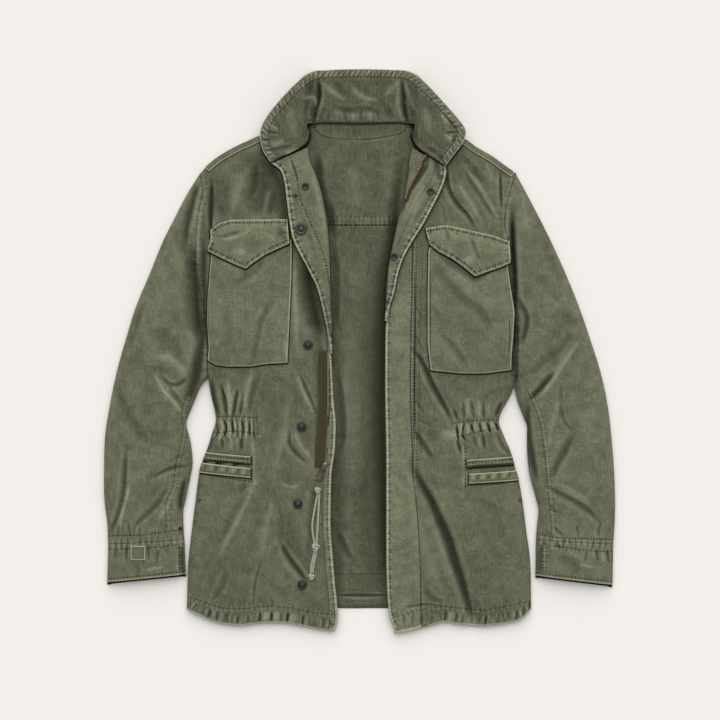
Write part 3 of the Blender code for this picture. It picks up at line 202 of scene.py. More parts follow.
# Folds: their sampling, the largest ones' depth, and the shape across and along a small one
FOLD_STEP = 2.4
FOLD_ROWS = (-1.6, -0.8, 0.0, 0.8, 1.6)
NARROW_FOLD = 4.1
FOLD_DEEPEST = 7.0
FOLD_LIMIT = 0.85
FOLD_TAPER = 4.0
FOLD_SLOPE = 0.16
FOLD_CRISP = 1.5
FOLD_SOFT = 0.8
FOLD_REACH = 2.6
FOLD_WIDTHS = (0.55, 0.45)
FOLD_ENDS = (0.08, 0.92)
FOLD_END = 0.25
# Painted shade in a fold's trough, painted highlight on its shoulders, and pale ridges of rubbing and painted
# highlight
FOLD_SHADE = 1.1
WIDE_FOLD = 3.5
SHOULDER_PLACE = 1.6
SHOULDER_WIDTH = 0.6
SHOULDER_HIGHLIGHT = 0.55
RIDGE_RUBBING_AND_HIGHLIGHT = 1.3
# Width of the tape's half that gets painted shade where the cloth covers it
TAPE_COVERED = 5.5

# What lies round seams, edges and pieces on top, and what the finishes make of it
SEAM_SPAN = 9.0
RUT_WIDTH = 0.9
BAND_RISE = 1.4
# Free edges within this level get rubbing and a painted highlight
RIM_LEVEL = 0.66
# Reach, level and sideways share of the painted shadow beside and below the pieces on top
COVER_REACH = 14.0
COVER_LEVEL = 0.86
COVER_SIDE = 0.62
# Widths of the needle's lines of painted shade
DEEP_LINE = 1.5
FINE_LINE = 1.0
SHOWN_SIDE = 0.15

# Zip, cord and studs
TAPE_LIFT = 0.9
TAPE_HALF = 3.4
TEETH_ASIDE = 2.2
TEETH_LIFT = 0.9
TOOTH = {"Width": 1.9, "Length": 1.15, "Height": 1.3}
STITCH_LIFT = 0.02
PART_LIFT = 0.1
UPRIGHT = (0.0, 0.0, 1.5)
CORD_RADIUS = 1.5
CORD_LIFT = 1.2
CORD_STEP = 0.7
CORD_START_RUN = 12.0
KNOT_LIFT = 4.4
KNOT_RUN = 5.0
KNOT_RISE = 1.3
KNOT_TURN = -0.2
KNOT_CORD = 1.15 * CORD_RADIUS

# Camera: straight above, in metres
CAMERA_CENTRE = (0.00075, -0.0135)
CAMERA_HEIGHT = 3.0
CAMERA_FIELD = 1.08
SENSOR = 36.0

SIGN = {"right": -1.0, "left": 1.0}


def table(columns, *rows):
    """A short table as one array for each named column."""
    return {name: np.array(values, float) for name, values in zip(columns.split(), zip(*rows))}


# Half-widths on each side of the body, from the armpit to the hem.
BODY_SIDE = table("y right left", (-40.5, 226.5, 234.8), (-64.5, 222.8, 227.3), (-100.5, 215.3, 209.3),
    (-124.5, 221.3, 215.3), (-148.5, 228.8, 225.8), (-172.5, 237.8, 232.5), (-196.5, 242.3, 239.3),
    (-232.5, 246.8, 245.3), (-268.5, 251.3, 249.8), (-316.5, 256.5, 255.8), (-386, 258.8, 257.3))
# Armhole seams, from the shoulder point to the armpit.
ARMHOLE = table("y right left", (266, 239, 234), (238.5, 234, 225), (214.5, 238.5, 219),
    (184.5, 243, 216.8), (148.5, 244.5, 225.8), (114, 243.8, 229.2), (79.5, 236.3, 229.5),
    (54, 230.3, 232.5), (9, 228, 236.3), (-40.5, 226.5, 234.8))
# Shoulder lines, from the neck point to the shoulder point.
SHOULDER = table("right_x right_y left_x left_y", (104.3, 332, 107.3, 331), (146.3, 322.5, 153.8, 318),
    (164.3, 315, 174.8, 304.5), (189.8, 303, 197.3, 291.5), (210.8, 290.5, 215.3, 278.5),
    (227.3, 277.5, 226.5, 270.5), (239, 266, 234, 266))
# Outer edges of the sleeves, from the shoulder point to the cuff seam.
SLEEVE_OUTER = table("y right left", (266, 239, 234), (235.5, 258, 250.5), (199.5, 276.8, 269.3),
    (163.5, 294.8, 287.3), (115.5, 314.3, 309), (67.5, 334.5, 328.5), (19.5, 349.5, 345),
    (-28.5, 363, 360.3), (-76.5, 373.2, 371), (-124.5, 380.8, 377), (-172.5, 382.7, 381),
    (-220.5, 382.3, 382.9), (-256.5, 378, 382.3), (-289, 376.5, 380.3))
# Inner edges of the sleeves, from the armpit to the cuff seam.
SLEEVE_INNER = table("y right left", (-40.5, 226.5, 234.8), (-52.5, 237, 231.8), (-76.5, 247.5, 237),
    (-100.5, 257.3, 246), (-112.5, 258.8, 250.5), (-136.5, 252.8, 250.5), (-166.5, 249.8, 252),
    (-190.5, 253.5, 255.8), (-220.5, 259.5, 264), (-238.5, 263.5, 267.8), (-263, 263.3, 265.5),
    (-282.5, 262, 264))
# Cuff corners: seam and hem, at the outer and the inner edge of each sleeve.
CUFF = table("right_x right_y left_x left_y", (376.5, -289, 380.3, -289), (378, -346, 379, -350),
    (262, -282.5, 264, -282.5), (259.5, -334, 263.3, -336))
# Lower edges of the fronts, from the side seam to the front edge.
FRONT_HEM = {
    "right": table("x y", (258.8, -386), (240.8, -394.5), (215.3, -405), (180.8, -410.3), (146.3, -406.5),
        (111.8, -406.5), (86.3, -411), (60.8, -416.3), (37.5, -420)),
    "left": table("x y", (257.3, -386), (242.3, -400.5), (218.3, -407.3), (185.3, -411), (168.8, -410.3),
        (144.8, -408), (128.3, -405), (104.3, -411)),
}
# Lapels: the roll where the front turns back, the free edge, and the height over the front.
LAPEL = {
    "right": table("roll_x roll_y free_x free_y lift", (77.3, 303, 131.3, 279, 8),
        (74.3, 282, 117.8, 268.5, 7.5), (63.8, 256.5, 111.8, 250.5, 7), (56.3, 231, 108, 222, 6.5),
        (51, 202.5, 104.3, 193.5, 6.5), (47.3, 175.5, 99, 166.5, 7), (45.3, 142.5, 87.8, 142.5, 8),
        (44.3, 112.5, 75.8, 120, 9), (43.8, 82.5, 63, 93, 8), (42.5, 49.5, 53.5, 55.5, 5.2),
        (41.6, 30, 48.8, 32, 3.4), (41.2, 12, 45.6, 13, 1.8), (41.4, -4, 43.6, -3, 0.8)),
    "left": table("roll_x roll_y free_x free_y lift", (78.8, 301.5, 128.3, 274.5, 8),
        (75, 282, 129, 264, 7.5), (73.2, 259.5, 123, 243, 7), (68.3, 234, 108.8, 214.5, 6.5),
        (60.8, 204, 95.3, 189, 6.5), (54, 175.5, 80.3, 165, 6.5), (48, 145.5, 67.5, 142.5, 6.5),
        (43.5, 120, 58.5, 118.5, 6.5), (40.8, 91.5, 51.8, 87, 5.4), (40.2, 75, 46.4, 70, 3.6),
        (39.4, 60, 42.9, 56, 2), (38.6, 46, 40.6, 43, 0.8)),
}
# Front edges below the lapels, to the hem, with the seam that the edge piece is sewn at.
FRONT_EDGE = {
    "right": table("y edge seam", (45, 46.6, 50), (30, 45, 49.2), (12, 43.4, 48.2), (-4, 42.2, 47.5),
        (-46.5, 39.8, 47.5), (-76.5, 38.3, 47.3), (-108, 35.3, 47.3), (-148.5, 36.8, 49.5),
        (-181.5, 41.3, 53.3), (-229.5, 42.8, 54.8), (-267, 42.8, 54.8), (-306, 39.8, 51.8),
        (-343.5, 36.8, 48.8), (-372, 33.8, 45.8), (-402, 32.3, 44.5), (-418.5, 37, 45.5)),
    "left": table("y edge seam", (158, 55.5, 78.8), (145.5, 52.6, 78.7), (120, 48, 78.4),
        (91.5, 45.2, 78.1), (75, 43, 77.8), (60, 41, 77.5), (46, 39.6, 77.2), (20, 38.5, 76.5),
        (-15, 38.3, 76), (-70, 38.3, 76), (-148.5, 39.8, 78.8), (-187.5, 39.8, 79.5), (-229.5, 39.8, 84.8),
        (-295.5, 39.8, 89.3), (-343.5, 40.5, 90.8), (-382.5, 42.8, 91), (-401, 45.8, 92.3),
        (-413.5, 51.8, 93)),
}
# Largest folds of the upper cloth: a trough (or, below zero, a ridge) between two points.
FOLDS = table("x1 y1 x2 y2 width depth", (78.8, -183, 128, -285, 6.5, 4.5),
    (120, -268, 170.3, -403, 8.5, 6), (100, -170, 160, -300, 14, -2), (78.8, -1.5, 135.8, -99, 5, 2.4),
    (144.8, 279, 180.8, 193.5, 7, 2.6), (162.8, 279, 206, 189, 7, 2.2), (138.8, 250, 150, 196.5, 7, 2.2),
    (-146.3, 286.5, -155.3, 204, 9, 3), (-131.3, 262, -125.3, 199.5, 7, 2.6),
    (-221.3, 236, -218.5, 170, 5, 2.4), (-84, 120, -56, 22.5, 11, 4.5),
    (-119.3, -280.5, -80.3, -328.5, 7, 2.8), (-104, -150, -78, -165, 7, 2),
    (-251.3, 238, -258.8, 150, 9, 3.4), (-249, 106.5, -242, 24, 8, 3.6),
    (-299.3, -31.5, -261.8, -51, 6.5, 3.2), (-356, -66, -314, -133, 11, 2.6),
    (-347, -148, -371, -262, 8, 2.6), (-272, -174, -311, -190, 5, 2.2), (-275, -186, -329, -256, 7, 2.2),
    (240, 219, 243, 60, 6.5, 3.4), (255.8, 49.5, 244, -10, 7, 2.8), (309.8, 39, 258, -34, 8, 2.6),
    (288.8, -21, 266, -73.5, 6.5, 3.4), (323, -118.5, 286, -193.5, 8, 3), (278, -201, 346, -246, 7, 2.2))
# Height of the upper cloth away from its edge seams.
LOFT = table("y body sleeve", (-430, 8.5, 14), (-395, 10, 14), (-350, 15, 15), (-290, 18, 17),
    (-200, 19, 20), (-110, 17, 21), (-40, 19, 21.5), (60, 21.5, 22.5), (180, 20.5, 21), (260, 16, 16),
    (345, 13.5, 14))
# Drawn-in waist: where each row of gathers starts and ends.
WAIST = table("x_in y_in x_out y_out", (-150.8, -112.5, -214, -110), (140.3, -120, 210, -110))
# Hem puckers: how deep they are along each front.
HEM_PUCKERS = table("x depth", (-258, 0.5), (-215, 0.8), (-175, 0.5), (-150, 1), (-90, 1), (-45, 0.6),
    (45, 0.5), (90, 0.7), (150, 0.5), (200, 0.6), (257, 0.7))
# Collar outline, from the right-hand lapel corner over the top to the left-hand one.
COLLAR_EDGE = table("x y", (-132.8, 280.5), (-144.8, 300), (-147.8, 327), (-135.8, 352.5), (-103.5, 390),
    (-71.3, 417), (-50, 421.5), (0, 423), (48, 422), (71.3, 419.3), (96.8, 400.5), (126.8, 369),
    (150.8, 341.3), (158.3, 327), (153.8, 309), (140.3, 291), (128.3, 274.5))
# Collar seam, from the left-hand lapel corner round the back of the neck.
COLLAR_SEAM = table("x y", (99.8, 293), (84.8, 304.5), (77.5, 322), (75.8, 340.5), (2.3, 341),
    (-71.3, 340.5), (-73.5, 324), (-80.3, 307.5), (-103.5, 293.5))
# Neck edge of the back, between the neck points.
BACK_NECK = table("x y", (-104.3, 332), (-71.3, 339.5), (2.3, 340.2), (75.8, 339.5), (107.3, 331))
# Outlines of the chest pockets and their flaps, whose sewn edge has no lift.
CHEST_POCKET = {
    "right": table("x y", (219.8, 166.5), (221.3, 139.5), (226.5, 79.5), (227.3, 45), (225, 3),
        (226.6, -14.3), (213.8, -21), (197.3, -23.4), (162.8, -23.4), (137.3, -19.5), (107.3, -18),
        (105.8, 10.5), (103.5, 57), (101.3, 103.5), (100.5, 156), (101.3, 166)),
    "left": table("x y", (222, 138), (221.3, 121.5), (225.8, 91.5), (231, 57), (229.3, 22.5), (226.6, -8),
        (226.6, -28.5), (186.8, -33.8), (152.3, -33.8), (105.8, -29.3), (101.3, 10.5), (101.3, 79.5),
        (102.3, 148), (104.3, 155), (140, 148), (180, 141)),
}
CHEST_FLAP = {
    "right": table("x y lift", (222.8, 180, 0), (209.3, 190.5, 0), (192.8, 195.8, 0), (152.3, 195.8, 0),
        (107.3, 196.5, 0), (104, 159, 1), (119.3, 152.3, 1), (140.3, 142.5, 1), (161.3, 128, 1),
        (168.8, 121.5, 1), (183.8, 127.5, 1), (204.8, 137.3, 1), (226.3, 148.5, 1), (222.8, 162, 1)),
    "left": table("x y lift", (97.5, 183, 0), (125.3, 187.5, 0), (138.8, 186, 0), (171, 178.5, 0),
        (198.8, 172.5, 0), (223.5, 163.5, 0), (225, 130.5, 1), (207.8, 123, 1), (189.8, 117, 1),
        (171.8, 110.3, 1), (152.3, 126, 1), (136.5, 137.3, 1), (117.8, 147, 1), (104.3, 157.5, 1)),
}
# Hand pockets: the inner end's place, the heights of both ends, and each piece's width.
HAND_POCKET = {
    "band_right": (162.0, -157.0, -151.0, 12.5), "welt_right": (162.0, -174.5, -167.0, 15.0),
    "band_left": (159.8, -162.0, -157.5, 12.5), "welt_left": (162.8, -183.0, -178.5, 15.0),
}
# Zip tapes: the right one on its front, as an outline, and the left one's middle, on the lapel.
ZIP_TAPE_RIGHT = table("x y", (-59, 0), (-60.5, -46.5), (-62.5, -95), (-66.5, -150), (-67, -174),
    (-54, -174), (-50.8, -148.5), (-48.6, -108), (-48.6, -46.5), (-48.6, 0))
ZIP_TAPE_LEFT = table("x y", (99.8, 289.5), (94, 281), (92.5, 274), (84, 258), (74.8, 240), (69.5, 224))
# Press studs down the right front's edge, at the side seams and on the lapels.
FRONT_STUDS = table("x y", (-76.4, 9), (-86.3, -113.3), (-91.8, -228), (-85.4, -348.9))
SIDE_STUD_X = {"right": -239.5, "left": 240.5}
SIDE_STUD_Y = -223.0
LAPEL_STUDS = {
    "lapel_right_socket": ("right", -80.6, 244.5, "socket"),
    "lapel_right_cap": ("right", -87.0, 181.0, "cap"),
    "lapel_left_socket_1": ("left", 105.8, 237.0, "socket"),
    "lapel_left_socket_2": ("left", 51.6, 139.5, "socket"),
}
# Turned shapes of the press studs: radius and height rows.
STUD_SHAPES = {
    "stud": ((6.75, 0.0), (7.5, 0.7), (7.2, 1.5), (6.2, 1.8), (5.6, 1.2), (4.4, 1.1), (3.4, 1.6),
             (2.9, 2.4), (2.0, 2.9), (0.9, 3.0)),
    "socket": ((4.4, 0.0), (5.6, 0.5), (5.3, 1.3), (4.6, 1.6), (3.6, 1.3), (2.4, 0.5), (1.2, 0.4)),
    "cap": ((7.6, 0.0), (9.0, 0.9), (8.4, 2.0), (7.2, 2.4), (6.2, 1.6), (4.6, 1.4), (3.6, 2.2),
            (2.4, 2.9), (1.0, 3.0)),
    "small": ((2.6, 0.0), (3.0, 0.5), (2.4, 1.5), (1.2, 1.7)),
}
# Both strands of the pull cord, and the three knots that hold them together.
CORD_KNOTS = table("x y long wide", (-62.3, -207.5, 5, 4.6), (-65.3, -292.5, 6.4, 5.6),
    (-71.3, -336.5, 5.2, 4.4))
CORD_STRANDS = {
    "upper_a": table("x y", (-62.6, -213.4), (-64.6, -224), (-67.6, -240), (-70.2, -258), (-69.6, -272),
        (-67.2, -285.4)),
    "upper_b": table("x y", (-60, -213), (-60.6, -228), (-61.4, -244), (-62.4, -262), (-63.2, -274),
        (-63.8, -285.4)),
    "lower_a": table("x y", (-67.4, -299.6), (-69.6, -310), (-72, -321), (-72.6, -330.6)),
    "lower_b": table("x y", (-64.2, -299.6), (-66.4, -310), (-68.6, -321), (-69.6, -330.6)),
}
# Facing at the back of the neck.
NECK_FACING = table("x y", (-65, 336.5), (-65.3, 330), (-50.3, 321.8), (-18.8, 317.3), (15.8, 317.3),
    (50.3, 322.5), (68.3, 330), (68.3, 336.5))
# Facing of the back's hem: its upper and lower edges, and the row of stitches inside each.
HEM_FACING = (((-236, -365.5), (234, -367)), ((234, -383), (-236, -383)))
HEM_FACING_ROWS = (((-236, -366.5), (234, -367.5)), ((-236, -380), (234, -380)))
# Patch on the right cuff, and the lower end of the fly strip.
CUFF_PATCH = ((-341.3, -290.5), (-319.5, -290.5), (-319.5, -312), (-341.3, -312), (-341.3, -290.5))
FLY_HEM = ((93, -413.5), (78.8, -417.8), (51.8, -423))
# Line of the right-hand zip half's teeth.
TEETH_RIGHT = ((-46.6, -4.0), (-46.6, -76.5), (-47.4, -108.0), (-49.6, -148.5), (-51.4, -165.0))
# Metals: name, colour, paler tone for the ridges (rubbing and painted highlight), roughness, scale of the
# spots, metallic share and bright spots.
METALS = {
    "brass": ("dark_brass", (0.16, 0.125, 0.09), (0.80, 0.70, 0.56), 0.28, 260.0, 1.0, 0.7),
    "teeth": ("brass_teeth", (0.42, 0.31, 0.20), (0.70, 0.55, 0.38), 0.3, 700.0, 1.0, 0.35),
    "studs": ("black_studs", (0.004, 0.004, 0.003), (0.17, 0.165, 0.15), 0.36, 260.0, 0.0, 0.0),
    "sockets": ("dark_sockets", (0.012, 0.010, 0.007), (0.26, 0.22, 0.15), 0.4, 260.0, 0.1, 0.0),
}
# Tones of the zip's tape and of the cord: dark, pale and between their ribs and strands, and the tape's
# painted shade where the cloth covers it.
TAPE_TONES = ((0.036, 0.029, 0.014), (0.068, 0.053, 0.027), (0.018, 0.015, 0.008), (0.050, 0.051, 0.028))
CORD_TONES = ((0.30, 0.305, 0.235), (0.62, 0.63, 0.51), (0.07, 0.072, 0.048))
# Patterns in the cotton: scale, detail and roughness of each.
COTTON_PATTERNS = {"clouds": (11.0, 3.0, 0.6), "blotches": (34.0, 3.0, 0.6), "mottle": (60.0, 6.0, 0.72),
                   "fibre": (420.0, 2.0, 0.7), "creases": (24.0, 5.0, 0.62)}
# Small eyelets and the button at the right cuff: what each lies on, where, and its size.
EYELETS = (("lapel_eyelet", ("lapel_right_cloth",), -95.3, 230.3, 0.55),
           ("underlap_eyelet", ("front_right_cloth", "underlap_right_cloth"), -55.5, -258.8, 0.42),
           ("cuff_button", ("sleeve_right_cloth",), -268.0, -266.0, 0.6))
# How each kind of seam looks: the doubled cloth on its left, the pitch of its stitch ticks, how far
# they reach and whether they fill the band, their strength, and the cloth's rut, step and puckers.
# Their stitch ticks are painted: pale on the crests as rubbing and highlight, painted shade in the slots
# between.
SEAM_LOOKS = ("band", "wave", "reach", "fill", "strength", "sink", "height", "pucker")
SEAM_KINDS = {kind: dict(zip(SEAM_LOOKS, looks)) for kind, *looks in (
    ("felled", 6.6, 4.6, 1.9, 0.45, 0.8, 0.5, 0.5, 0.3),
    ("sleeve", 6.0, 4.4, 2.4, 0.35, 0.55, 0.4, 0.5, 0.4),
    ("armhole", 7.0, 5.2, 3.0, 0.0, 0.28, 0.5, 0.6, 0.4),
    ("single", 0.0, 3.2, 1.1, 0.0, 0.45, 0.25, 0.0, 0.0),
    ("faint", 0.0, 3.2, 1.4, 0.0, 0.25, 0.1, 0.0, 0.0),
    ("ticks", 0.0, 4.6, 3.0, 0.0, 0.7, 0.4, 0.0, 0.2),
    ("edge", 4.6, 4.9, 1.8, 0.5, 0.8, 0.45, 0.2, 0.35),
    ("hem", 0.0, 7.4, 6.0, 0.0, 0.45, 0.45, 0.0, 0.8),
    ("collar", 10.4, 5.2, 5.0, 0.4, 0.4, 0.6, 0.35, 0.6),
    ("gathered", 0.0, 6.2, 7.5, 0.0, 0.42, 0.4, 0.0, 0.9),
    ("turned", 5.6, 4.4, 1.7, 0.8, 0.8, 0.45, 0.2, 0.25),
    ("inside", 12.0, 6.4, 2.8, 0.8, 0.75, 0.5, 0.5, 0.2),
)}
# Seams and rows of stitches that lie within the panels.
SEAM_LINES = {
    "front_left": (
        ("single", 78.8, -187.5, 84.8, -229.5, 89.2, -295.5, 90.8, -343.5, 92.2, -391.5),
        ("single", 93.8, 151.5, 92.2, 103.5, 90, 34.5, 89.2, -69, 92.2, -148.5),
        ("hem", 51.8, -398.2, 71.2, -393, 95.2, -385.5, 128.2, -382.5, 168.8, -387, 192.8, -387,
         225.8, -380.2, 257.2, -373.5),
        ("gathered", 138.8, -108, 173.2, -104.2, 209.2, -103.5),
        ("gathered", 141.8, -129, 177.8, -120.8, 212.2, -115.5),
        ("ticks", 157.5, -138, 157.5, -202.5),
        ("ticks", 158.2, -200.2, 180.8, -200.2, 210.8, -198, 236.2, -192.8),
    ),
    "front_right": (
        ("hem", -257.2, -367.5, -233.2, -375, -206.2, -384, -174.8, -385.5, -137.2, -381.8, -104.2, -384,
         -77.2, -390, -38.2, -394.5),
        ("single", -59.8, -7.5, -61.3, -46.5, -63.8, -76.5, -66.8, -148.5),
        ("gathered", -213.8, -99, -182.2, -98.2, -150.8, -99.8),
        ("gathered", -213.8, -123, -182.2, -120, -150.8, -124.5),
        ("ticks", -159.8, -156, -159.8, -196.5),
        ("ticks", -233.2, -184.5, -197.2, -189.8, -162.8, -195),
    ),
    "sleeve_right": (
        ("sleeve", -254.2, -61.5, -264.8, -88.5, -264, -123, -273.8, -169.5, -278.2, -201, -288.8, -231,
         -287.2, -265.5),
        ("ticks", -377.2, -276.8, -344.2, -275.2, -320.2, -274.5, -299.2, -271.5, -260.2, -267),
    ),
    "sleeve_left": (
        ("sleeve", 251.2, -61.5, 267.8, -103.5, 275.2, -148.5, 279.8, -193.5, 284.2, -238.5, 287.2, -268.5),
        ("ticks", 267.8, -274.5, 300.8, -279, 345.8, -280.5, 378.8, -282),
    ),
    "cuff_right": (
        ("gathered", -377.2, -297, -344.2, -295.5, -314.2, -294, -258.8, -288),
        ("edge", -269.2, -291, -269.2, -339),
    ),
    "cuff_left": (
        ("gathered", 267.8, -291, 300.8, -292.5, 345.8, -298.5, 378.8, -300),
        ("edge", 273.8, -291, 273.8, -331.5),
    ),
    "back_body": (
        ("single", -56.2, -333, -21.8, -335.2, 15.8, -334.5, 56.2, -333),
    ),
    "back_yoke": (
        ("ticks", -74.2, 335.2, -21.8, 333.8, 30.8, 333.8, 75.8, 335.2),
    ),
    "lapel_right": (
        ("ticks", -102.8, 286.5, -93.8, 259.5, -87.8, 226.5, -75.8, 196.5, -59.2, 159, -50.2, 129,
         -45.8, 103.5),
    ),
    "lapel_left": (
        ("single", 114.8, 277.5, 105.8, 253.5, 92.2, 232.5, 78.8, 208.5, 68.2, 184.5, 57.8, 159),
    ),
    "collar": (
        ("ticks", 75.8, 344.2, 30.8, 343, -21.8, 343, -71.2, 344.2),
        ("single", -72.8, 331.5, -92.2, 313.5, -113.2, 298.5, -131.2, 289.5),
        ("single", 77.2, 322.5, 96.8, 304.5, 114.8, 292.5, 131.2, 283.5),
    ),
}
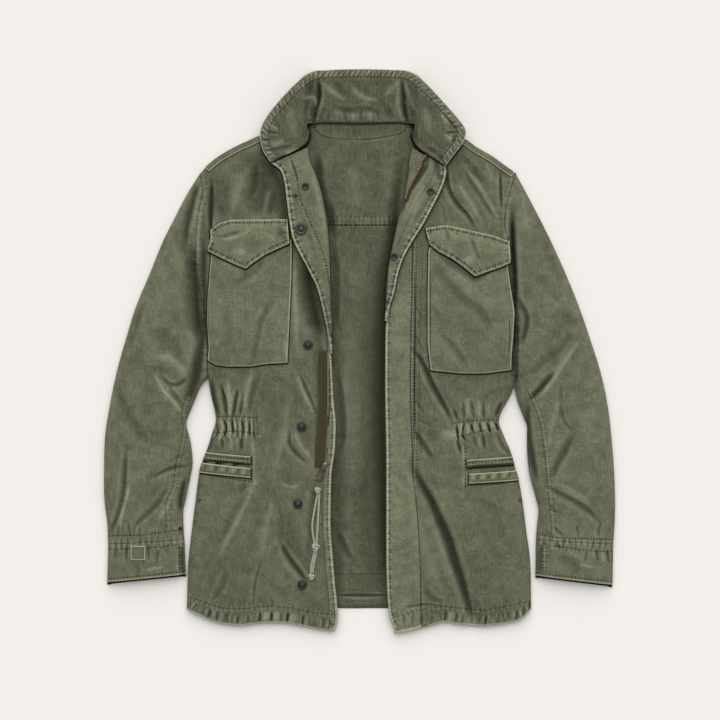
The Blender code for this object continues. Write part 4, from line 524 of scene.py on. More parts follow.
# Folds and pale ridges: width, depth (below zero for a pale ridge) and the line each follows.
# A fold's trough is painted shade, in places painted shadow of the pieces above; its shoulders and the pale
# ridges are painted highlight, the ridges also rubbing.
FOLD_LINES = {
    "upper": (
        (4, 1.4, -220, 256, -220, 226, -221, 176), (9, 0.5, -218, 262, -221, 219, -227, 166),
        (8, 1, -232, 178, -232, 136, -232, 76, -233, 24, -238, -16, -245, -66),
        (5, -0.3, -230, 234, -238, 182, -238, 122, -233, 46),
        (8, 0.8, -146, 284, -128, 268, -116, 242, -112, 204, -106, 166),
        (6, 0.7, -154, 284, -155, 250, -164, 226), (30, 0.75, -146, 279, -137, 242, -131, 202),
        (20, 0.4, -206, 262, -203, 226, -206, 200), (16, 0.4, -173, 286, -146, 282, -131, 268),
        (8, -0.3, -170, 268, -182, 234, -191, 206), (5, 0.2, -196, 256, -193, 204),
        (4, -0.35, -134, 242, -142, 202), (4, 0.4, -124, 244, -133, 202),
        (4.5, -0.4, -98, 140, -95, 76, -92, 2), (13, 1, -80, 134, -73, 92, -64, 50, -56, 20),
        (9, 0.6, -62, 32, -56, -21, -52, -74, -53, -148),
        (1.4, 1, -44, -2, -44, -74, -46, -108, -48, -148, -46, -178),
        (3, 0.7, -89, -34, -76, -62, -62, -96), (4, -0.3, -95, -32, -85, -58, -71, -86),
        (3.5, 0.7, -104, -118, -101, -142, -77, -168), (4, -0.45, -98, -118, -85, -144, -68, -166),
        (2.5, -0.4, -118, -196, -104, -202, -89, -200),
        (5, 1, -118, -284, -104, -308, -86, -332, -76, -346), (16, 0.3, -110, -238, -94, -284, -77, -310),
        (6, 0.45, -65, -194, -70, -254, -76, -314),
        (5, -0.4, -146, -178, -163, -212, -179, -246, -197, -284, -214, -316),
        (7, 0.4, -164, -206, -176, -230, -191, -254, -206, -284),
        (6, -0.25, -127, -224, -140, -268, -146, -314), (6, -0.25, -104, -74, -115, -134, -128, -186),
        (5, 0.45, -196, -326, -206, -356, -220, -374), (2.6, 0.5, -146, -314, -155, -346, -158, -380),
        (5, 0.25, -119, -224, -115, -268, -131, -314), (5, 0.9, -221, -40, -217, -70, -209, -98),
        (3.6, 1.1, -206, -50, -200, -74, -197, -99), (3.4, 1, -181, -56, -184, -76, -188, -99),
        (3, 0.8, -172, -62, -175, -80, -178, -98), (4, -0.7, -196, -44, -193, -74, -193, -99),
        (5, -0.4, -157, -28, -167, -58, -170, -92), (5, 0.35, -146, -32, -158, -62, -163, -92),
        (2.4, 1.3, -202, -102, -198, -116, -202, -129), (2.4, 1.3, -190, -102, -188, -116, -184, -129),
        (2.2, 1.3, -175, -102, -173, -117, -175, -130), (2.2, 1.2, -164, -104, -163, -129),
        (1.8, 1.1, -214, -104, -211, -120, -215, -130), (1.8, 1.1, -181, -106, -182, -120, -179, -132),
        (1.8, 1, -157, -104, -158, -118, -155, -134), (2, -1.3, -208, -99, -205, -116, -209, -134),
        (2, -1.3, -196, -99, -194, -116, -193, -132), (2, -1.3, -178, -99, -178, -116, -178, -132),
        (2, -1.2, -169, -99, -167, -116, -169, -134), (1.6, -1.1, -187, -100, -184, -116, -187, -130),
        (1.6, -1, -160, -100, -160, -130), (3, 0.8, -205, -129, -203, -146),
        (3.6, 1, -175, -129, -175, -147), (3.4, 0.5, -218, -130, -226, -152),
        (3, -0.4, -190, -130, -191, -148), (3.4, -0.5, -161, -130, -158, -152, -158, -202),
        (6, 0.5, -169, -200, -178, -212), (4, 1, 131, 278, 134, 244, 148, 219, 163, 202, 173, 182),
        (4, 0.6, 155, 274, 167, 254, 185, 226, 202, 198), (6, 0.4, 152, 292, 170, 274, 191, 248),
        (4, -0.4, 163, 268, 184, 242, 211, 190), (4, -0.35, 146, 250, 169, 218, 184, 188),
        (4, -0.3, 190, 280, 202, 250), (3, 0.3, 125, 219, 130, 188), (2.8, 1, 211, 268, 212, 214),
        (7.5, 1, 231, 220, 231, 136, 234, 76, 236, 32, 233, 2, 233, -32, 239, -62),
        (5.5, 1.45, 228, 218, 229, 166, 232, 106, 232, 46, 231, -16),
        (2.4, 0.9, 83, 134, 83, 32, 82, -74, 82, -160),
        (4.5, 1, 80, 2, 94, -15, 110, -50, 127, -81, 139, -105), (2.4, 0.5, 83, 26, 97, -2),
        (2.4, 0.4, 83, 70, 95, 46), (3, 0.5, 83, -70, 98, -94), (2.4, 0.4, 86, -100, 112, -114),
        (5, 0.8, 83, -118, 97, -140, 110, -160),
        (9, 1, 80, -170, 94, -198, 107, -219, 118, -243, 130, -268, 139, -294, 146, -318, 154, -344,
         161, -369, 169, -398),
        (5.5, 1, 86, -182, 95, -200, 109, -224, 119, -246, 130, -270, 139, -296, 146, -320, 154, -345,
         161, -370, 169, -398),
        (6, 0.6, 109, -224, 124, -260, 137, -298, 152, -344),
        (12, -0.25, 79, -224, 91, -268, 106, -314, 121, -358), (8, -0.5, 121, -122, 136, -124, 151, -130),
        (3, -0.5, 155, -140, 158, -178, 155, -202), (3, 0.8, 140, -82, 148, -104),
        (2.8, 0.7, 155, -76, 157, -102), (2.8, 0.7, 167, -74, 172, -102), (2.8, 0.8, 185, -76, 187, -102),
        (3.4, 0.9, 214, -74, 203, -99), (3, -0.5, 161, -70, 163, -100), (3, -0.5, 178, -70, 179, -100),
        (3, -0.4, 194, -76, 193, -100), (2.2, 1.3, 145, -110, 148, -134),
        (2.2, 1.3, 157, -108, 154, -124, 160, -134), (2.2, 1.3, 167, -108, 170, -122),
        (2.2, 1.3, 179, -106, 182, -122), (2.2, 1.3, 191, -106, 196, -122),
        (2.2, 1.3, 203, -105, 208, -120), (2, -1.3, 151, -106, 152, -129), (2, -1.3, 161, -106, 164, -126),
        (2, -1.3, 173, -105, 176, -123), (2, -1.3, 185, -105, 190, -122), (2, -1.3, 197, -104, 202, -120),
        (3, 1, 146, -130, 152, -152), (3.4, 0.9, 184, -123, 188, -146), (3, 0.6, 170, -124, 175, -142),
        (3.6, 0.6, 206, -122, 214, -140, 226, -154), (8, 0.2, 166, -218, 193, -230, 220, -242),
        (2.6, 0.7, 67, -382, 97, -378, 124, -380), (5, 0.4, 97, -350, 109, -368, 124, -374),
        (6, 0.9, -238, 254, -248, 224, -256, 189, -259, 154),
        (12, 1, -250, 166, -244, 106, -241, 54, -236, 9), (9, 0.4, -263, 206, -265, 166, -257, 134),
        (9, 0.9, -235, 9, -241, -26, -248, -51, -254, -76),
        (11, 0.35, -317, 20, -295, 27, -274, 8, -262, -20),
        (6, -0.35, -314, -10, -287, -8, -269, -22, -257, -38),
        (3, -0.7, -305, -33, -299, -46, -289, -62, -275, -78, -260, -98),
        (4, 0.8, -295, -36, -283, -48, -269, -48, -259, -39), (4, 0.5, -284, -52, -272, -68, -263, -80),
        (9, 0.45, -361, -56, -349, -86, -332, -112, -313, -140), (12, 0.2, -362, -32, -341, -20, -317, -26),
        (4.5, 0.8, -347, -142, -349, -182, -353, -224, -364, -254, -373, -273),
        (3, -0.6, -341, -200, -352, -236, -359, -270),
        (3.4, 0.65, -308, -188, -292, -178, -272, -172, -253, -171),
        (3, 0.35, -287, -166, -272, -158, -257, -152),
        (4.5, 0.6, -284, -200, -298, -224, -314, -242, -328, -255, -338, -270),
        (4, -0.4, -275, -212, -287, -234, -302, -255), (5, 1, -259, -190, -265, -216, -268, -242),
        (6, 0.35, -320, 76, -332, 39, -344, 2), (8, 0.3, 262, 226, 272, 189, 287, 144, 305, 92),
        (6, -0.25, 242, 242, 250, 182), (5.5, 0.9, 236, 82, 248, 56, 250, 40, 242, 8),
        (11, 0.3, 283, 44, 304, 56, 325, 40), (5, 0.35, 310, 32, 317, 14),
        (5, -0.55, 328, 14, 304, -20, 284, -50, 271, -70), (7, 0.4, 317, 22, 293, -2, 272, -20, 256, -38),
        (5, 1, 292, -30, 278, -48, 265, -62, 253, -74),
        (3.6, 0.5, 301, -50, 301, -86, 310, -110, 322, -118),
        (6, 0.7, 320, -124, 308, -148, 295, -171, 289, -190),
        (6, 0.9, 251, -76, 253, -118, 259, -160, 266, -194),
        (4.5, 0.65, 278, -201, 301, -213, 323, -224, 343, -238, 359, -256),
        (5, -0.3, 289, -196, 316, -208, 346, -226), (5, -0.3, 304, -64, 287, -111, 281, -148),
        (3, 0.5, 284, -228, 295, -242), (3, 0.6, 290, -262, 304, -274), (3, 0.5, 325, -260, 328, -278),
        (3, 0.6, 361, -254, 356, -278), (2.6, 0.6, -344, -256, -341, -278),
        (2.6, 0.6, -358, -260, -361, -278), (2.6, 0.5, -326, -260, -328, -276),
    ),
    "pocket": (
        (5, 0.4, -134, 72, -148, 34, -158, -16), (7, 0.35, -125, 80, -140, 52),
        (2.6, -0.6, -110, 20, -109, -10), (7, 0.4, -140, 134, -161, 114, -185, 98),
        (5, -0.3, -206, 134, -179, 118), (1.5, 0.9, -221, 124, -225, 84, -225, 24, -224, 4, -218, -12),
        (9, 0.2, -202, 62, -191, 32, -200, 2), (8, 0.4, 112, 130, 131, 105, 154, 80, 184, 56, 199, 26),
        (9, -0.25, 139, 134, 166, 92, 199, 68), (6, 0.45, 121, 26, 139, 9, 151, -6, 161, -22),
        (5, 0.3, 109, 70, 125, 44), (1.4, 0.8, 106, 142, 106, 76, 106, 16, 107, -16),
        (1.5, 0.8, 223, 50, 224, 16, 221, -8), (8, 0.5, 218, 134, 196, 124, 175, 108, 151, 118, 121, 140),
    ),
    "flap": (
        (3.6, 0.55, 166, 170, 172, 154, 179, 136), (3.6, 0.5, 130, 180, 134, 166),
        (8, -0.6, 161, 140, 167, 130), (7, -0.6, -175, 152, -175, 142),
        (3.4, 0.5, -208, 170, -194, 174, -179, 178), (2.6, -0.5, -206, 165, -179, 171, -161, 182),
        (6, 0.6, -118, 184, -109, 166), (4, -0.3, -146, 178, -125, 166),
    ),
    "lapel": (
        (3, 0.4, -83, 144, -71, 118), (3, -0.4, -85, 154, -89, 130),
        (4, -0.35, -74, 272, -64, 242, -55, 204, -49, 166), (4, 0.3, -86, 208, -74, 172, -62, 134),
        (2.4, 0.5, -101, 286, -95, 268, -91, 254), (3.4, -0.4, -109, 262, -103, 232, -98, 196),
        (4, 0.9, 103, 290, 100, 274, 89, 256, 77, 240, 68, 220, 62, 200),
        (5, 0.6, 113, 284, 118, 266, 122, 250), (5, -0.4, 97, 248, 88, 226, 76, 202),
        (4, 0.35, 107, 232, 97, 214, 82, 194), (4, 0.5, 43, 166, 41, 122, 40, 76),
    ),
    "collar": (
        (4.4, 1.3, -61, 410, -59, 384, -64, 362, -68, 340), (9, 0.5, -67, 404, -68, 376, -76, 346),
        (6, 0.6, -70, 400, -76, 386), (3, -0.6, -85, 375, -67, 380, -64, 364),
        (2.4, 0.8, -71, 366, -70, 344), (4, -0.4, -56, 404, -41, 390, -20, 375),
        (6, 0.35, -38, 406, -20, 388), (1.8, 1, -142, 334, -134, 327, -119, 324),
        (2.6, -0.6, -134, 336, -121, 330), (2.6, 0.6, -145, 316, -133, 315),
        (3.4, 0.6, -140, 298, -122, 302, -103, 306), (4, -0.45, -131, 306, -112, 314),
        (3.4, -0.5, -113, 294, -89, 300), (2.6, 0.5, -131, 286, -110, 290, -92, 294),
        (4.6, 1.2, 64, 408, 67, 382, 68, 362, 74, 340), (8, 0.5, 73, 400, 77, 376, 82, 344),
        (5, 0.5, -43, 370, -19, 362, 8, 364, 38, 357), (4, -0.4, -14, 400, 4, 382, 28, 376),
        (3, 0.5, -22, 358, -19, 345), (3, 0.5, 4, 362, 2, 345), (3, 0.5, 28, 358, 31, 345),
        (3, 0.5, -44, 358, -47, 345), (2.6, -0.4, -10, 358, -8, 345), (2.6, -0.4, 16, 360, 17, 345),
        (4, -0.45, 68, 404, 76, 380, 83, 357), (4, -0.35, 61, 405, 49, 393, 37, 382),
        (6, 0.4, 40, 370, 50, 350), (4, 0.35, 82, 398, 88, 374), (1.8, 1, 127, 325, 149, 327),
        (5, 0.6, 130, 345, 145, 332), (2.2, -0.7, 121, 351, 136, 336), (3, -0.6, 127, 321, 140, 314),
        (3, 0.7, 143, 321, 139, 310), (4, 0.6, 103, 303, 116, 297), (4, 0.6, 118, 291, 128, 282),
        (5, 0.5, 82, 332, 85, 314), (6, -0.3, 98, 362, 106, 324), (9, -0.25, -104, 362, -95, 328),
    ),
    "back": (
        (1.6, -0.35, -62, 327, -41, 321, -14, 317, 16, 316, 43, 320, 65, 327),
        (11, 1, 64, 302, 58, 242, 50, 166, 40, 76, 34, -74, 37, -224, 40, -382),
        (26, 0.6, 49, 196, 31, 76, 22, -74, 25, -224, 28, -382),
        (10, 0.9, -62, 302, -56, 234, -43, 204, -37, 166), (7, 0.6, -40, 166, -34, 122, -34, 32),
        (6, 0.7, -32, -28, -26, -74, -23, -118, -26, -152), (6, 0.6, -34, -266, -22, -291, -10, -316),
        (16, 0.4, -37, 32, -32, -104, -32, -254, -32, -382),
        (8, 0.25, -71, 336, -22, 336, 31, 336, 73, 336), (2.6, 0.9, -32, -365, 1, -365, 40, -365),
        (14, -0.2, -11, 279, -2, 212), (20, -0.2, -7, 46, -2, -194),
    ),
    "cuff": (
        (3, 0.6, -362, -285, -364, -308), (3, 0.6, -347, -285, -347, -314), (3, 0.6, -314, -285, -314, -310),
        (3, 0.5, -299, -296, -302, -316), (2.4, -0.5, -320, -327, -305, -324, -290, -322),
        (5, 0.3, -332, -316, -329, -340), (4, 0.8, -265, -291, -263, -340), (5, 0.7, 271, -291, 269, -334),
        (3.4, 0.8, 292, -284, 301, -294), (3, 0.6, 340, -297, 337, -316), (3, 0.7, 355, -296, 356, -314),
        (3, 0.7, 370, -296, 373, -316), (8, 0.4, 295, -308, 319, -314, 328, -332),
        (2.6, -0.5, 328, -318, 349, -322), (3, -0.4, 362, -297, 364, -316),
    ),
}
# Rows of puckers: their pitch, reach to each side, width and depth, a seed and any lean.
ARMHOLE_PUCKERS = (8.5, 7.0, 2.6, 0.16, 43)
FREE_EDGE_PUCKERS = (7.0, 4.0, 1.9, 0.5, 47)
HEM_EDGE_PUCKERS = (5.8, 7.5, 1.9, 0.38, 41)
LAPEL_PUCKERS = (6.0, 5.5, 1.9, 0.75, 53)
COLLAR_RIBS = (3.9, 5.5, 1.5, 0.6, 59, 0.7)
CUFF_PUCKERS = (4.6, 8.5, 1.8, 0.5, 61)
FLAP_PUCKERS = (5.4, 5.0, 1.9, 0.35, 67)
# Puckers of the front hems: place across, strength.
HEM_TICKS = table("x depth", (-226, 0.7), (-214, 0.6), (-200, 0.35), (-184, 0.8), (-169, 0.35), (-151, 1),
    (-142, -0.7), (-133, 1), (-125, -0.7), (-118, 0.5), (-109, 1), (-100, -0.6), (-86, 0.9), (-70, 0.35),
    (-56, 0.5), (-46, 0.7), (65, 0.4), (77, 0.4), (91, 0.5), (106, 0.35), (127, 1), (134, -0.4), (143, 0.6),
    (152, 0.5), (187, 0.9), (194, 0.6), (206, 0.6), (220, 0.6), (233, 0.7), (244, 0.6), (253, 0.6))


# ---------------------------------------------------------------- lines in plan

def smooth_line(points, step):
    """Points about a step apart along a smooth curve through the given points."""
    p = np.array(points, float)
    ghosts = np.vstack([2 * p[0] - p[1], p, 2 * p[-1] - p[-2]])
    t = np.linspace(0, 1, 13)[:-1, None]
    spans = []
    for a, b, c, d in zip(ghosts, ghosts[1:], ghosts[2:], ghosts[3:]):
        linear = 2 * b + (c - a) * t
        curved = (2 * a - 5 * b + 4 * c - d) * t ** 2 + (3 * b - a - 3 * c + d) * t ** 3
        spans.append(0.5 * (linear + curved))
    return resample(np.vstack(spans + [p[-1:]]), step)


def resample(line, step):
    """The line with its points spaced evenly, about a step apart in plan."""
    run = run_along(line)
    at = np.linspace(0, run[-1], max(1, round(run[-1] / step)) + 1)
    return np.column_stack([np.interp(at, run, column) for column in line.T])


def run_along(line):
    return np.concatenate([[0], np.cumsum(np.hypot(*np.diff(line[:, :2], axis=0).T))])


def columns(rows, x, y, sign=1.0):
    """Two columns of a table as points, mirrored for the wearer's right."""
    return np.column_stack([sign * rows[x], rows[y]])


def side_line(rows, side, step=EDGE_STEP):
    return smooth_line(columns(rows, side, "y", SIGN[side]), step)


def shoulder_line(side, step=EDGE_STEP):
    return smooth_line(columns(SHOULDER, side + "_x", side + "_y", SIGN[side]), step)


def cuff_corner(side, index):
    return np.array([SIGN[side] * CUFF[side + "_x"][index], CUFF[side + "_y"][index]])


def straight(*ends, step=EDGE_STEP):
    return resample(np.array(ends, float), step)


def front_hem(side, step=EDGE_STEP):
    return smooth_line(columns(FRONT_HEM[side], "x", "y", SIGN[side]), step)


def front_edge(side, column, step=EDGE_STEP):
    return smooth_line(columns(FRONT_EDGE[side], column, "y", SIGN[side]), step)


def unit(vectors):
    """Vectors of length one, along the last axis."""
    return vectors / np.linalg.norm(vectors, axis=-1)[..., None]


def run_in_space(line):
    return np.concatenate([[0], np.cumsum(np.linalg.norm(np.diff(line, axis=0), axis=1))])


def ringed(loop):
    """An outline with its first point again at the end."""
    return np.vstack([loop, loop[:1]])


def closed(*lines):
    """One closed outline from lines that follow each other, anticlockwise, without doubles."""
    points = [tuple(p) for line in lines for p in line]
    loop = np.array([p for p, q in zip(points, points[-1:] + points[:-1]) if math.dist(p, q) > 0.4])
    x, y = loop.T
    area = np.dot(x, np.roll(y, -1)) - np.dot(y, np.roll(x, -1))
    return loop if area > 0 else loop[::-1]


def offset(line, amount, is_closed=False):
    """The line moved to its left by the amount: inwards, for a closed outline."""
    if is_closed:
        ahead = unit(np.roll(line, -1, axis=0) - line)
        behind = np.roll(ahead, 1, axis=0)
    else:
        steps = unit(np.diff(line, axis=0))
        ahead = np.vstack([steps, steps[-1:]])
        behind = np.vstack([steps[:1], steps])
    inner = unit(np.column_stack([-ahead[:, 1] - behind[:, 1], ahead[:, 0] + behind[:, 0]]))
    cosine = inner[:, 0] * -ahead[:, 1] + inner[:, 1] * ahead[:, 0]
    return line + inner * (amount / np.clip(cosine, 0.25, 1.0))[:, None]


def point_tree(points):
    tree = KDTree(len(points))
    for index, (x, y) in enumerate(points):
        tree.insert((x, y, 0.0), index)
    tree.balance()
    return tree


class Track:
    """Lines in plan, kept so that many points can be measured against them quickly."""

    def __init__(self, *lines):
        self.start = np.vstack([line[:-1] for line in lines])
        self.step = np.vstack([np.diff(line, axis=0) for line in lines])
        self.run = np.concatenate([run_along(line)[:-1] for line in lines])
        self.length = np.linalg.norm(self.step, axis=1)
        self.tree = point_tree(self.start + self.step / 2)
        self.low = self.start.min(axis=0)
        self.high = (self.start + self.step).max(axis=0)

    def measure(self, points):
        """Distance from the lines, above zero on their left, the run along them and the way out."""
        pick = np.array([self.tree.find((x, y, 0.0))[1] for x, y in points], int)
        best = np.full(len(points), 1e9)
        side, run, away = np.ones(len(points)), np.zeros(len(points)), np.zeros((len(points), 2))
        for shift in (-1, 0, 1):
            index = np.clip(pick + shift, 0, len(self.start) - 1)
            start, step, length = self.start[index], self.step[index], self.length[index]
            gap = points - start
            t = np.clip((gap * step).sum(axis=1) / length ** 2, 0, 1)
            off = gap - step * t[:, None]
            distance = np.linalg.norm(off, axis=1)
            better = distance < best
            best[better] = distance[better]
            away[better] = off[better]
            side[better] = np.where(step[:, 0] * gap[:, 1] < step[:, 1] * gap[:, 0], -1, 1)[better]
            run[better] = (self.run[index] + t * length)[better]
        return best * side, run, away / np.maximum(best, 1e-9)[:, None]

    def near(self, points, reach):
        return ((points > self.low - reach) & (points < self.high + reach)).all(axis=1)

    def gap(self, points):
        return np.abs(self.measure(points)[0]) if len(points) else np.zeros(0)


def inside(points, loop):
    """True for the points within the outline."""
    result = np.zeros(len(points), bool)
    x1, y1 = loop.T
    x2, y2 = np.roll(loop, -1, axis=0).T
    for first in range(0, len(points), POINTS_AT_ONCE):
        part = slice(first, first + POINTS_AT_ONCE)
        x, y = points[part, :1], points[part, 1:]
        spans = (y1 > y) != (y2 > y)
        crossing = x1 + (y - y1) * (x2 - x1) / np.where(y2 == y1, 1e-9, y2 - y1)
        result[part] = (spans & (x < crossing)).sum(axis=1) % 2 == 1
    return result


# ---------------------------------------------------------------- the cloth's surfaces

def edge_lines():
    """Every seam where the upper cloth meets the under cloth."""
    lines = []
    for side in SIGN:
        lines += [side_line(rows, side) for rows in (BODY_SIDE, SLEEVE_OUTER, SLEEVE_INNER)]
        lines += [shoulder_line(side), straight(cuff_corner(side, 0), cuff_corner(side, 1)),
                  straight(cuff_corner(side, 2), cuff_corner(side, 3))]
    return lines


EDGES = Track(*edge_lines())
HEM_LINES = {side: front_hem(side, 10.0) for side in SIGN}


def edge_way(points):
    """The direction away from the edge seams, turning smoothly round their corners."""
    start, along = EDGES.start[::3], EDGES.step[::3]
    gap = points[:, None] - start
    away = gap - along / 2
    distance = np.linalg.norm(away, axis=2)
    pull = 1.0 / (distance * (distance + FIELD_TURN) ** 4 + 1e-9)
    return unit((away * pull[:, :, None]).sum(axis=1))


def quarter_round(q):
    return np.sqrt(1 - (1 - np.clip(q, 0, 1)) ** 2)


def soft_step(value):
    t = np.clip(value, 0, 1)
    return t * t * (3 - 2 * t)


def bell(value):
    return np.exp(-value ** 2)


def wander(run, seed):
    """A smooth, uneven line between -1 and 1 along a run in millimetres."""
    return sum(share * np.sin(rate * run + seed * (k + 1.7) * 2.3)
               for k, (rate, share) in enumerate(WANDER_WAVES))


def loft(xy):
    body = np.interp(xy[:, 1], LOFT["y"], LOFT["body"])
    sleeve = np.interp(xy[:, 1], LOFT["y"], LOFT["sleeve"])
    return body + (sleeve - body) * soft_step((np.abs(xy[:, 0]) - ARM_SIDE) / ARM_BLEND)


def folds(xy):
    total = np.zeros(len(xy))
    for x1, y1, x2, y2, width, depth in zip(*FOLDS.values()):
        gap = xy - (x1, y1)
        along = np.array([x2 - x1, y2 - y1])
        t = np.clip((gap @ along) / (along @ along), 0, 1)
        total -= depth * bell(np.linalg.norm(gap - t[:, None] * along, axis=1) / width)
    return np.where(total < 0, FOLD_DEEPEST * np.tanh(total / FOLD_DEEPEST), total)


def waist_gathers(xy):
    total = np.zeros(len(xy))
    for x_in, y_in, x_out, y_out in zip(*WAIST.values()):
        t = (xy[:, 0] - x_in) / (x_out - x_in)
        middle = y_in + (y_out - y_in) * t
        within = soft_step(t * 8) * soft_step((1.08 - t) * 8)
        reach = soft_step(1.25 - np.abs(xy[:, 1] - middle) / WAIST_REACH)
        total += WAIST_DEPTH * np.cos(math.tau * (xy[:, 0] - x_in) / WAIST_WAVE) * within * reach
    return total


def hem_puckers(xy):
    side = np.where(xy[:, 0] < 0, -1.0, 1.0)
    edge = np.zeros(len(xy))
    for name, hem in HEM_LINES.items():
        order = hem[:, 0].argsort()
        edge = np.where(side == SIGN[name], np.interp(xy[:, 0], hem[order, 0], hem[order, 1]), edge)
    band = soft_step(1.2 - (xy[:, 1] - edge) / HEM_BAND)
    depth = np.interp(xy[:, 0], HEM_PUCKERS["x"], HEM_PUCKERS["depth"])
    in_body = np.abs(xy[:, 0]) < HEM_END
    return HEM_DEPTH * depth * np.cos(math.tau * xy[:, 0] / HEM_WAVE) * band * in_body


def top_height(xy):
    rise = quarter_round((EDGES.gap(xy) - FIELD_SKIN) / TOP_ROUNDING)
    relief = folds(xy) + waist_gathers(xy) + hem_puckers(xy)
    return SEAM_HEIGHT + SEAM_GAP / 2 + (loft(xy) - SEAM_HEIGHT + relief) * rise


def slope_normal(height, xy, reach=0.8):
    """Unit normal of a height function."""
    dx, dy = np.array([reach, 0.0]), np.array([0.0, reach])
    slope_x = (height(xy + dx) - height(xy - dx)) / (2 * reach)
    slope_y = (height(xy + dy) - height(xy - dy)) / (2 * reach)
    return unit(np.column_stack([-slope_x, -slope_y, np.ones(len(xy))]))


def top_surface(xy):
    """Points of the upper cloth's outer face, and the direction out of it."""
    normal = slope_normal(top_height, xy)
    at_seam = EDGES.gap(xy) < 1.0
    if at_seam.any():
        inward = edge_way(xy[at_seam])
        normal[at_seam] = np.column_stack([-inward, np.zeros(len(inward))])
    return np.column_stack([xy, top_height(xy)]), normal


def under_surface(xy):
    """Points of the under cloth's outer face, which rests on the table, and the way inwards."""
    distance, _, away = EDGES.measure(xy)
    q = np.clip((np.abs(distance) - FIELD_SKIN) / UNDER_ROUNDING, 0, 1)
    rise = quarter_round(q)
    turned_up = q < 1
    if turned_up.any():
        away[turned_up] = edge_way(xy[turned_up])
    height = (SEAM_HEIGHT - SEAM_GAP / 2) * (1 - rise)
    return np.column_stack([xy, height]), unit(np.column_stack([away * (1 - q)[:, None], rise]))


def collar_height(xy):
    spread = np.abs(xy[:, 0] - NECK_CENTRE) - COLLAR_REST
    wing = soft_step(spread / COLLAR_RISE_RUN)
    droop = soft_step((np.abs(xy[:, 0]) - COLLAR_TIP) / COLLAR_TIP_RUN) * COLLAR_DROOP
    crease = COLLAR_CREASE * bell((spread - CREASE_PLACE) / CREASE_WIDTH)
    return COLLAR_CLOTH + COLLAR_LIFT * wing - droop + crease * wing


def collar_surface(xy):
    return np.column_stack([xy, collar_height(xy)]), slope_normal(collar_height, xy)


def back_inside(xy):
    up = np.tile((0.0, 0.0, 1.0), (len(xy), 1))
    return np.column_stack([xy, np.full(len(xy), CLOTH)]), up


# ---------------------------------------------------------------- relief of the cloth

def lattice(xy, size, seed):
    """Smooth noise between -1 and 1, its blotches about the size given."""
    values = np.random.default_rng(seed).uniform(-1, 1, (LATTICE_CELLS, LATTICE_CELLS))
    place = xy / size + LATTICE_CORNER
    cell = np.floor(place).astype(int)
    t = soft_step(place - cell)
    i, j = cell.T % LATTICE_CELLS
    k, m = (i + 1) % LATTICE_CELLS, (j + 1) % LATTICE_CELLS
    near = values[i, j] * (1 - t[:, 0]) + values[k, j] * t[:, 0]
    far = values[i, m] * (1 - t[:, 0]) + values[k, m] * t[:, 0]
    return near * (1 - t[:, 1]) + far * t[:, 1]


def crumple(xy, seed=3):
    """Soft unevenness of washed cotton: height between about -1 and 1."""
    bend = np.column_stack([lattice(xy, BEND_SIZE, seed + k) for k in (0, 1)]) * BEND_REACH
    places = ((xy + bend) * CRUMPLE_STRETCH, xy + bend, xy)
    return sum(share * lattice(place, size, seed + 2 + k)
               for k, (place, (share, size)) in enumerate(zip(places, CRUMPLES)))


def beside_seam(distance, run, look, seed):
    """Height beside a seam: the needle's rut, the doubled cloth on its left and its puckers."""
    band = look["band"]
    nearest = np.minimum(np.abs(distance), np.abs(distance - band))
    raised = (soft_step((distance + BAND_RISE / 2) / BAND_RISE)
              * soft_step((band + RUT_WIDTH - distance) / BAND_RISE))
    puckers = np.sin(math.pi * run / look["wave"] + 1.6 * wander(run, seed))
    return (look["height"] * raised - look["sink"] * bell(nearest / RUT_WIDTH)
            + look["pucker"] * puckers * bell(nearest / (look["reach"] * 1.3 + 1.0)))


def blank_marks(count):
    """What the finishes read at each point of a cloth: nothing yet. The shade mark is painted shade and
    shadow, the pale mark is rubbing and painted highlight, and cover drives the painted shadow of the pieces
    on top.
    """
    plain = {name: np.zeros(count) for name in ("shade", "wear_and_highlight", "rim", "cover")}
    return plain | {"seam": np.zeros((count, 3)), "seam_look": np.zeros((count, 3))}


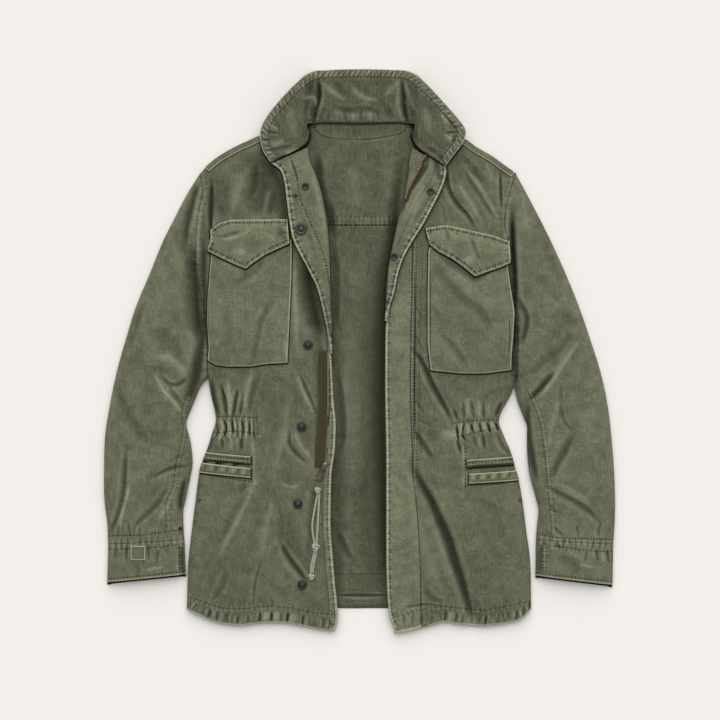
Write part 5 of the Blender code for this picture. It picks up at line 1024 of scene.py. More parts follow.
class Relief:
    """What seams, folds and the pieces on top do to one panel."""

    def __init__(self, rows=(), folds=(), rumple=0.0, seed=1, rims=(), under=(), rim_reach=5.0):
        self.rows = [(kind, np.array(line, float)) for kind, line in rows]
        self.seams = [(SEAM_KINDS[kind], Track(line), seed * 7 + k)
                      for k, (kind, line) in enumerate(self.rows)]
        self.folds = []
        for width, depth, points in folds:
            line = smooth_line(points, FOLD_STEP)
            self.folds.append((width, depth, Track(line), line))
        self.rumple = rumple
        self.rims = Track(*rims) if rims else None
        self.rim_reach = rim_reach
        self.loops = under
        self.under = Track(*map(ringed, under)) if under else None

    def at(self, xy):
        """Height and marks at places in plan."""
        height, marks = np.zeros(len(xy)), blank_marks(len(xy))
        if self.rumple:
            rough = crumple(xy)
            height += rough * self.rumple
            # Painted shade in the crumples' hollows, painted highlight on their crests
            marks["shade"] += np.clip(-rough - RUMPLE_START, 0, 1) * RUMPLE_SHADE
            marks["wear_and_highlight"] += np.clip(rough - RUMPLE_START, 0, 1) * RUMPLE_HIGHLIGHT
        for fold in self.folds:
            self.add_fold(xy, height, marks, *fold)
        best = np.full(len(xy), SEAM_SPAN)
        for seam in self.seams:
            self.add_seam(xy, height, marks, best, *seam)
        if self.rims:
            marks["rim"] = np.clip(1 - self.rims.gap(xy) / self.rim_reach, 0, 1)
        if self.under:
            self.add_cover(xy, marks["cover"])
        for name, most in (("shade", 1.5), ("wear_and_highlight", 1.0)):
            marks[name] = np.clip(marks[name], 0, most)
        sunk = FOLD_LIMIT * np.tanh(np.minimum(height, 0) / FOLD_LIMIT)
        return np.where(height < 0, sunk, height), marks

    def add_fold(self, xy, height, marks, width, depth, track, line):
        """A fold: crisp on one side, with painted shade in its trough and a painted highlight on its
        shoulders.
        """
        near = np.flatnonzero(track.near(xy, width * FOLD_REACH))
        distance, run, _ = track.measure(xy[near])
        share = run / run_along(line)[-1]
        least, more = FOLD_WIDTHS
        u = distance / (width * (least + more * np.sin(math.pi * np.clip(share, *FOLD_ENDS))))
        u = u * np.where(u > 0, FOLD_CRISP, FOLD_SOFT)
        ends = soft_step(share * FOLD_TAPER + FOLD_END) * soft_step((1 - share) * FOLD_TAPER + FOLD_END)
        core, shoulder = bell(u) * ends, bell((np.abs(u) - SHOULDER_PLACE) / SHOULDER_WIDTH) * ends
        height[near] += depth * width * FOLD_SLOPE * (0.5 * shoulder - core)
        # A trough gets painted shade; a ridge gets rubbing and painted highlight, and clears the shade.
        if depth > 0:
            dark = FOLD_SHADE * depth * core
            marks["shade"][near] = 1 - (1 - marks["shade"][near]) * (1 - np.clip(dark, 0, 1))
            marks["shade"][near] += np.clip(dark - 1, 0, 0.5)
            marks["wear_and_highlight"][near] += SHOULDER_HIGHLIGHT * depth * shoulder * min(1.0, WIDE_FOLD / width)
        else:
            marks["wear_and_highlight"][near] += -RIDGE_RUBBING_AND_HIGHLIGHT * depth * core
            marks["shade"][near] *= 1 + depth * core

    def add_seam(self, xy, height, marks, best, look, track, seed):
        """A seam's relief, and its marks wherever it is the nearest one so far."""
        band = look["band"]
        near = np.flatnonzero(track.near(xy, SEAM_SPAN + band))
        distance, run, _ = track.measure(xy[near])
        height[near] += beside_seam(distance, run, look, seed)
        off = np.maximum(np.abs(distance - band / 2) - band / 2, 0)
        closer = off < best[near]
        spot = near[closer]
        best[spot] = off[closer]
        marks["seam"][spot] = np.column_stack([distance[closer], run[closer] / look["wave"],
                                               np.full(len(spot), band)])
        marks["seam_look"][spot] = (look["fill"], look["reach"], look["strength"])

    def add_cover(self, xy, cover):
        """How close the pieces on top are: their shade reaches further below them than above."""
        near = np.flatnonzero(self.under.near(xy, COVER_REACH))
        gap, _, away = self.under.measure(xy[near])
        gap = np.abs(gap) / (COVER_REACH * (COVER_SIDE - (1 - COVER_SIDE) * away[:, 1]))
        hidden = np.any([inside(xy[near], loop) for loop in self.loops], axis=0)
        cover[near] = np.clip(1 - np.where(hidden, -gap, gap), 0, 1.3)

    def sample_rows(self):
        """Points along both sides of every seam and narrow fold, close enough to draw them."""
        rows = []
        for kind, line in self.rows:
            band = SEAM_KINDS[kind]["band"]
            amounts = set(BAND_ROWS) | {band + a for a in BAND_ROWS}
            kept = []
            for amount in sorted(amounts):
                if not kept or amount > kept[-1] + 0.7:
                    kept.append(amount)
            rows += [resample(offset(line, amount), BAND_STEP) for amount in kept]
        for width, _, _, line in self.folds:
            if width < NARROW_FOLD:
                rows += [resample(offset(line, u * width), FOLD_STEP) for u in FOLD_ROWS]
        return np.vstack(rows) if rows else np.zeros((0, 2))


def named_seams(panel):
    return [(kind, smooth_line(np.reshape(places, (-1, 2)), BAND_STEP))
            for kind, *places in SEAM_LINES.get(panel, ())]


def named_folds(panel):
    return tuple((width, depth, np.reshape(places, (-1, 2))) for width, depth, *places in FOLD_LINES[panel])


# ---------------------------------------------------------------- fine cloth

PIECES = {}
OUTLINES = {}
TREES = {}


def spread(edge, step):
    """Points a step apart in staggered rows over an outline's box."""
    low, high = edge.min(axis=0), edge.max(axis=0)
    across = np.arange(low[0], high[0], step)
    up = np.arange(low[1], high[1], step * 0.87)
    x, y = np.meshgrid(across, up)
    x = x + (step / 2) * (np.arange(len(up)) % 2)[:, None]
    return np.column_stack([x.ravel(), y.ravel()])


def evenly_closed(loop, step):
    """A closed outline with points about a step apart, its corners kept."""
    ring = ringed(loop)
    steps = np.diff(ring, axis=0)
    heading = np.arctan2(steps[:, 1], steps[:, 0])
    turn = np.abs((heading - np.roll(heading, 1) + math.pi) % math.tau - math.pi)
    corners = np.flatnonzero(turn > math.radians(28))
    if not len(corners):
        return resample(ring, step)[:-1]
    ring = np.vstack([loop[corners[0]:], loop[:corners[0]], loop[corners[:1]]])
    marks = [*(corners - corners[0]), len(loop)]
    parts = [resample(ring[a:b + 1], step)[:-1] for a, b in zip(marks, marks[1:])]
    return np.vstack(parts)


def triangles(edge, points):
    """The outline's points and the inner ones, joined by triangles."""
    xy = np.vstack([edge, points])
    rim = [(i, (i + 1) % len(edge)) for i in range(len(edge))]
    flat, _, faces, _, _, _ = delaunay_2d_cdt([Vector(p) for p in xy], rim, [], 1, 1e-5)
    return np.array([tuple(p) for p in flat]), faces


def thinned(points, apart):
    """Points no two of which are closer than about a distance."""
    cells = np.round(points / apart).astype(int)
    _, first = np.unique(cells, axis=0, return_index=True)
    return points[np.sort(first)]


def kept_above(height, least):
    """The height, eased so that it never falls below the least one."""
    return least + LEAST_BLEND * np.logaddexp(0.0, (height - least) / LEAST_BLEND)


def within(points, edge, border, apart):
    """The points inside an outline and more than a distance from it."""
    points = points[inside(points, edge)]
    return points[border.gap(points) > apart]


def cloth_points(edge, border, relief, step, fine_area):
    """Inner points of a fine face: along its edge, seams and narrow folds, and evenly between."""
    rows = within(thinned(relief.sample_rows(), ROW_GAP), edge, border, EDGE_ROWS[-1] + 0.5)
    fill = within(spread(edge, step), edge, border, EDGE_ROWS[-1] + step * 0.6)
    if len(rows):
        taken = point_tree(rows)
        fill = fill[[taken.find((x, y, 0.0))[2] > step * 0.6 for x, y in fill]]
    if fine_area is not None:
        wide = within(spread(edge, BACK_STEP), edge, border, BACK_STEP * 0.5)
        fill = np.vstack([fill[fine_area(fill)], wide[~fine_area(wide)]])
    rims = [within(offset(edge, amount, True), edge, border, amount * 0.8) for amount in EDGE_ROWS]
    return np.vstack([*rims, rows, fill])


def fine_cloth(name, loop, surface, low, high, finish, relief=None, step=None, fine_area=None,
               soft_rim=0.7):
    """Cloth cut to an outline and laid on a surface: a fine face that shows and a plain inside.

    low and high are its offsets from the surface: numbers, or functions of points and distance.
    """
    relief = relief or Relief()
    step = step or sizes().mesh_step / MM
    edge = offset(evenly_closed(loop, EDGE_STEP), SEAM_GAP / 2, True)
    border = Track(ringed(edge))
    xy, faces = triangles(edge, cloth_points(edge, border, relief, step, fine_area))
    back = within(spread(edge, BACK_STEP), edge, border, BACK_STEP * 0.45)
    back_xy, back_faces = triangles(edge, back)
    on_top = surface is top_surface
    sink = INNER_SINK if on_top and not callable(low) and low < 0 else 0.0

    def lay(points, offset_by, detail):
        base, normal = surface(points)
        distance = border.gap(points)
        amount = offset_by(points, distance) if callable(offset_by) else offset_by
        lift, marks = relief.at(points) if detail else (0, blank_marks(len(points)))
        if detail:
            round_off = soft_rim * (1 - quarter_round(distance / RIM_ROUNDING))
        else:
            round_off = sink * soft_step(distance / SINK_RUN)
        along = np.broadcast_to(amount + lift - round_off, len(points))
        placed = base + normal * along[:, None]
        if on_top:
            placed[:, 2] = kept_above(placed[:, 2], OUTER_LEAST if detail else INNER_LEAST)
        return placed, marks

    outer, marks = lay(xy, high, True)
    inner, plain = lay(back_xy, low, False)
    count, rim = len(outer), len(edge)
    skins = [tuple(f) for f in faces] + [tuple(i + count for i in reversed(f)) for f in back_faces]
    for a in range(rim):
        b = (a + 1) % rim
        skins += [(b, a, a + count), (b, a + count, b + count)]
    made = mesh_object(name, np.vstack([outer, inner]), skins, finish,
                       {key: np.concatenate([marks[key], plain[key]]) for key in marks},
                       np.vstack([xy, back_xy]))
    OUTLINES[name] = edge
    sew_rows(made, relief)
    return made


def mesh_object(name, points, faces, finish, marks=None, grain=None, sharp=55):
    """A mesh object from points in millimetres, its faces turned outwards."""
    mesh = bpy.data.meshes.new(name)
    mesh.from_pydata([tuple(p) for p in np.array(points) * MM], [], faces)
    for label, values in (marks or {}).items():
        kind, slot = ("FLOAT", "value") if values.ndim == 1 else ("FLOAT_VECTOR", "vector")
        mesh.attributes.new(label, kind, "POINT").data.foreach_set(slot, values.astype(np.float32).ravel())
    if grain is not None:
        corners = np.empty(len(mesh.loops), np.int32)
        mesh.loops.foreach_get("vertex_index", corners)
        uv = mesh.uv_layers.new(name="grain")
        uv.data.foreach_set("uv", (grain[corners] * MM).astype(np.float32).ravel())
    shape = bmesh.new()
    shape.from_mesh(mesh)
    if shape.calc_volume(signed=True) < 0:
        bmesh.ops.reverse_faces(shape, faces=shape.faces)
    shape.to_mesh(mesh)
    shape.free()
    mesh.shade_smooth()
    mesh.set_sharp_from_angle(angle=math.radians(sharp))
    mesh.materials.append(finish)
    return linked(name, mesh, True)


def linked(name, data, is_piece=False):
    """An object in the scene, kept among the pieces where it is one."""
    made = bpy.data.objects.new(name, data)
    bpy.context.scene.collection.objects.link(made)
    if is_piece:
        PIECES[name] = made
    return made


def plan_area(loop):
    x, y = loop.T
    return abs(np.dot(x, np.roll(y, -1)) - np.dot(y, np.roll(x, -1))) / 2


def cut_size(loop):
    """Width and length of the smallest rectangle around an outline."""
    best = None
    for angle in np.radians(np.arange(0, 90, 3)):
        turn = np.array([[math.cos(angle), -math.sin(angle)], [math.sin(angle), math.cos(angle)]])
        turned = loop @ turn
        size = turned.max(axis=0) - turned.min(axis=0)
        if best is None or size.prod() < best.prod():
            best = size
    return sorted(best)


def sew_on(piece, nodes, size=None):
    """Ride a finished cloth piece on the jacket, in place of its solids, and work out the width of its cut,
    which is not used further.
    """
    laid_flat = sum(face.area for face in piece.data.polygons) / 2 / MM / MM
    loop = OUTLINES.get(piece.name)
    width, length = size or cut_size(loop)
    if loop is not None:
        width *= laid_flat / plan_area(loop)
    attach(piece, JACKET)
    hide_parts(*nodes)
    width = max(width, 1.01 * laid_flat / length, 10.2)


def sew(node, outline, surface, low, high, finish, relief=None, rests_on=(), slot="cotton",
        piece=None, **cut):
    """Fine cloth made and sewn on in place of one node, whose name it takes unless it has its own."""
    made = fine_cloth(piece or node + "_cloth", outline, surface, low, high, finish_for(finish),
                      relief, **cut)
    sew_on(made, [node])


def drop(carrier, points):
    """Where straight drops at places in plan meet a piece, with the faces' directions."""
    mesh = carrier.data
    tree = TREES.get(carrier.name)
    if tree is None:
        tree = BVHTree.FromPolygons([v.co for v in mesh.vertices], [p.vertices for p in mesh.polygons])
        TREES[carrier.name] = tree
    hits = []
    for x, y in points:
        point, normal, _, _ = tree.ray_cast(Vector((x * MM, y * MM, 1.0)), Vector((0, 0, -1)))
        hits.append((np.array(point) / MM, np.array(normal)) if point else None)
    return hits


# ---------------------------------------------------------------- finishes

class Wire:
    """A socket of a shader tree that takes part in Python expressions."""

    def __init__(self, finish, socket):
        self.finish, self.socket = finish, socket

    def clamped(self):
        return self.finish.node("ShaderNodeMath", {0: self, 1: 0.0}, operation="ADD", use_clamp=True)

    def over(self, level, width):
        """0 below a level, 1 above it, turning over a width."""
        return self.finish.node("ShaderNodeMath", {0: self - (level - width / 2), 1: 1 / width},
                                operation="MULTIPLY", use_clamp=True)


def wire_method(operation, is_reflected=False):
    """A method that adds one Math node, its own socket last where it is reflected."""
    def method(self, *others):
        values = (*others, self) if is_reflected else (self, *others)
        return self.finish.node("ShaderNodeMath", dict(enumerate(values)), operation=operation)
    return method


WIRE_METHODS = {
    "__add__": "ADD", "__radd__": "ADD", "__mul__": "MULTIPLY", "__rmul__": "MULTIPLY",
    "__sub__": "SUBTRACT", "__rsub__": "SUBTRACT", "__truediv__": "DIVIDE", "__pow__": "POWER",
    "size": "ABSOLUTE", "cosine": "COSINE", "at_most": "MINIMUM", "at_least": "MAXIMUM",
}
for name, operation in WIRE_METHODS.items():
    setattr(Wire, name, wire_method(operation, name == "__rsub__"))


class Finish:
    """A material whose colour and relief are written as expressions."""

    def __init__(self, name):
        self.material = bpy.data.materials.new(name)
        self.material.use_nodes = True
        self.tree = self.material.node_tree
        self.shader = self.tree.nodes["Principled BSDF"]

    def node(self, kind, inputs=None, output=0, **settings):
        """Any node: its settings first, then the values or links of its sockets."""
        made = self.tree.nodes.new(kind)
        for key, value in settings.items():
            setattr(made, key, value)
        for key, value in (inputs or {}).items():
            self.feed(made.inputs[key], value)
        return Wire(self, made.outputs[output])

    def feed(self, socket, value):
        if isinstance(value, Wire):
            self.tree.links.new(value.socket, socket)
        else:
            socket.default_value = value

    def place(self, turn=0.0):
        """The Object coordinates, turned about the vertical."""
        return self.node("ShaderNodeMapping", {"Vector": self.node("ShaderNodeTexCoord", output="Object"),
                                               "Rotation": (0.0, 0.0, turn)})

    def grain(self, turn=0.0, stretch=(1.0, 1.0, 1.0)):
        """The cloth's own grain map, turned and stretched."""
        return self.node("ShaderNodeMapping", {"Vector": self.node("ShaderNodeUVMap", uv_map="grain"),
                                               "Rotation": (0.0, 0.0, turn), "Scale": stretch})

    def attribute(self, name):
        return self.node("ShaderNodeAttribute", output="Fac", attribute_name=name)

    def parts(self, name):
        """The three values of a vector attribute."""
        vector = self.node("ShaderNodeAttribute", output="Vector", attribute_name=name)
        split = self.node("ShaderNodeSeparateXYZ", {"Vector": vector})
        return [Wire(self, socket) for socket in split.socket.node.outputs]

    def noise(self, place, scale, detail=3.0, roughness=0.5):
        return self.node("ShaderNodeTexNoise", {"Vector": place, "Scale": scale, "Detail": detail,
                                                "Roughness": roughness})

    def waves(self, place, pitch, distortion=0.0, direction="X"):
        """Even bands, one to each pitch in metres."""
        return self.node("ShaderNodeTexWave", {"Vector": place, "Scale": math.tau / 20 / pitch,
                                               "Distortion": distortion, "Detail": 1.0},
                         bands_direction=direction)

    def mix(self, share, first, second, blend="MIX"):
        """Two colours mixed by a share."""
        sockets = {0: share}
        for index, colour in ((6, first), (7, second)):
            sockets[index] = colour if isinstance(colour, Wire) else (*colour[:3], 1.0)
        return self.node("ShaderNodeMix", sockets, output=2, data_type="RGBA", blend_type=blend)

    def bump(self, height, strength, depth, under=None):
        inputs = {"Height": height, "Strength": strength, "Distance": depth}
        if under is not None:
            inputs["Normal"] = under
        return self.node("ShaderNodeBump", inputs)

    def set(self, **values):
        for key, value in values.items():
            name = key.replace("_", " ").title()
            self.feed(self.shader.inputs[name.replace("Ior", "IOR")], value)
        return self.material


def shaded(colour, amount):
    return tuple(c * amount for c in colour)


def stitch_marks(finish, place):
    """Pale beads, which are rubbing and painted highlight on the puckers' crests, dark slots of painted shade
    between them, and the needle's lines of painted shade in the rut, read from the seam marks in millimetres.
    """
    off, phase, band = finish.parts("seam")
    fill, reach, strength = finish.parts("seam_look")
    drift = finish.noise(place, 95.0, 2.0) * 9.0
    uneven = finish.noise(place, 130.0, 3.0, 0.7).over(0.5, 0.45) * 1.35 + 0.3
    tick = (phase * math.tau + drift).cosine() * 0.5 + 0.5
    low, high = off.size(), (off - band).size()
    nearest = low.at_most(high)
    line = ((DEEP_LINE - low) * 1.3).clamped().at_least(((FINE_LINE - high) * 1.3).clamped())
    between = (off * (band - off) * 3.0).clamped()
    beside, uneven = (1 - nearest / reach).clamped(), strength * uneven
    beads = (beside * tick * tick + between * 0.25) * uneven * (1 - line)
    slots = beside.at_least(fill * between) * uneven * (1 - tick) ** 3
    return beads.clamped(), slots.clamped(), line * strength.at_most(uneven) * (1.1 - tick * 0.7)


def cotton(name, colour, worn_and_highlight, dark):
    """Washed cotton twill: even dye with random tone, made paler towards +X as painted light, pale ridges of
    rubbing and painted highlight, painted shade in its folds, seams and under the pieces on top, and a fine
    weave.
    """
    looks = sizes()
    finish = Finish(name)
    place = finish.place()
    patterns = (finish.noise(place, *pattern) for pattern in COTTON_PATTERNS.values())
    clouds, blotches, mottle, fibre, creases = patterns
    across = finish.node("ShaderNodeSeparateXYZ", {0: place}, output=0)
    slub = finish.noise(finish.grain(stretch=(1.0, 0.08, 1.0)), 620.0, 2.0, 0.7)
    twill = finish.waves(finish.grain(turn=math.radians(52)), looks.weave_pitch, 0.4)
    beads, slots, needle = stitch_marks(finish, place)
    rim, cover = finish.attribute("rim"), finish.attribute("cover")
    # Free edges: rubbing with a painted highlight.
    edge = rim.over(RIM_LEVEL, 0.28) * (0.55 + mottle * 1.2)
    # Beside and below the pieces on top: a crisp line and a soft halo of painted shadow.
    near = cover.over(COVER_LEVEL, 0.09)
    painted_shadow_halo = cover.clamped() ** 3 * 0.42
    # Random cloudy tone, and painted light: the cloth is made paler towards +X.
    base = finish.mix(clouds.over(0.5, 0.4) * 0.6 + across * 1.2, shaded(colour, 0.84), shaded(colour, 1.14))
    base = finish.mix(blotches.over(0.54, 0.3) * 0.45, base, shaded(colour, 1.30))
    base = finish.mix(blotches.over(0.44, 0.3) * 0.5 + 0.5, shaded(colour, 0.72), base)
    base = finish.mix(mottle.over(0.56, 0.4), base, shaded(colour, 1.40))
    base = finish.mix(mottle.over(0.40, 0.3), shaded(colour, 0.64), base)
    crease = (1 - (creases - 0.5).size() * 2.0) ** 16 * blotches.over(0.5, 0.25)
    base = finish.mix(fibre.over(0.5, 0.3) * 0.55, base, shaded(colour, 0.50))
    base = finish.mix(slub.over(0.58, 0.2) * 0.22, base, worn_and_highlight)
    base = finish.mix((1 - twill) * 0.10, base, shaded(colour, 0.55))
    # Pale marks: rubbing and painted highlight on ridges, puckers, free edges and creases
    rubbed_and_highlight = finish.attribute("wear_and_highlight") * (0.4 + mottle * 0.8) + beads * 0.95 + edge + crease * 0.10
    shade = finish.attribute("shade")
    # Painted shade and shadow: folds, pucker slots, needle ruts and the pieces on top, with the darkest
    # painted shade in the strongest folds and crisp shadow lines
    sunk = shade + slots * 0.8 + needle * 0.8 + near + painted_shadow_halo
    painted_darkest_shade = (near * 0.8).at_least((shade - 1.0) * 2.4).clamped()
    base = finish.mix((rubbed_and_highlight * looks.wear_and_highlight).clamped(), base, worn_and_highlight)
    base = finish.mix((sunk * looks.painted_shade).clamped(), base, dark)
    base = finish.mix(painted_darkest_shade, base, shaded(dark, 0.2))
    # An extra painted highlight along the free edges.
    base = finish.mix(edge * 0.25, base, shaded(worn_and_highlight, 1.7))
    weave = finish.bump(twill * 0.4 + fibre + mottle * 2.0, 0.35, 0.0005)
    relief = finish.bump(beads + edge * 0.6 - needle - near * 0.5, 0.6, 0.0007, weave)
    relief = finish.bump(crease + blotches * 1.5, 0.8, 0.0011, relief)
    return finish.set(base_color=base, roughness=0.84 + mottle * 0.12, normal=relief, sheen_weight=0.08,
                      sheen_roughness=0.5, specular_ior_level=0.2)


def tape_finish():
    finish = Finish("zip_tape")
    ribs = finish.waves(finish.grain(turn=math.radians(90)), 0.0011, 0.2)
    mottle = finish.noise(finish.place(), 220.0, 3.0)
    dark, pale, groove, covered_shade = TAPE_TONES
    base = finish.mix(ribs * 0.35, finish.mix(mottle, dark, pale), groove)
    # Painted shade on the tape's half that the cloth covers
    base = finish.mix(finish.attribute("shade").clamped(), base, covered_shade)
    return finish.set(base_color=base, roughness=0.8 + mottle * 0.1, specular_ior_level=0.3,
                      normal=finish.bump(ribs, 0.6, 0.0002))


def metal(name, colour, worn_and_highlight, roughness, scale, metallic, spotted):
    """Aged metal: a paler tone on its ridges, rubbing and painted highlight, fine scratches and uneven gloss.
    """
    finish = Finish(name)
    spots = finish.noise(finish.place(), scale, 4.0, 0.65)
    scratches = finish.noise(finish.place(turn=0.6), scale * 4, 2.0, 0.8)
    ridges = finish.attribute("wear_and_highlight")
    base = finish.mix(spots.over(0.55, 0.25) * 0.5, colour, shaded(colour, 0.45))
    # A paler tone on the ridges, rubbing and painted highlight, and bright spots at random
    rubbed_and_highlight = ridges * (0.4 + spots) + spots.over(0.62, 0.12) * spotted
    base = finish.mix(rubbed_and_highlight.clamped(), base, worn_and_highlight)
    return finish.set(base_color=base, metallic=metallic, roughness=roughness + spots * 0.22,
                      normal=finish.bump(scratches, 0.2, 0.0001))


def cord_finish():
    finish = Finish("pull_cord")
    strands = finish.waves(finish.grain(turn=math.radians(35)), 0.0013, 0.3)
    fluff = finish.noise(finish.place(), 900.0, 3.0, 0.7)
    dark, pale, groove = CORD_TONES
    base = finish.mix((1 - strands) * 0.45, finish.mix(fluff, dark, pale), groove)
    return finish.set(base_color=base, roughness=0.85 + fluff * 0.1, specular_ior_level=0.25,
                      sheen_weight=0.2, normal=finish.bump(strands + fluff * 0.5, 0.7, 0.0003))


def thread_finish():
    finish = Finish("thread")
    twist = finish.noise(finish.place(), 1500.0, 2.0)
    base = finish.mix(twist, shaded(sizes().thread_colour, 0.7), shaded(sizes().thread_colour, 1.25))
    return finish.set(base_color=base, roughness=0.75 + twist * 0.15, specular_ior_level=0.3,
                      normal=finish.bump(twist, 0.4, 0.0001))


def floor_finish():
    finish = Finish("pale_floor")
    cloud = finish.noise(finish.place(), 3.0, 2.0)
    base = finish.mix(cloud, shaded(sizes().floor_colour, 0.995), sizes().floor_colour)
    return finish.set(base_color=base, roughness=0.9 + cloud * 0.05, specular_ior_level=0.1)


PLAIN_FINISHES = {"tape": tape_finish, "cord": cord_finish, "thread": thread_finish, "floor": floor_finish}
FINISHES = {}


def finish_for(name):
    """Each finish is made once, when a piece first asks for it."""
    looks = sizes()
    # Tones of each part's cloth; the flap and fly are lighter copies of the pocket colour.
    cloth_tones = {"cotton": looks.cotton_colour, "sleeve": looks.sleeve_colour, "inside": looks.inside_colour,
            "pocket": looks.pocket_colour, "flap": shaded(looks.pocket_colour, 1.05),
            "fly": shaded(looks.pocket_colour, 1.14), "collar": looks.collar_colour}
    if name not in FINISHES:
        if name in cloth_tones:
            made = cotton("cotton_" + name, cloth_tones[name], looks.worn_and_highlight_colour, looks.painted_shade_colour)
        elif name in METALS:
            made = metal(*METALS[name])
        else:
            made = PLAIN_FINISHES[name]()
        FINISHES[name] = made
    return FINISHES[name]


# ---------------------------------------------------------------- panels of the jacket

def armhole(side, part="whole"):
    """The armhole seam, or its part beside the yoke or below it."""
    dense = side_line(ARMHOLE, side, 1.0)
    level = np.argmax(dense[:, 1] < YOKE_SEAM_Y)
    parts = {"yoke": dense[:level + 1], "below": dense[level:], "whole": dense}
    return resample(parts[part], EDGE_STEP)


def yoke_seam():
    return straight(armhole("right", "yoke")[-1], armhole("left", "yoke")[-1])


def body_side(line, side):
    """A line that runs down one side, turned so that the body is on its left."""
    return line if side == "right" else line[::-1]


def edge_row(kind, line, depth, is_closed=False):
    """A row of stitches inside an edge, its doubled cloth towards the edge."""
    row = offset(line, depth, is_closed)[::-1]
    if is_closed:
        row = ringed(row)
    return kind, resample(row, BAND_STEP)


def stretch(loop, rows, low, high, side):
    """The part of an outline beside some rows of its table, in the outline's own order."""
    line = columns(rows, "x", "y", SIGN[side])[low:high]
    on = Track(straight(*line)).gap(loop) < 0.4
    first = np.flatnonzero(on & ~np.roll(on, 1))[0]
    return np.roll(loop, -first, axis=0)[np.roll(on, -first)]


def rumple():
    return sizes().rumple_height / MM


def flat_piece(table_of, side):
    """Outline of a pocket bag or a flap."""
    return closed(straight(*columns(table_of[side], "x", "y", SIGN[side])))


def pocket_strip(part, side):
    """Top and lower edges of a hand pocket's band or welt."""
    inner_x, inner_y, outer_y, width = HAND_POCKET[f"{part}_{side}"]
    return (hand_pocket_edge(side, inner_x, inner_y, outer_y),
            hand_pocket_edge(side, inner_x, inner_y - width, outer_y - width))


def lapel_loop(side):
    rows = lapel_rows(side, EDGE_STEP)
    return closed(rows[:, :2], rows[::-1, 2:4])


def collar_loop():
    return closed(smooth_line(columns(COLLAR_EDGE, "x", "y"), EDGE_STEP),
                  smooth_line(columns(COLLAR_SEAM, "x", "y"), EDGE_STEP))


def laid_over_front(side):
    """Outlines of everything that lies on a front, each painting its shadow on the cloth below."""
    strips = [closed(top, low[::-1]) for top, low in (pocket_strip(part, side) for part in ("band", "welt"))]
    return [flat_piece(CHEST_POCKET, side), flat_piece(CHEST_FLAP, side), lapel_loop(side),
            collar_loop(), *strips]


def shown_in_opening(xy):
    return np.abs(xy[:, 0]) < BACK_SHOWN


def make_back():
    """The back's inside: yoke, body, neck facing and hem facing."""
    neck = smooth_line(columns(BACK_NECK, "x", "y") + (0.0, NECK_TUCK), EDGE_STEP)
    yoke = closed(neck, shoulder_line("left"), armhole("left", "yoke"), yoke_seam()[::-1] - (0.0, SEAM_GAP),
                  armhole("right", "yoke")[::-1], shoulder_line("right")[::-1])
    sides = {side: side_line(BODY_SIDE, side) for side in SIGN}
    hem = straight(sides["left"][-1], sides["right"][-1])
    body = closed(yoke_seam(), armhole("left", "below"), sides["left"], hem, sides["right"][::-1],
                  armhole("right", "below")[::-1])
    seam = ("inside", resample(yoke_seam(), BAND_STEP))
    # The collar and lapels paint their shadow on the back's inside.
    over = [collar_loop(), lapel_loop("right"), lapel_loop("left")]
    folds = named_folds("back")
    for node, outline, seed, loops in (("back_yoke", yoke, 2, over), ("back_body", body, 3, over[1:])):
        relief = Relief([seam] + named_seams(node), folds, rumple(), seed, under=loops)
        sew(node, outline, under_surface, 0.0, CLOTH, "inside", relief, slot="cotton_inside",
            fine_area=shown_in_opening)
    facing = closed(smooth_line(columns(NECK_FACING, "x", "y"), EDGE_STEP))
    sew("neck_facing", facing, back_inside, SEAM_GAP, SEAM_GAP + CLOTH, "inside", Relief((), folds),
        ["back_yoke_cloth"], "cotton_inside")
    rows = [("single", straight(*ends, step=BAND_STEP)) for ends in HEM_FACING_ROWS]
    sew("back_hem_facing", closed(*[straight(*ends) for ends in HEM_FACING]), back_inside, SEAM_GAP,
        SEAM_GAP + CLOTH, "inside", Relief(rows, folds), ["back_body_cloth"], "cotton_inside",
        "back_hem_cloth", fine_area=shown_in_opening)


def lapel_rows(side, step):
    """Rows down the lapel: roll, free edge and lift."""
    rows = LAPEL[side]
    return smooth_line(np.column_stack([columns(rows, "roll_x", "roll_y", SIGN[side]),
                                        columns(rows, "free_x", "free_y", SIGN[side]),
                                        rows["lift"]]), step)


def headings(rows):
    """The way across a lapel's rows, their widths and the radius each is rolled to."""
    across = rows[:, 2:4] - rows[:, :2]
    width = np.linalg.norm(across, axis=1)
    return across / width[:, None], width, np.minimum(ROLL_RADIUS, ROLL_SHARE * width)


def front_outline(side):
    """A front, cut off at its edge piece's seam and along the lapel's roll."""
    hem = front_hem(side)
    neck = np.array([NECK_POINT]) * (SIGN[side], 1.0)
    rows = lapel_rows(side, EDGE_STEP)
    heading, _, radius = headings(rows)
    roll = rows[:, :2] + heading * (radius + SEAM_GAP)[:, None]
    seam = front_edge(side, "seam")
    inner, lowest = {"left": (FLY_INNER, FLY_TOP), "right": (UNDERLAP_INNER, UNDERLAP_TOP)}[side]
    hem = hem[hem[:, 0] * SIGN[side] > inner]
    roll = roll[roll[:, 1] > lowest + ROLL_START]
    return closed(shoulder_line(side), armhole(side), side_line(BODY_SIDE, side), hem,
                  seam[::-1], roll[::-1], neck)


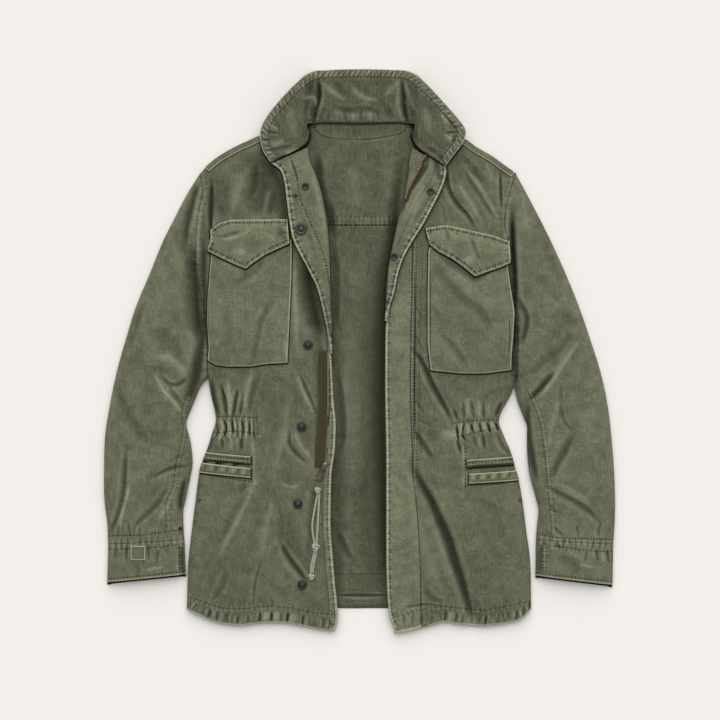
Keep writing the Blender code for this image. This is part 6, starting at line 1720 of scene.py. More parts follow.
def make_front(side):
    """A front, with the doubled piece along its edge."""
    arm = ("armhole", resample(body_side(armhole(side), side), BAND_STEP))
    seam_line = front_edge(side, "seam", BAND_STEP)
    tacked = seam_line[:, 1] > BAR_TACK_Y
    seams = [("felled", seam_line[tacked]), ("faint", seam_line[~tacked])] if side == "left" else []
    own_seams = named_seams("front_" + side)
    hem = front_hem(side)
    folds = named_folds("upper") + hem_ticks(hem, side)
    relief = Relief([arm, *seams] + own_seams, folds + puckers(arm[1], *ARMHOLE_PUCKERS), rumple(), 5,
                    [hem], laid_over_front(side))
    sew("front_" + side, front_outline(side), top_surface, -CLOTH, 0.0, "cotton", relief,
        ["back_body_cloth"])
    edge = front_edge(side, "edge")
    inset = SEAM_KINDS["edge"]["band"]
    if side == "left":
        node, low_hem = "fly_left", smooth_line(FLY_HEM, EDGE_STEP)
        free = resample(offset(edge, inset), BAND_STEP)[::-1]
    else:
        node, low_hem = "underlap_right", hem[hem[:, 0] > -UNDERLAP_HEM]
        free = resample(offset(edge, -inset), BAND_STEP)
    outline = closed(front_edge(side, "seam"), low_hem, edge[::-1])
    relief = Relief([*seams, ("edge", free)] + own_seams, folds + puckers(free, *FREE_EDGE_PUCKERS),
                    rumple() * 0.8, 6, [edge, low_hem], laid_over_front(side)[2:3], rim_reach=11.0)
    sew(node, outline, top_surface, -CLOTH, DOUBLE_CLOTH - CLOTH, "fly", relief, [f"front_{side}_cloth"])


def puckers(line, pitch, reach, width, depth, seed, lean=0.0):
    """Short uneven folds across a line, painted dark and pale in turn as shade and highlight."""
    rng = np.random.default_rng(seed)
    run = run_along(line)
    at = np.arange(pitch * 0.7, run[-1] - pitch * 0.5, pitch)
    at += rng.uniform(-PUCKER_SHIFT, PUCKER_SHIFT, len(at)) * pitch
    spots, ahead = (np.column_stack([np.interp(at, run, column) for column in values.T])
                    for values in (line, np.gradient(line, axis=0)))
    ahead /= np.linalg.norm(ahead, axis=1)[:, None]
    made = []
    for k, (spot, (x, y)) in enumerate(zip(spots, ahead)):
        slant = lean + rng.uniform(-PUCKER_SLANT, PUCKER_SLANT)
        way = np.array((-y + slant * x, x + slant * y))
        left, right = reach * rng.uniform(*PUCKER_REACHES, 2)
        strength = depth * rng.uniform(*PUCKER_DEPTHS) * PUCKER_TURNS[k % 2]
        path = (spot + way * left, spot, spot - way * right)
        made.append((width * rng.uniform(*PUCKER_WIDTHS), strength, path))
    return tuple(made)


def hem_ticks(hem, side):
    """Puckers across a front's hem, each drawn to a point at the stitches."""
    order = hem[:, 0].argsort()
    ticks = []
    for x, depth in zip(*HEM_TICKS.values()):
        if x * SIGN[side] > 0:
            low = np.interp(x, hem[order, 0], hem[order, 1])
            path = tuple((x + aside, low + up) for aside, up in HEM_TICK_PATH)
            ticks.append((HEM_TICK_WIDTH, HEM_TICK_DEPTH * depth, path))
    return tuple(ticks) + puckers(hem + (0.0, HEM_PUCKERS_UP), *HEM_EDGE_PUCKERS)


def draped(name, grid, thickness, finish, relief=None, flip=1.0):
    """A closed wall around a grid of points, half its thickness to each side."""
    down, across = np.gradient(grid, axis=0), np.gradient(grid, axis=1)
    normal = unit(np.cross(down, across) * flip)
    rows, cols = grid.shape[:2]
    flat = grid.reshape(-1, 3)
    way = normal.reshape(-1, 3)
    lift, marks = (relief or Relief()).at(flat[:, :2])
    shown = np.clip(way[:, 2], 0, 1)
    for values in marks.values():
        values *= shown.reshape((-1,) + (1,) * (values.ndim - 1)) > SHOWN_SIDE
    outer = flat + way * (thickness / 2 + lift * shown)[:, None]
    inner = flat - way * (thickness / 2)
    index = np.arange(rows * cols).reshape(rows, cols)
    a, b, c, d = index[:-1, :-1], index[1:, :-1], index[1:, 1:], index[:-1, 1:]
    quads = np.stack([a, b, c, d], axis=-1).reshape(-1, 4)
    count = rows * cols
    quads = quads.tolist()
    skins = [tuple(q) for q in quads] + [tuple(i + count for i in reversed(q)) for q in quads]
    rim = [*index[:, 0], *index[-1, 1:], *index[-2::-1, -1], *index[0, -2:0:-1]]
    for p, q in zip(rim, rim[1:] + rim[:1]):
        skins.append((int(q), int(p), int(p + count), int(q + count)))
    run, over = run_in_space(grid[:, cols // 2]), run_in_space(grid[rows // 2])
    grain = np.stack(np.broadcast_arrays(over[None, :], -run[:, None]), axis=-1).reshape(-1, 2)
    made = mesh_object(name, np.vstack([outer, inner]), skins, finish,
                       {key: np.concatenate([values, values * 0]) for key, values in marks.items()},
                       np.vstack([grain, grain]))
    return made, (over[-1], run[-1])


def make_lapel(side):
    """A lapel: the front rolled back on itself, its facing showing."""
    rows = lapel_rows(side, LAPEL_ROW)
    heading, width, radius = headings(rows)
    roll, lift = rows[:, :2], rows[:, 4]
    base = top_height(roll + heading * (radius + SEAM_GAP)[:, None]) - CLOTH / 2
    grid = []
    for angle in np.linspace(-math.pi / 2, math.pi / 2, ROLL_ANGLES):
        plan = roll + heading * (radius * (1 - math.cos(angle)))[:, None]
        grid.append(np.column_stack([plan, base + radius * (1 + math.sin(angle))]))
    for s in np.linspace(0, 1, LAPEL_COLUMNS)[1:]:
        plan = roll + heading * (radius + (width - radius) * s)[:, None]
        under = top_height(plan) - CLOTH / 2
        start = base + 2 * radius - under
        grid.append(np.column_stack([plan, under + start + (lift + LAPEL_TIP_LIFT - start) * soft_step(s)]))
    grid = np.stack(grid, axis=1)
    free = rows[:, 2:4]
    inset = SEAM_KINDS["edge"]["band"] * -SIGN[side]
    inward = offset(resample(free, BAND_STEP), inset)
    free_row = ("edge", inward[::-1] if side == "right" else inward)
    edge_folds = puckers(free_row[1], *LAPEL_PUCKERS)
    # The collar paints its shadow on the lapel.
    relief = Relief([free_row] + named_seams("lapel_" + side), named_folds("lapel") + edge_folds,
                    rumple(), 9, [free], [collar_loop()], rim_reach=8.0)
    made, size = draped(f"lapel_{side}_cloth", grid, LAPEL_CLOTH, finish_for("pocket"), relief,
                        flip=SIGN[side])
    sew_rows(made, relief)
    sew_on(made, ["lapel_" + side], size=size)


def make_collar():
    outer = smooth_line(columns(COLLAR_EDGE, "x", "y"), EDGE_STEP)
    rows = [("collar", resample(offset(outer, -COLLAR_SEAM_DEPTH), BAND_STEP))] + named_seams("collar")
    ribs = puckers(offset(outer, -RIB_DEPTH), *COLLAR_RIBS)
    relief = Relief(rows, named_folds("collar") + ribs, rumple() * 1.6, 11, [outer])
    sew("collar", collar_loop(), collar_surface, -COLLAR_CLOTH, 0.0, "collar", relief,
        ["lapel_right_cloth", "lapel_left_cloth"], soft_rim=1.2)


def sleeve_outline(side):
    return closed(side_line(SLEEVE_OUTER, side), straight(cuff_corner(side, 0), cuff_corner(side, 2)),
                  side_line(SLEEVE_INNER, side)[::-1], armhole(side)[::-1])


def cuff_outline(side, longer):
    """A half of a cuff, its hem longer by an amount."""
    down = np.array([0.0, -longer])
    return closed(straight(cuff_corner(side, 0), cuff_corner(side, 2)),
                  straight(cuff_corner(side, 3) + down, cuff_corner(side, 1) + down))


def make_sleeve(side):
    arm = ("armhole", resample(body_side(armhole(side), side), BAND_STEP))
    folds = named_folds("upper") + puckers(arm[1], *ARMHOLE_PUCKERS) + cuff_puckers(side)
    relief = Relief([arm] + named_seams("sleeve_" + side), folds, rumple(), 13)
    outline, name = sleeve_outline(side), f"sleeve_{side}_"
    sew(name + "upper", outline, top_surface, -CLOTH, 0.0, "sleeve", relief, [name + "under_cloth"],
        piece=name + "cloth")
    sew(name + "under", outline, under_surface, 0.0, CLOTH, "sleeve", step=BACK_STEP)


def cuff_puckers(side):
    """Puckers that cross the seam between a sleeve and its cuff."""
    return puckers(straight(cuff_corner(side, 0), cuff_corner(side, 2)), *CUFF_PUCKERS)


def make_cuff(side):
    hem = straight(cuff_corner(side, 1), cuff_corner(side, 3))
    row = resample(offset(hem, -SIGN[side] * SEAM_KINDS["edge"]["band"]), BAND_STEP)
    rows = [("edge", row[::int(SIGN[side])])] + named_seams("cuff_" + side)
    relief = Relief(rows, named_folds("cuff") + cuff_puckers(side), rumple(), 17, [hem])
    name = f"cuff_{side}_"
    sew(name + "upper", cuff_outline(side, 0.0), top_surface, -DOUBLE_CLOTH, 0.0, "sleeve", relief,
        [name + "under_cloth"], piece=name + "cloth")
    # The under cuff's strip below the upper hem is painted dark, as shadow inside the cuff.
    sew(name + "under", cuff_outline(side, CUFF_UNDER), under_surface, 0.0, DOUBLE_CLOTH, "sleeve",
        Relief(under=[cuff_outline(side, CUFF_SHADE)]), step=BACK_STEP)


def pocket_wall(xy, distance):
    """A pocket bag's outer face: from its turned edge up to a slightly full middle."""
    crown = POCKET_CROWN * soft_step(distance / POCKET_CROWN_RUN)
    rim = POCKET_EDGE_SHARE + (1 - POCKET_EDGE_SHARE) * quarter_round(distance / POCKET_RIM_RUN)
    return OVERLAY_GAP + POCKET_RIM * rim + crown


def flap_lift(side):
    rows = CHEST_FLAP[side]
    sewn = Track(columns(rows, "x", "y", SIGN[side])[rows["lift"] < 0.5])
    return lambda xy, distance: SEAM_GAP + FLAP_LIFT * soft_step(sewn.gap(xy) / FLAP_LIFT_RUN)


def make_pockets(side):
    """Chest pocket with its flap, and the hand pocket's band and welt."""
    front = f"front_{side}_cloth"
    bag, flap = flat_piece(CHEST_POCKET, side), flat_piece(CHEST_FLAP, side)
    # Pieces on top paint their shadow: the flap on the pocket bag, and the lapel on the flap.
    relief = Relief((), named_folds("pocket"), rumple(), 19, [ringed(bag)], [flap])
    sew("chest_pocket_" + side, bag, top_surface, OVERLAY_GAP, pocket_wall, "pocket", relief, [front])
    rows = CHEST_FLAP[side]
    sewn = np.count_nonzero(rows["lift"] < 0.5)
    inset = SEAM_KINDS["turned"]["band"]
    sides = [edge_row("turned", stretch(flap, rows, *ends, side), inset)
             for ends in ((0, sewn), (sewn, None))]
    ring = ringed(flap)
    edge_folds = puckers(offset(ring, FLAP_PUCKER_DEPTH), *FLAP_PUCKERS)
    relief = Relief(sides, named_folds("flap") + edge_folds, rumple(), 23, [ring], [lapel_loop(side)])
    lift = flap_lift(side)
    sew("chest_flap_" + side, flap, top_surface, lift,
        lambda xy, distance: lift(xy, distance) + DOUBLE_CLOTH, "flap", relief,
        [f"chest_pocket_{side}_cloth"])
    for part in ("band", "welt"):
        top, low = pocket_strip(part, side)
        shown_top = top[::int(SIGN[side])]
        if part == "band":
            rows = [edge_row("edge", shown_top, inset) for inset in BAND_INSETS]
            relief = Relief(rows, mouth_shade(low), 0.0, 29, [top])
        else:
            relief = Relief([edge_row("single", shown_top, WELT_INSET)], welt_folds(top, side), rumple(),
                            29, [top, low])
        sew(f"hand_pocket_{part}_{side}", closed(top, low[::-1]), top_surface, OVERLAY_GAP,
            OVERLAY_GAP + CLOTH, "cotton", relief, [front])


def mouth_shade(low):
    """The dark line of a pocket's mouth, along a band's lower edge."""
    return ((*MOUTH_FOLD, tuple(low[::6] + MOUTH_DROP)),)


def welt_folds(top, side):
    """Soft slanting folds across a welt."""
    spots = resample(top, WELT_FOLD_PITCH)[1:-1]
    width, depth = WELT_FOLD
    lean = np.array(WELT_FOLD_LEAN)
    return tuple((width, depth * (-1) ** k, (spot + WELT_FOLD_TOP, spot + lean * 0.6, spot + lean))
                 for k, spot in enumerate(spots))


def hand_pocket_edge(side, inner_x, inner_y, outer_y):
    """A line in from the side seam, following the front's roundness."""
    line = side_line(BODY_SIDE, side, 1.0)
    side_x = np.interp(-outer_y, -line[:, 1], np.abs(line[:, 0])) - HAND_POCKET_INSET
    return straight((SIGN[side] * side_x, outer_y), (SIGN[side] * inner_x, inner_y))


def make_straps():
    """Epaulette edges along the shoulders, and the small patch on the right cuff."""
    for side in SIGN:
        line = shoulder_line(side)
        along = np.abs(line[:, 0])
        near, far = EPAULETTE_SPAN
        at = np.arange(near, far + 1.0, EDGE_STEP)
        line = np.column_stack([SIGN[side] * at, np.interp(at, along, line[:, 1])])
        outer, low = (offset(line, -SIGN[side] * depth) for depth in (EPAULETTE_EDGE, EPAULETTE_DEPTH))
        loop = closed(outer, low[::-1])
        relief = Relief([edge_row("single", loop, EPAULETTE_INSET, True)], seed=31, rims=[ringed(loop)],
                        rim_reach=3.0)
        sew("epaulette_" + side, loop, top_surface, EPAULETTE_GAP, EPAULETTE_GAP + DOUBLE_CLOTH, "pocket",
            relief, [f"front_{side}_cloth"])
    patch = closed(straight(*CUFF_PATCH))
    relief = Relief([edge_row("single", patch, PATCH_INSET, True)], seed=37, rims=[ringed(patch)])
    sew("cuff_patch_right", patch, top_surface, SEAM_GAP, SEAM_GAP + PATCH_CLOTH, "sleeve", relief,
        ["cuff_right_cloth"], piece="cuff_patch_cloth")


# ---------------------------------------------------------------- zip, studs and cord

def ring_faces(rings, sides):
    """Faces between neighbouring rings of points, and one over each end."""
    faces = []
    for a in range((rings - 1) * sides):
        b = a + 1 if (a + 1) % sides else a + 1 - sides
        faces.append((a, b, b + sides, a + sides))
    return faces + [tuple(reversed(range(sides))), tuple(range((rings - 1) * sides, rings * sides))]


def turned(name, profile, place, axis, finish, sides=36):
    """A round piece: (radius, height) rows turned about an axis, standing at a place."""
    turn = np.array(Vector(axis).normalized().to_track_quat("Z", "Y").to_matrix())
    angle = np.arange(sides) * math.tau / sides
    rings = [np.column_stack([r * np.cos(angle), r * np.sin(angle), np.full(sides, h)]) for r, h in profile]
    points = np.vstack(rings) @ turn.T + place
    heights = np.array([h for _, h in profile])
    # The profile's ridges are marked for the paler tone, rubbing and painted highlight
    ridge = np.clip(1.6 * (heights - np.roll(heights, 1)) * (heights - np.roll(heights, -1)), 0, 1)
    return mesh_object(name, points, ring_faces(len(profile), sides), finish,
                       {"wear_and_highlight": np.repeat(ridge, sides)}, points[:, :2], sharp=40)


def ridden(made, node, body=JACKET):
    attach(made, body)
    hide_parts(node)


def set_stud(node, carrier, x, y, shape):
    point, normal = drop(PIECES[carrier], [(x, y)])[0]
    finish = finish_for("sockets" if shape == "socket" else "studs")
    made = turned(node + "_turned", STUD_SHAPES[shape], point + normal * PART_LIFT, normal + UPRIGHT, finish)
    ridden(made, node)


def make_studs():
    """Press studs on the front edge, sockets on the lapels, small studs at the side seams."""
    for k, (x, y) in enumerate(zip(*FRONT_STUDS.values()), 1):
        set_stud(f"front_stud_{k}", "front_right_cloth", x, y, "stud")
    for node, (side, x, y, shape) in LAPEL_STUDS.items():
        set_stud(node, f"lapel_{side}_cloth", x, y, shape)
    for side, x in SIDE_STUD_X.items():
        set_stud("side_stud_" + side, f"front_{side}_cloth", x, SIDE_STUD_Y, "small")


def make_eyelets():
    """Eyelets in the right front's edge, and the button at the right cuff."""
    for name, carriers, x, y, size in EYELETS:
        hits = [drop(PIECES[carrier], [(x, y)])[0] for carrier in carriers]
        point, normal = next(hit for hit in hits if hit)
        profile = [(radius * size, height * size) for radius, height in STUD_SHAPES["socket"]]
        made = turned(name, profile, point + normal * PART_LIFT, normal + UPRIGHT, finish_for("studs"))
        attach(made, JACKET)


def make_zip():
    """The zip's two tapes with their teeth, the slider and the pull tab."""
    outline = closed(straight(*columns(ZIP_TAPE_RIGHT, "x", "y")))
    covered = columns(ZIP_TAPE_RIGHT, "x", "y")[:5]
    # The tape's half under the cloth's edge gets painted shade
    laid_over = Relief(folds=[(TAPE_COVERED, 1.0, covered)])
    sew("zip_tape_right", outline, top_surface, OVERLAY_GAP, OVERLAY_GAP + TAPE_CLOTH, "tape", laid_over,
        ["front_right_cloth"], "zip_tape", "zip_tape_right_woven", soft_rim=0.3)
    teeth_right = smooth_line(np.array(TEETH_RIGHT), 1.0)
    middle = smooth_line(columns(ZIP_TAPE_LEFT, "x", "y"), 2.0)
    ahead = unit(np.gradient(middle, axis=0))
    across = np.column_stack([ahead[:, 1], -ahead[:, 0]])
    lapel = PIECES["lapel_left_cloth"]
    stripes = []
    for shift in np.linspace(-TAPE_HALF, TAPE_HALF, 5):
        hits = drop(lapel, middle + across * shift)
        stripes.append(np.array([point + normal * TAPE_LIFT for point, normal in hits]))
    made, size = draped("zip_tape_left_woven", np.stack(stripes, axis=1), TAPE_CLOTH, finish_for("tape"),
                        flip=-1.0)
    sew_on(made, ["zip_tape_left"], size=size)
    lines = [(PIECES["underlap_right_cloth"], teeth_right), (PIECES["front_right_cloth"], teeth_right),
             (PIECES["zip_tape_left_woven"], middle + across * TEETH_ASIDE)]
    run_teeth("zip_teeth", lines)
    for node in ("zip_slider", "zip_pull_tab"):
        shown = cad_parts[node]
        shown.data.materials.clear()
        shown.data.materials.append(finish_for("brass"))


def path_mesh(name, routes):
    """A mesh of open lines only, one for each route in millimetres."""
    points, edges = [], []
    for route in routes:
        first = len(points)
        points += [tuple(p * MM) for p in route]
        edges += [(k, k + 1) for k in range(first, len(points) - 1)]
    mesh = bpy.data.meshes.new(name)
    mesh.from_pydata(points, edges, [])
    return linked(name, mesh)


def lay_lines(lines, lift):
    """Lines in plan dropped onto pieces: an open route for each unbroken stretch."""
    routes = []
    for carrier, line in lines:
        route = []
        for hit in drop(carrier, line) + [None]:
            jump = route and hit and np.linalg.norm(hit[0] - route[-1]) > 5.0
            if hit is None or jump:
                if len(route) > 3:
                    routes.append(np.array(route))
                route = []
            if hit is not None:
                route.append(hit[0] + hit[1] * lift)
    return routes


class Nodes:
    """A Geometry Nodes tree with named inputs, built a node at a time."""

    def __init__(self, name, **sizes_in):
        self.tree = bpy.data.node_groups.new(name, "GeometryNodeTree")
        face = self.tree.interface
        face.new_socket("Geometry", in_out="INPUT", socket_type="NodeSocketGeometry")
        face.new_socket("Geometry", in_out="OUTPUT", socket_type="NodeSocketGeometry")
        self.keys = {}
        for label, value in sizes_in.items():
            kind = "NodeSocketMaterial" if isinstance(value, bpy.types.Material) else "NodeSocketFloat"
            socket = face.new_socket(label, in_out="INPUT", socket_type=kind)
            self.keys[label] = (socket.identifier, value)
        self.source = self.tree.nodes.new("NodeGroupInput")
        self.sink = self.tree.nodes.new("NodeGroupOutput")

    def add(self, kind, inputs=None, **settings):
        made = self.tree.nodes.new(kind)
        for key, value in settings.items():
            setattr(made, key, value)
        for key, value in (inputs or {}).items():
            if isinstance(value, bpy.types.NodeSocket):
                self.tree.links.new(value, made.inputs[key])
            else:
                made.inputs[key].default_value = value
        return made

    def given(self, label):
        return self.source.outputs[label]

    def combined(self, *labels):
        """Three of the inputs as one vector."""
        return self.add("ShaderNodeCombineXYZ", dict(zip("XYZ", map(self.given, labels)))).outputs[0]

    def run_along(self, instance):
        """An instance at every Pitch of the source's lines, turned along them and made real."""
        curve = self.add("GeometryNodeMeshToCurve", {"Mesh": self.source.outputs[0]})
        spots = self.add("GeometryNodeCurveToPoints",
                         {"Curve": curve.outputs[0], "Length": self.given("Pitch")}, mode="LENGTH")
        aim = self.add("FunctionNodeAlignRotationToVector", {"Vector": spots.outputs["Tangent"]}, axis="X",
                       pivot_axis="Z")
        placed = self.add("GeometryNodeInstanceOnPoints",
                          {"Points": spots.outputs["Points"], "Rotation": aim.outputs[0], **instance})
        real = self.add("GeometryNodeRealizeInstances", {"Geometry": placed.outputs[0]})
        dressed = self.add("GeometryNodeSetMaterial",
                           {"Geometry": real.outputs[0], "Material": self.given("Finish")})
        self.tree.links.new(dressed.outputs[0], self.sink.inputs[0])

    def run(self, name, source):
        """The tree's result on an object as a plain mesh object; the source is removed."""
        modifier = source.modifiers.new(self.tree.name, "NODES")
        modifier.node_group = self.tree
        for identifier, value in self.keys.values():
            modifier[identifier] = value
        bpy.context.view_layer.update()
        graph = bpy.context.evaluated_depsgraph_get()
        mesh = bpy.data.meshes.new_from_object(source.evaluated_get(graph))
        source.modifiers.remove(modifier)
        bpy.data.objects.remove(source)
        mesh.name = name
        return linked(name, mesh, True)


def run_teeth(name, lines):
    """Metal teeth: a small rounded block at even steps along the tapes' edges."""
    nodes = Nodes("zip_teeth_tree", Pitch=sizes().tooth_pitch, Finish=finish_for("teeth"),
                  **{label: size * MM for label, size in TOOTH.items()})
    size = nodes.combined("Length", "Width", "Height")
    block = nodes.add("GeometryNodeMeshCube", {"Size": size})
    head = nodes.add("GeometryNodeMeshUVSphere", {"Segments": 8, "Rings": 4, "Radius": 0.9 * MM})
    shift = nodes.add("GeometryNodeTransform", {"Geometry": head.outputs[0],
                                                "Translation": (0.0, 0.8 * MM, 0.3 * MM)})
    tooth = nodes.add("GeometryNodeJoinGeometry")
    nodes.tree.links.new(block.outputs[0], tooth.inputs[0])
    nodes.tree.links.new(shift.outputs[0], tooth.inputs[0])
    nodes.run_along({"Instance": tooth.outputs[0]})
    made = nodes.run(name, path_mesh("teeth_lines", lay_lines(lines, TEETH_LIFT)))
    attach(made, JACKET)


STITCH_ROWS = []


def sew_rows(piece, relief):
    """Note a panel's needle lines, for the stitches to follow."""
    for kind, line in relief.rows:
        band = SEAM_KINDS[kind]["band"]
        for shift in ((0.0, band) if band else (0.0,)):
            STITCH_ROWS.append((piece, offset(line, shift) if shift else line))


def make_stitches():
    """Every row of stitches, laid on the cloth and sewn in one piece."""
    looks = sizes()
    nodes = Nodes("stitch_tree", Pitch=looks.stitch_pitch, Length=looks.stitch_length / 2,
                  Width=looks.thread_width / 2, Finish=finish_for("thread"))
    ball = nodes.add("GeometryNodeMeshIcoSphere", {"Radius": 1.0, "Subdivisions": 1})
    nodes.run_along({"Instance": ball.outputs[0], "Scale": nodes.combined("Length", "Width", "Width")})
    made = nodes.run("stitching", path_mesh("stitch_lines", lay_lines(STITCH_ROWS, STITCH_LIFT)))
    made.data.shade_smooth()
    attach(made, JACKET)


def tube(name, route, radius, finish, sides=12, plies=3, twist=0.9, ply=0.12):
    """A cord along a route, its surface laid up in twisted plies."""
    ahead = unit(np.gradient(route, axis=0))
    side = unit(np.cross(ahead, (0.0, 0.0, 1.0)))
    up = np.cross(side, ahead)
    run = run_in_space(route)
    angle = np.arange(sides) * math.tau / sides
    swell = radius * (1 - ply + ply * np.abs(np.cos((plies * angle[None, :] - twist * run[:, None]) / 2)) * 2)
    ring = side[:, None] * np.cos(angle)[None, :, None] + up[:, None] * np.sin(angle)[None, :, None]
    points = (route[:, None] + ring * swell[:, :, None]).reshape(-1, 3)
    over = angle / math.tau * radius * 6.28
    grain = np.stack(np.broadcast_arrays(over[None, :], run[:, None]), axis=-1).reshape(-1, 2)
    return mesh_object(name, points, ring_faces(len(route), sides), finish, grain=grain, sharp=80)


def knot_route(long, wide, high, turn):
    """A trefoil drawn out into an overhand knot."""
    t = np.linspace(0, math.tau, 97)[:-1]
    x = (np.sin(t) + 2 * np.sin(2 * t)) / 2.6 * wide
    y = (np.cos(t) - 2 * np.cos(2 * t)) / 2.8 * long
    z = -np.sin(3 * t) * high
    turned_x = x * math.cos(turn) - y * math.sin(turn)
    turned_y = x * math.sin(turn) + y * math.cos(turn)
    loop = np.column_stack([turned_x, turned_y, z])
    return np.vstack([loop, loop[:2]])


def make_cord():
    """The pull cord: two strands through three knots, hanging from the pull tab's eye."""
    names = ("knot_top", "knot_middle", "knot_end")
    finish = finish_for("cord")
    places = {}
    for name, x, y, long, wide in zip(names, *CORD_KNOTS.values()):
        ground = top_height(np.array([(x, y)]))[0]
        place = np.array([x, y, ground + KNOT_LIFT])
        places[name] = place
        route = knot_route(long - CORD_RADIUS, wide - CORD_RADIUS, KNOT_RISE, KNOT_TURN) + place
        made = tube(name + "_tied", route, KNOT_CORD, finish, sides=10)
        ridden(made, name, ZIP_PULL if name == "knot_top" else JACKET)
    top = places["knot_top"]
    for side in ("a", "b"):
        rows = [columns(CORD_STRANDS[f"{part}_{side}"], "x", "y") for part in ("upper", "lower")]
        plan = smooth_line(np.vstack([top[:2], *rows]), CORD_STEP)
        height = top_height(plan) + CORD_RADIUS + CORD_LIFT
        through = bell((plan[:, 1] - places["knot_middle"][1]) / KNOT_RUN)
        start = soft_step((plan[:, 1] - top[1] + CORD_START_RUN) / CORD_START_RUN)
        height = height + (KNOT_LIFT - CORD_RADIUS - CORD_LIFT) * np.maximum(through * 0.4, start)
        route = np.column_stack([plan, height])
        made = tube("pull_cord_strand_" + side, route, CORD_RADIUS, finish)
        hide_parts(f"pull_cord_upper_{side}", f"pull_cord_lower_{side}")
        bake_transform(made)


# ---------------------------------------------------------------- stage

def light(name, kind, energy, colour, place, aim=(0.0, 0.0, 0.0), **settings):
    lamp = bpy.data.lights.new(name, kind)
    lamp.energy, lamp.color = energy, colour
    for key, value in settings.items():
        setattr(lamp, key, value)
    made = linked(name, lamp)
    made.location = place
    made.rotation_euler = (Vector(aim) - Vector(place)).to_track_quat("-Z", "Y").to_euler()


def set_stage():
    looks = sizes()
    scene = bpy.context.scene
    shape = bmesh.new()
    bmesh.ops.create_grid(shape, x_segments=1, y_segments=1, size=3.0)
    mesh = bpy.data.meshes.new("floor")
    shape.to_mesh(mesh)
    shape.free()
    mesh.materials.append(finish_for("floor"))
    linked("floor", mesh)
    world = bpy.data.worlds.new("studio")
    world.use_nodes = True
    sky = world.node_tree.nodes["Background"]
    sky.inputs["Color"].default_value = (1.0, 0.99, 0.975, 1.0)
    sky.inputs["Strength"].default_value = looks.fill_light
    scene.world = world
    light("window", "SUN", looks.key_light, (1.0, 0.985, 0.96), (0.15, 1.95, 1.9), angle=math.radians(75.0))
    lens = bpy.data.cameras.new("camera")
    lens.sensor_width = SENSOR
    lens.lens = SENSOR * CAMERA_HEIGHT / CAMERA_FIELD
    scene.camera = linked("camera", lens)
    scene.camera.location = (*CAMERA_CENTRE, CAMERA_HEIGHT)
    scene.view_settings.view_transform = "Standard"


# ---------------------------------------------------------------- add-on

def length(name, description, default, **limits):
    return FloatProperty(name=name, description=description, default=default, subtype="DISTANCE",
                         unit="LENGTH", precision=5, **limits)


def colour(name, description, default):
    return FloatVectorProperty(name=name, description=description, default=default, size=3,
                               subtype="COLOR", min=0.0, max=1.0)


def share(name, description, default):
    return FloatProperty(name=name, description=description, default=default, subtype="FACTOR",
                         min=0.0, max=3.0)


class JacketLooks(bpy.types.PropertyGroup):
    """Sizes and colours of the jacket's cloth, thread and light"""
    mesh_step: length("Mesh step", "Distance between the cloth's inner points", 0.0027)
    rumple_height: length("Rumple height", "How high the cloth's soft rumples stand", 0.00045)
    weave_pitch: length("Weave pitch", "Distance between two ribs of the twill", 0.0009)
    stitch_pitch: length("Stitch pitch", "Distance from one stitch to the next", 0.0030)
    stitch_length: length("Stitch length", "Length of one stitch", 0.0023)
    thread_width: length("Thread width", "Width of the sewing thread", 0.0006)
    tooth_pitch: length("Tooth pitch", "Distance between two teeth of the zip", 0.0024)
    # Share of the pale marks, which are rubbing and painted highlight
    wear_and_highlight: share("Wear", "How much the ridges are rubbed pale", 0.95)
    # Share of the painted shade in seams, folds and under the pieces on top
    painted_shade: share("Grooves", "How much the seams' grooves are darkened", 0.86)
    cotton_colour: colour("Cotton", "Dyed cotton of the fronts", (0.125, 0.131, 0.079))
    sleeve_colour: colour("Sleeves", "Dyed cotton of the sleeves", (0.147, 0.154, 0.096))
    pocket_colour: colour("Pockets", "Dyed cotton of the pockets", (0.156, 0.163, 0.102))
    collar_colour: colour("Collar", "Dyed cotton of the collar", (0.090, 0.094, 0.056))
    inside_colour: colour("Inside", "Cotton of the back's inside", (0.103, 0.108, 0.064))
    # Colour of the pale marks: rubbing and painted highlight
    worn_and_highlight_colour: colour("Worn cotton", "Where the dye is rubbed off", (0.330, 0.340, 0.240))
    # Colour of the painted shade and shadow
    painted_shade_colour: colour("Grooves", "Deep in the seams", (0.022, 0.024, 0.012))
    thread_colour: colour("Thread", "Sewing thread", (0.105, 0.108, 0.068))
    floor_colour: colour("Floor", "Pale floor", (0.913, 0.898, 0.879))
    key_light: share("Key light", "Strength of the soft window light", 2.67)
    fill_light: share("Fill light", "Strength of the light from all round", 0.40)


def sizes():
    return bpy.context.scene.jacket_looks


class JACKET_OT_back(bpy.types.Operator):
    """Back of the jacket, its inside showing"""
    bl_idname = "jacket.make_back"
    bl_label = "Back"

    def execute(self, context):
        make_back()
        return {"FINISHED"}


class JACKET_OT_fronts(bpy.types.Operator):
    """Both fronts with the fly and the underlap"""
    bl_idname = "jacket.make_fronts"
    bl_label = "Fronts"

    def execute(self, context):
        for side in SIGN:
            make_front(side)
        return {"FINISHED"}


class JACKET_OT_lapels(bpy.types.Operator):
    """Lapels rolled back over the fronts"""
    bl_idname = "jacket.make_lapels"
    bl_label = "Lapels"

    def execute(self, context):
        for side in SIGN:
            make_lapel(side)
        return {"FINISHED"}


class JACKET_OT_collar(bpy.types.Operator):
    """Turned-out collar with its stitched band"""
    bl_idname = "jacket.make_collar"
    bl_label = "Collar"

    def execute(self, context):
        make_collar()
        return {"FINISHED"}


class JACKET_OT_sleeves(bpy.types.Operator):
    """Sleeves with their cuffs"""
    bl_idname = "jacket.make_sleeves"
    bl_label = "Sleeves"

    def execute(self, context):
        for side in SIGN:
            make_sleeve(side)
            make_cuff(side)
        return {"FINISHED"}


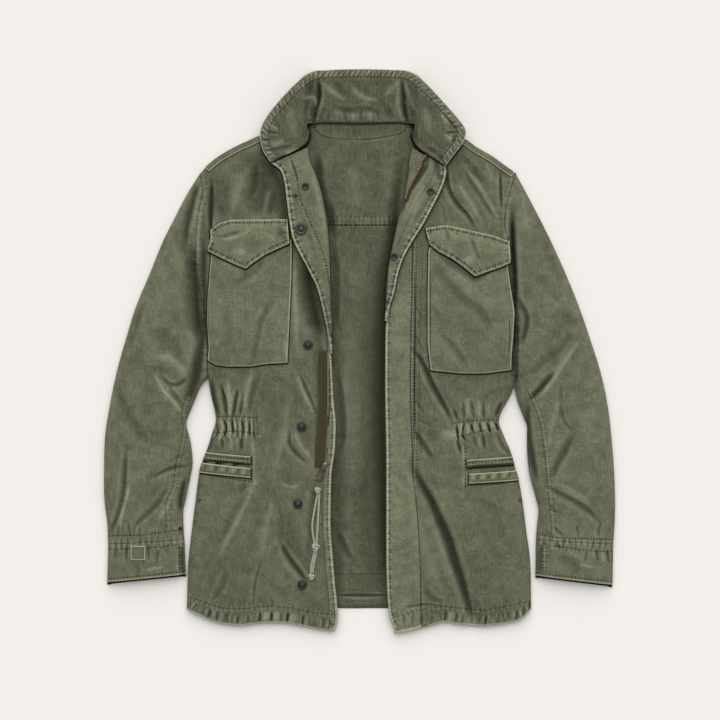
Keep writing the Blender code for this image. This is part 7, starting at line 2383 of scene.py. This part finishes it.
class JACKET_OT_pockets(bpy.types.Operator):
    """Chest pockets with flaps, and hand pockets"""
    bl_idname = "jacket.make_pockets"
    bl_label = "Pockets"

    def execute(self, context):
        for side in SIGN:
            make_pockets(side)
        return {"FINISHED"}


class JACKET_OT_straps(bpy.types.Operator):
    """Epaulette edges and the cuff patch"""
    bl_idname = "jacket.make_straps"
    bl_label = "Straps"

    def execute(self, context):
        make_straps()
        return {"FINISHED"}


class JACKET_OT_zip(bpy.types.Operator):
    """Zip tapes, teeth, slider and pull tab"""
    bl_idname = "jacket.make_zip"
    bl_label = "Zip"

    def execute(self, context):
        make_zip()
        return {"FINISHED"}


class JACKET_OT_studs(bpy.types.Operator):
    """Press studs, sockets, side studs and eyelets"""
    bl_idname = "jacket.make_studs"
    bl_label = "Press studs"

    def execute(self, context):
        make_studs()
        make_eyelets()
        return {"FINISHED"}


class JACKET_OT_cord(bpy.types.Operator):
    """Knotted cord on the zip's pull tab"""
    bl_idname = "jacket.make_cord"
    bl_label = "Pull cord"

    def execute(self, context):
        make_cord()
        return {"FINISHED"}


class JACKET_OT_stitches(bpy.types.Operator):
    """Rows of stitches along the seams"""
    bl_idname = "jacket.make_stitches"
    bl_label = "Stitches"

    def execute(self, context):
        make_stitches()
        return {"FINISHED"}


class JACKET_OT_stage(bpy.types.Operator):
    """Pale floor, soft window light and camera"""
    bl_idname = "jacket.make_stage"
    bl_label = "Stage"

    def execute(self, context):
        set_stage()
        return {"FINISHED"}


OPERATORS = (JACKET_OT_back, JACKET_OT_fronts, JACKET_OT_lapels, JACKET_OT_collar,
             JACKET_OT_sleeves, JACKET_OT_pockets, JACKET_OT_straps, JACKET_OT_zip,
             JACKET_OT_studs, JACKET_OT_cord, JACKET_OT_stitches, JACKET_OT_stage)


class JACKET_PT_cloth(bpy.types.Panel):
    """The jacket's sizes and colours, and its pieces in the order they are made"""
    bl_label = "Field Jacket"
    bl_idname = "JACKET_PT_cloth"
    bl_space_type = "VIEW_3D"
    bl_region_type = "UI"
    bl_category = "Jacket"

    def draw(self, context):
        column = self.layout.column()
        for key in JacketLooks.__annotations__:
            column.prop(context.scene.jacket_looks, key)
        for step in OPERATORS:
            column.operator(step.bl_idname)


CLASSES = (JacketLooks, *OPERATORS, JACKET_PT_cloth)


def register():
    for item in CLASSES:
        bpy.utils.register_class(item)
    bpy.types.Scene.jacket_looks = PointerProperty(type=JacketLooks)


def unregister():
    del bpy.types.Scene.jacket_looks
    for item in reversed(CLASSES):
        bpy.utils.unregister_class(item)


def main():
    register()
    for step in OPERATORS:
        group, name = step.bl_idname.split(".")
        getattr(getattr(bpy.ops, group), name)()


if __name__ == "__main__":
    main()
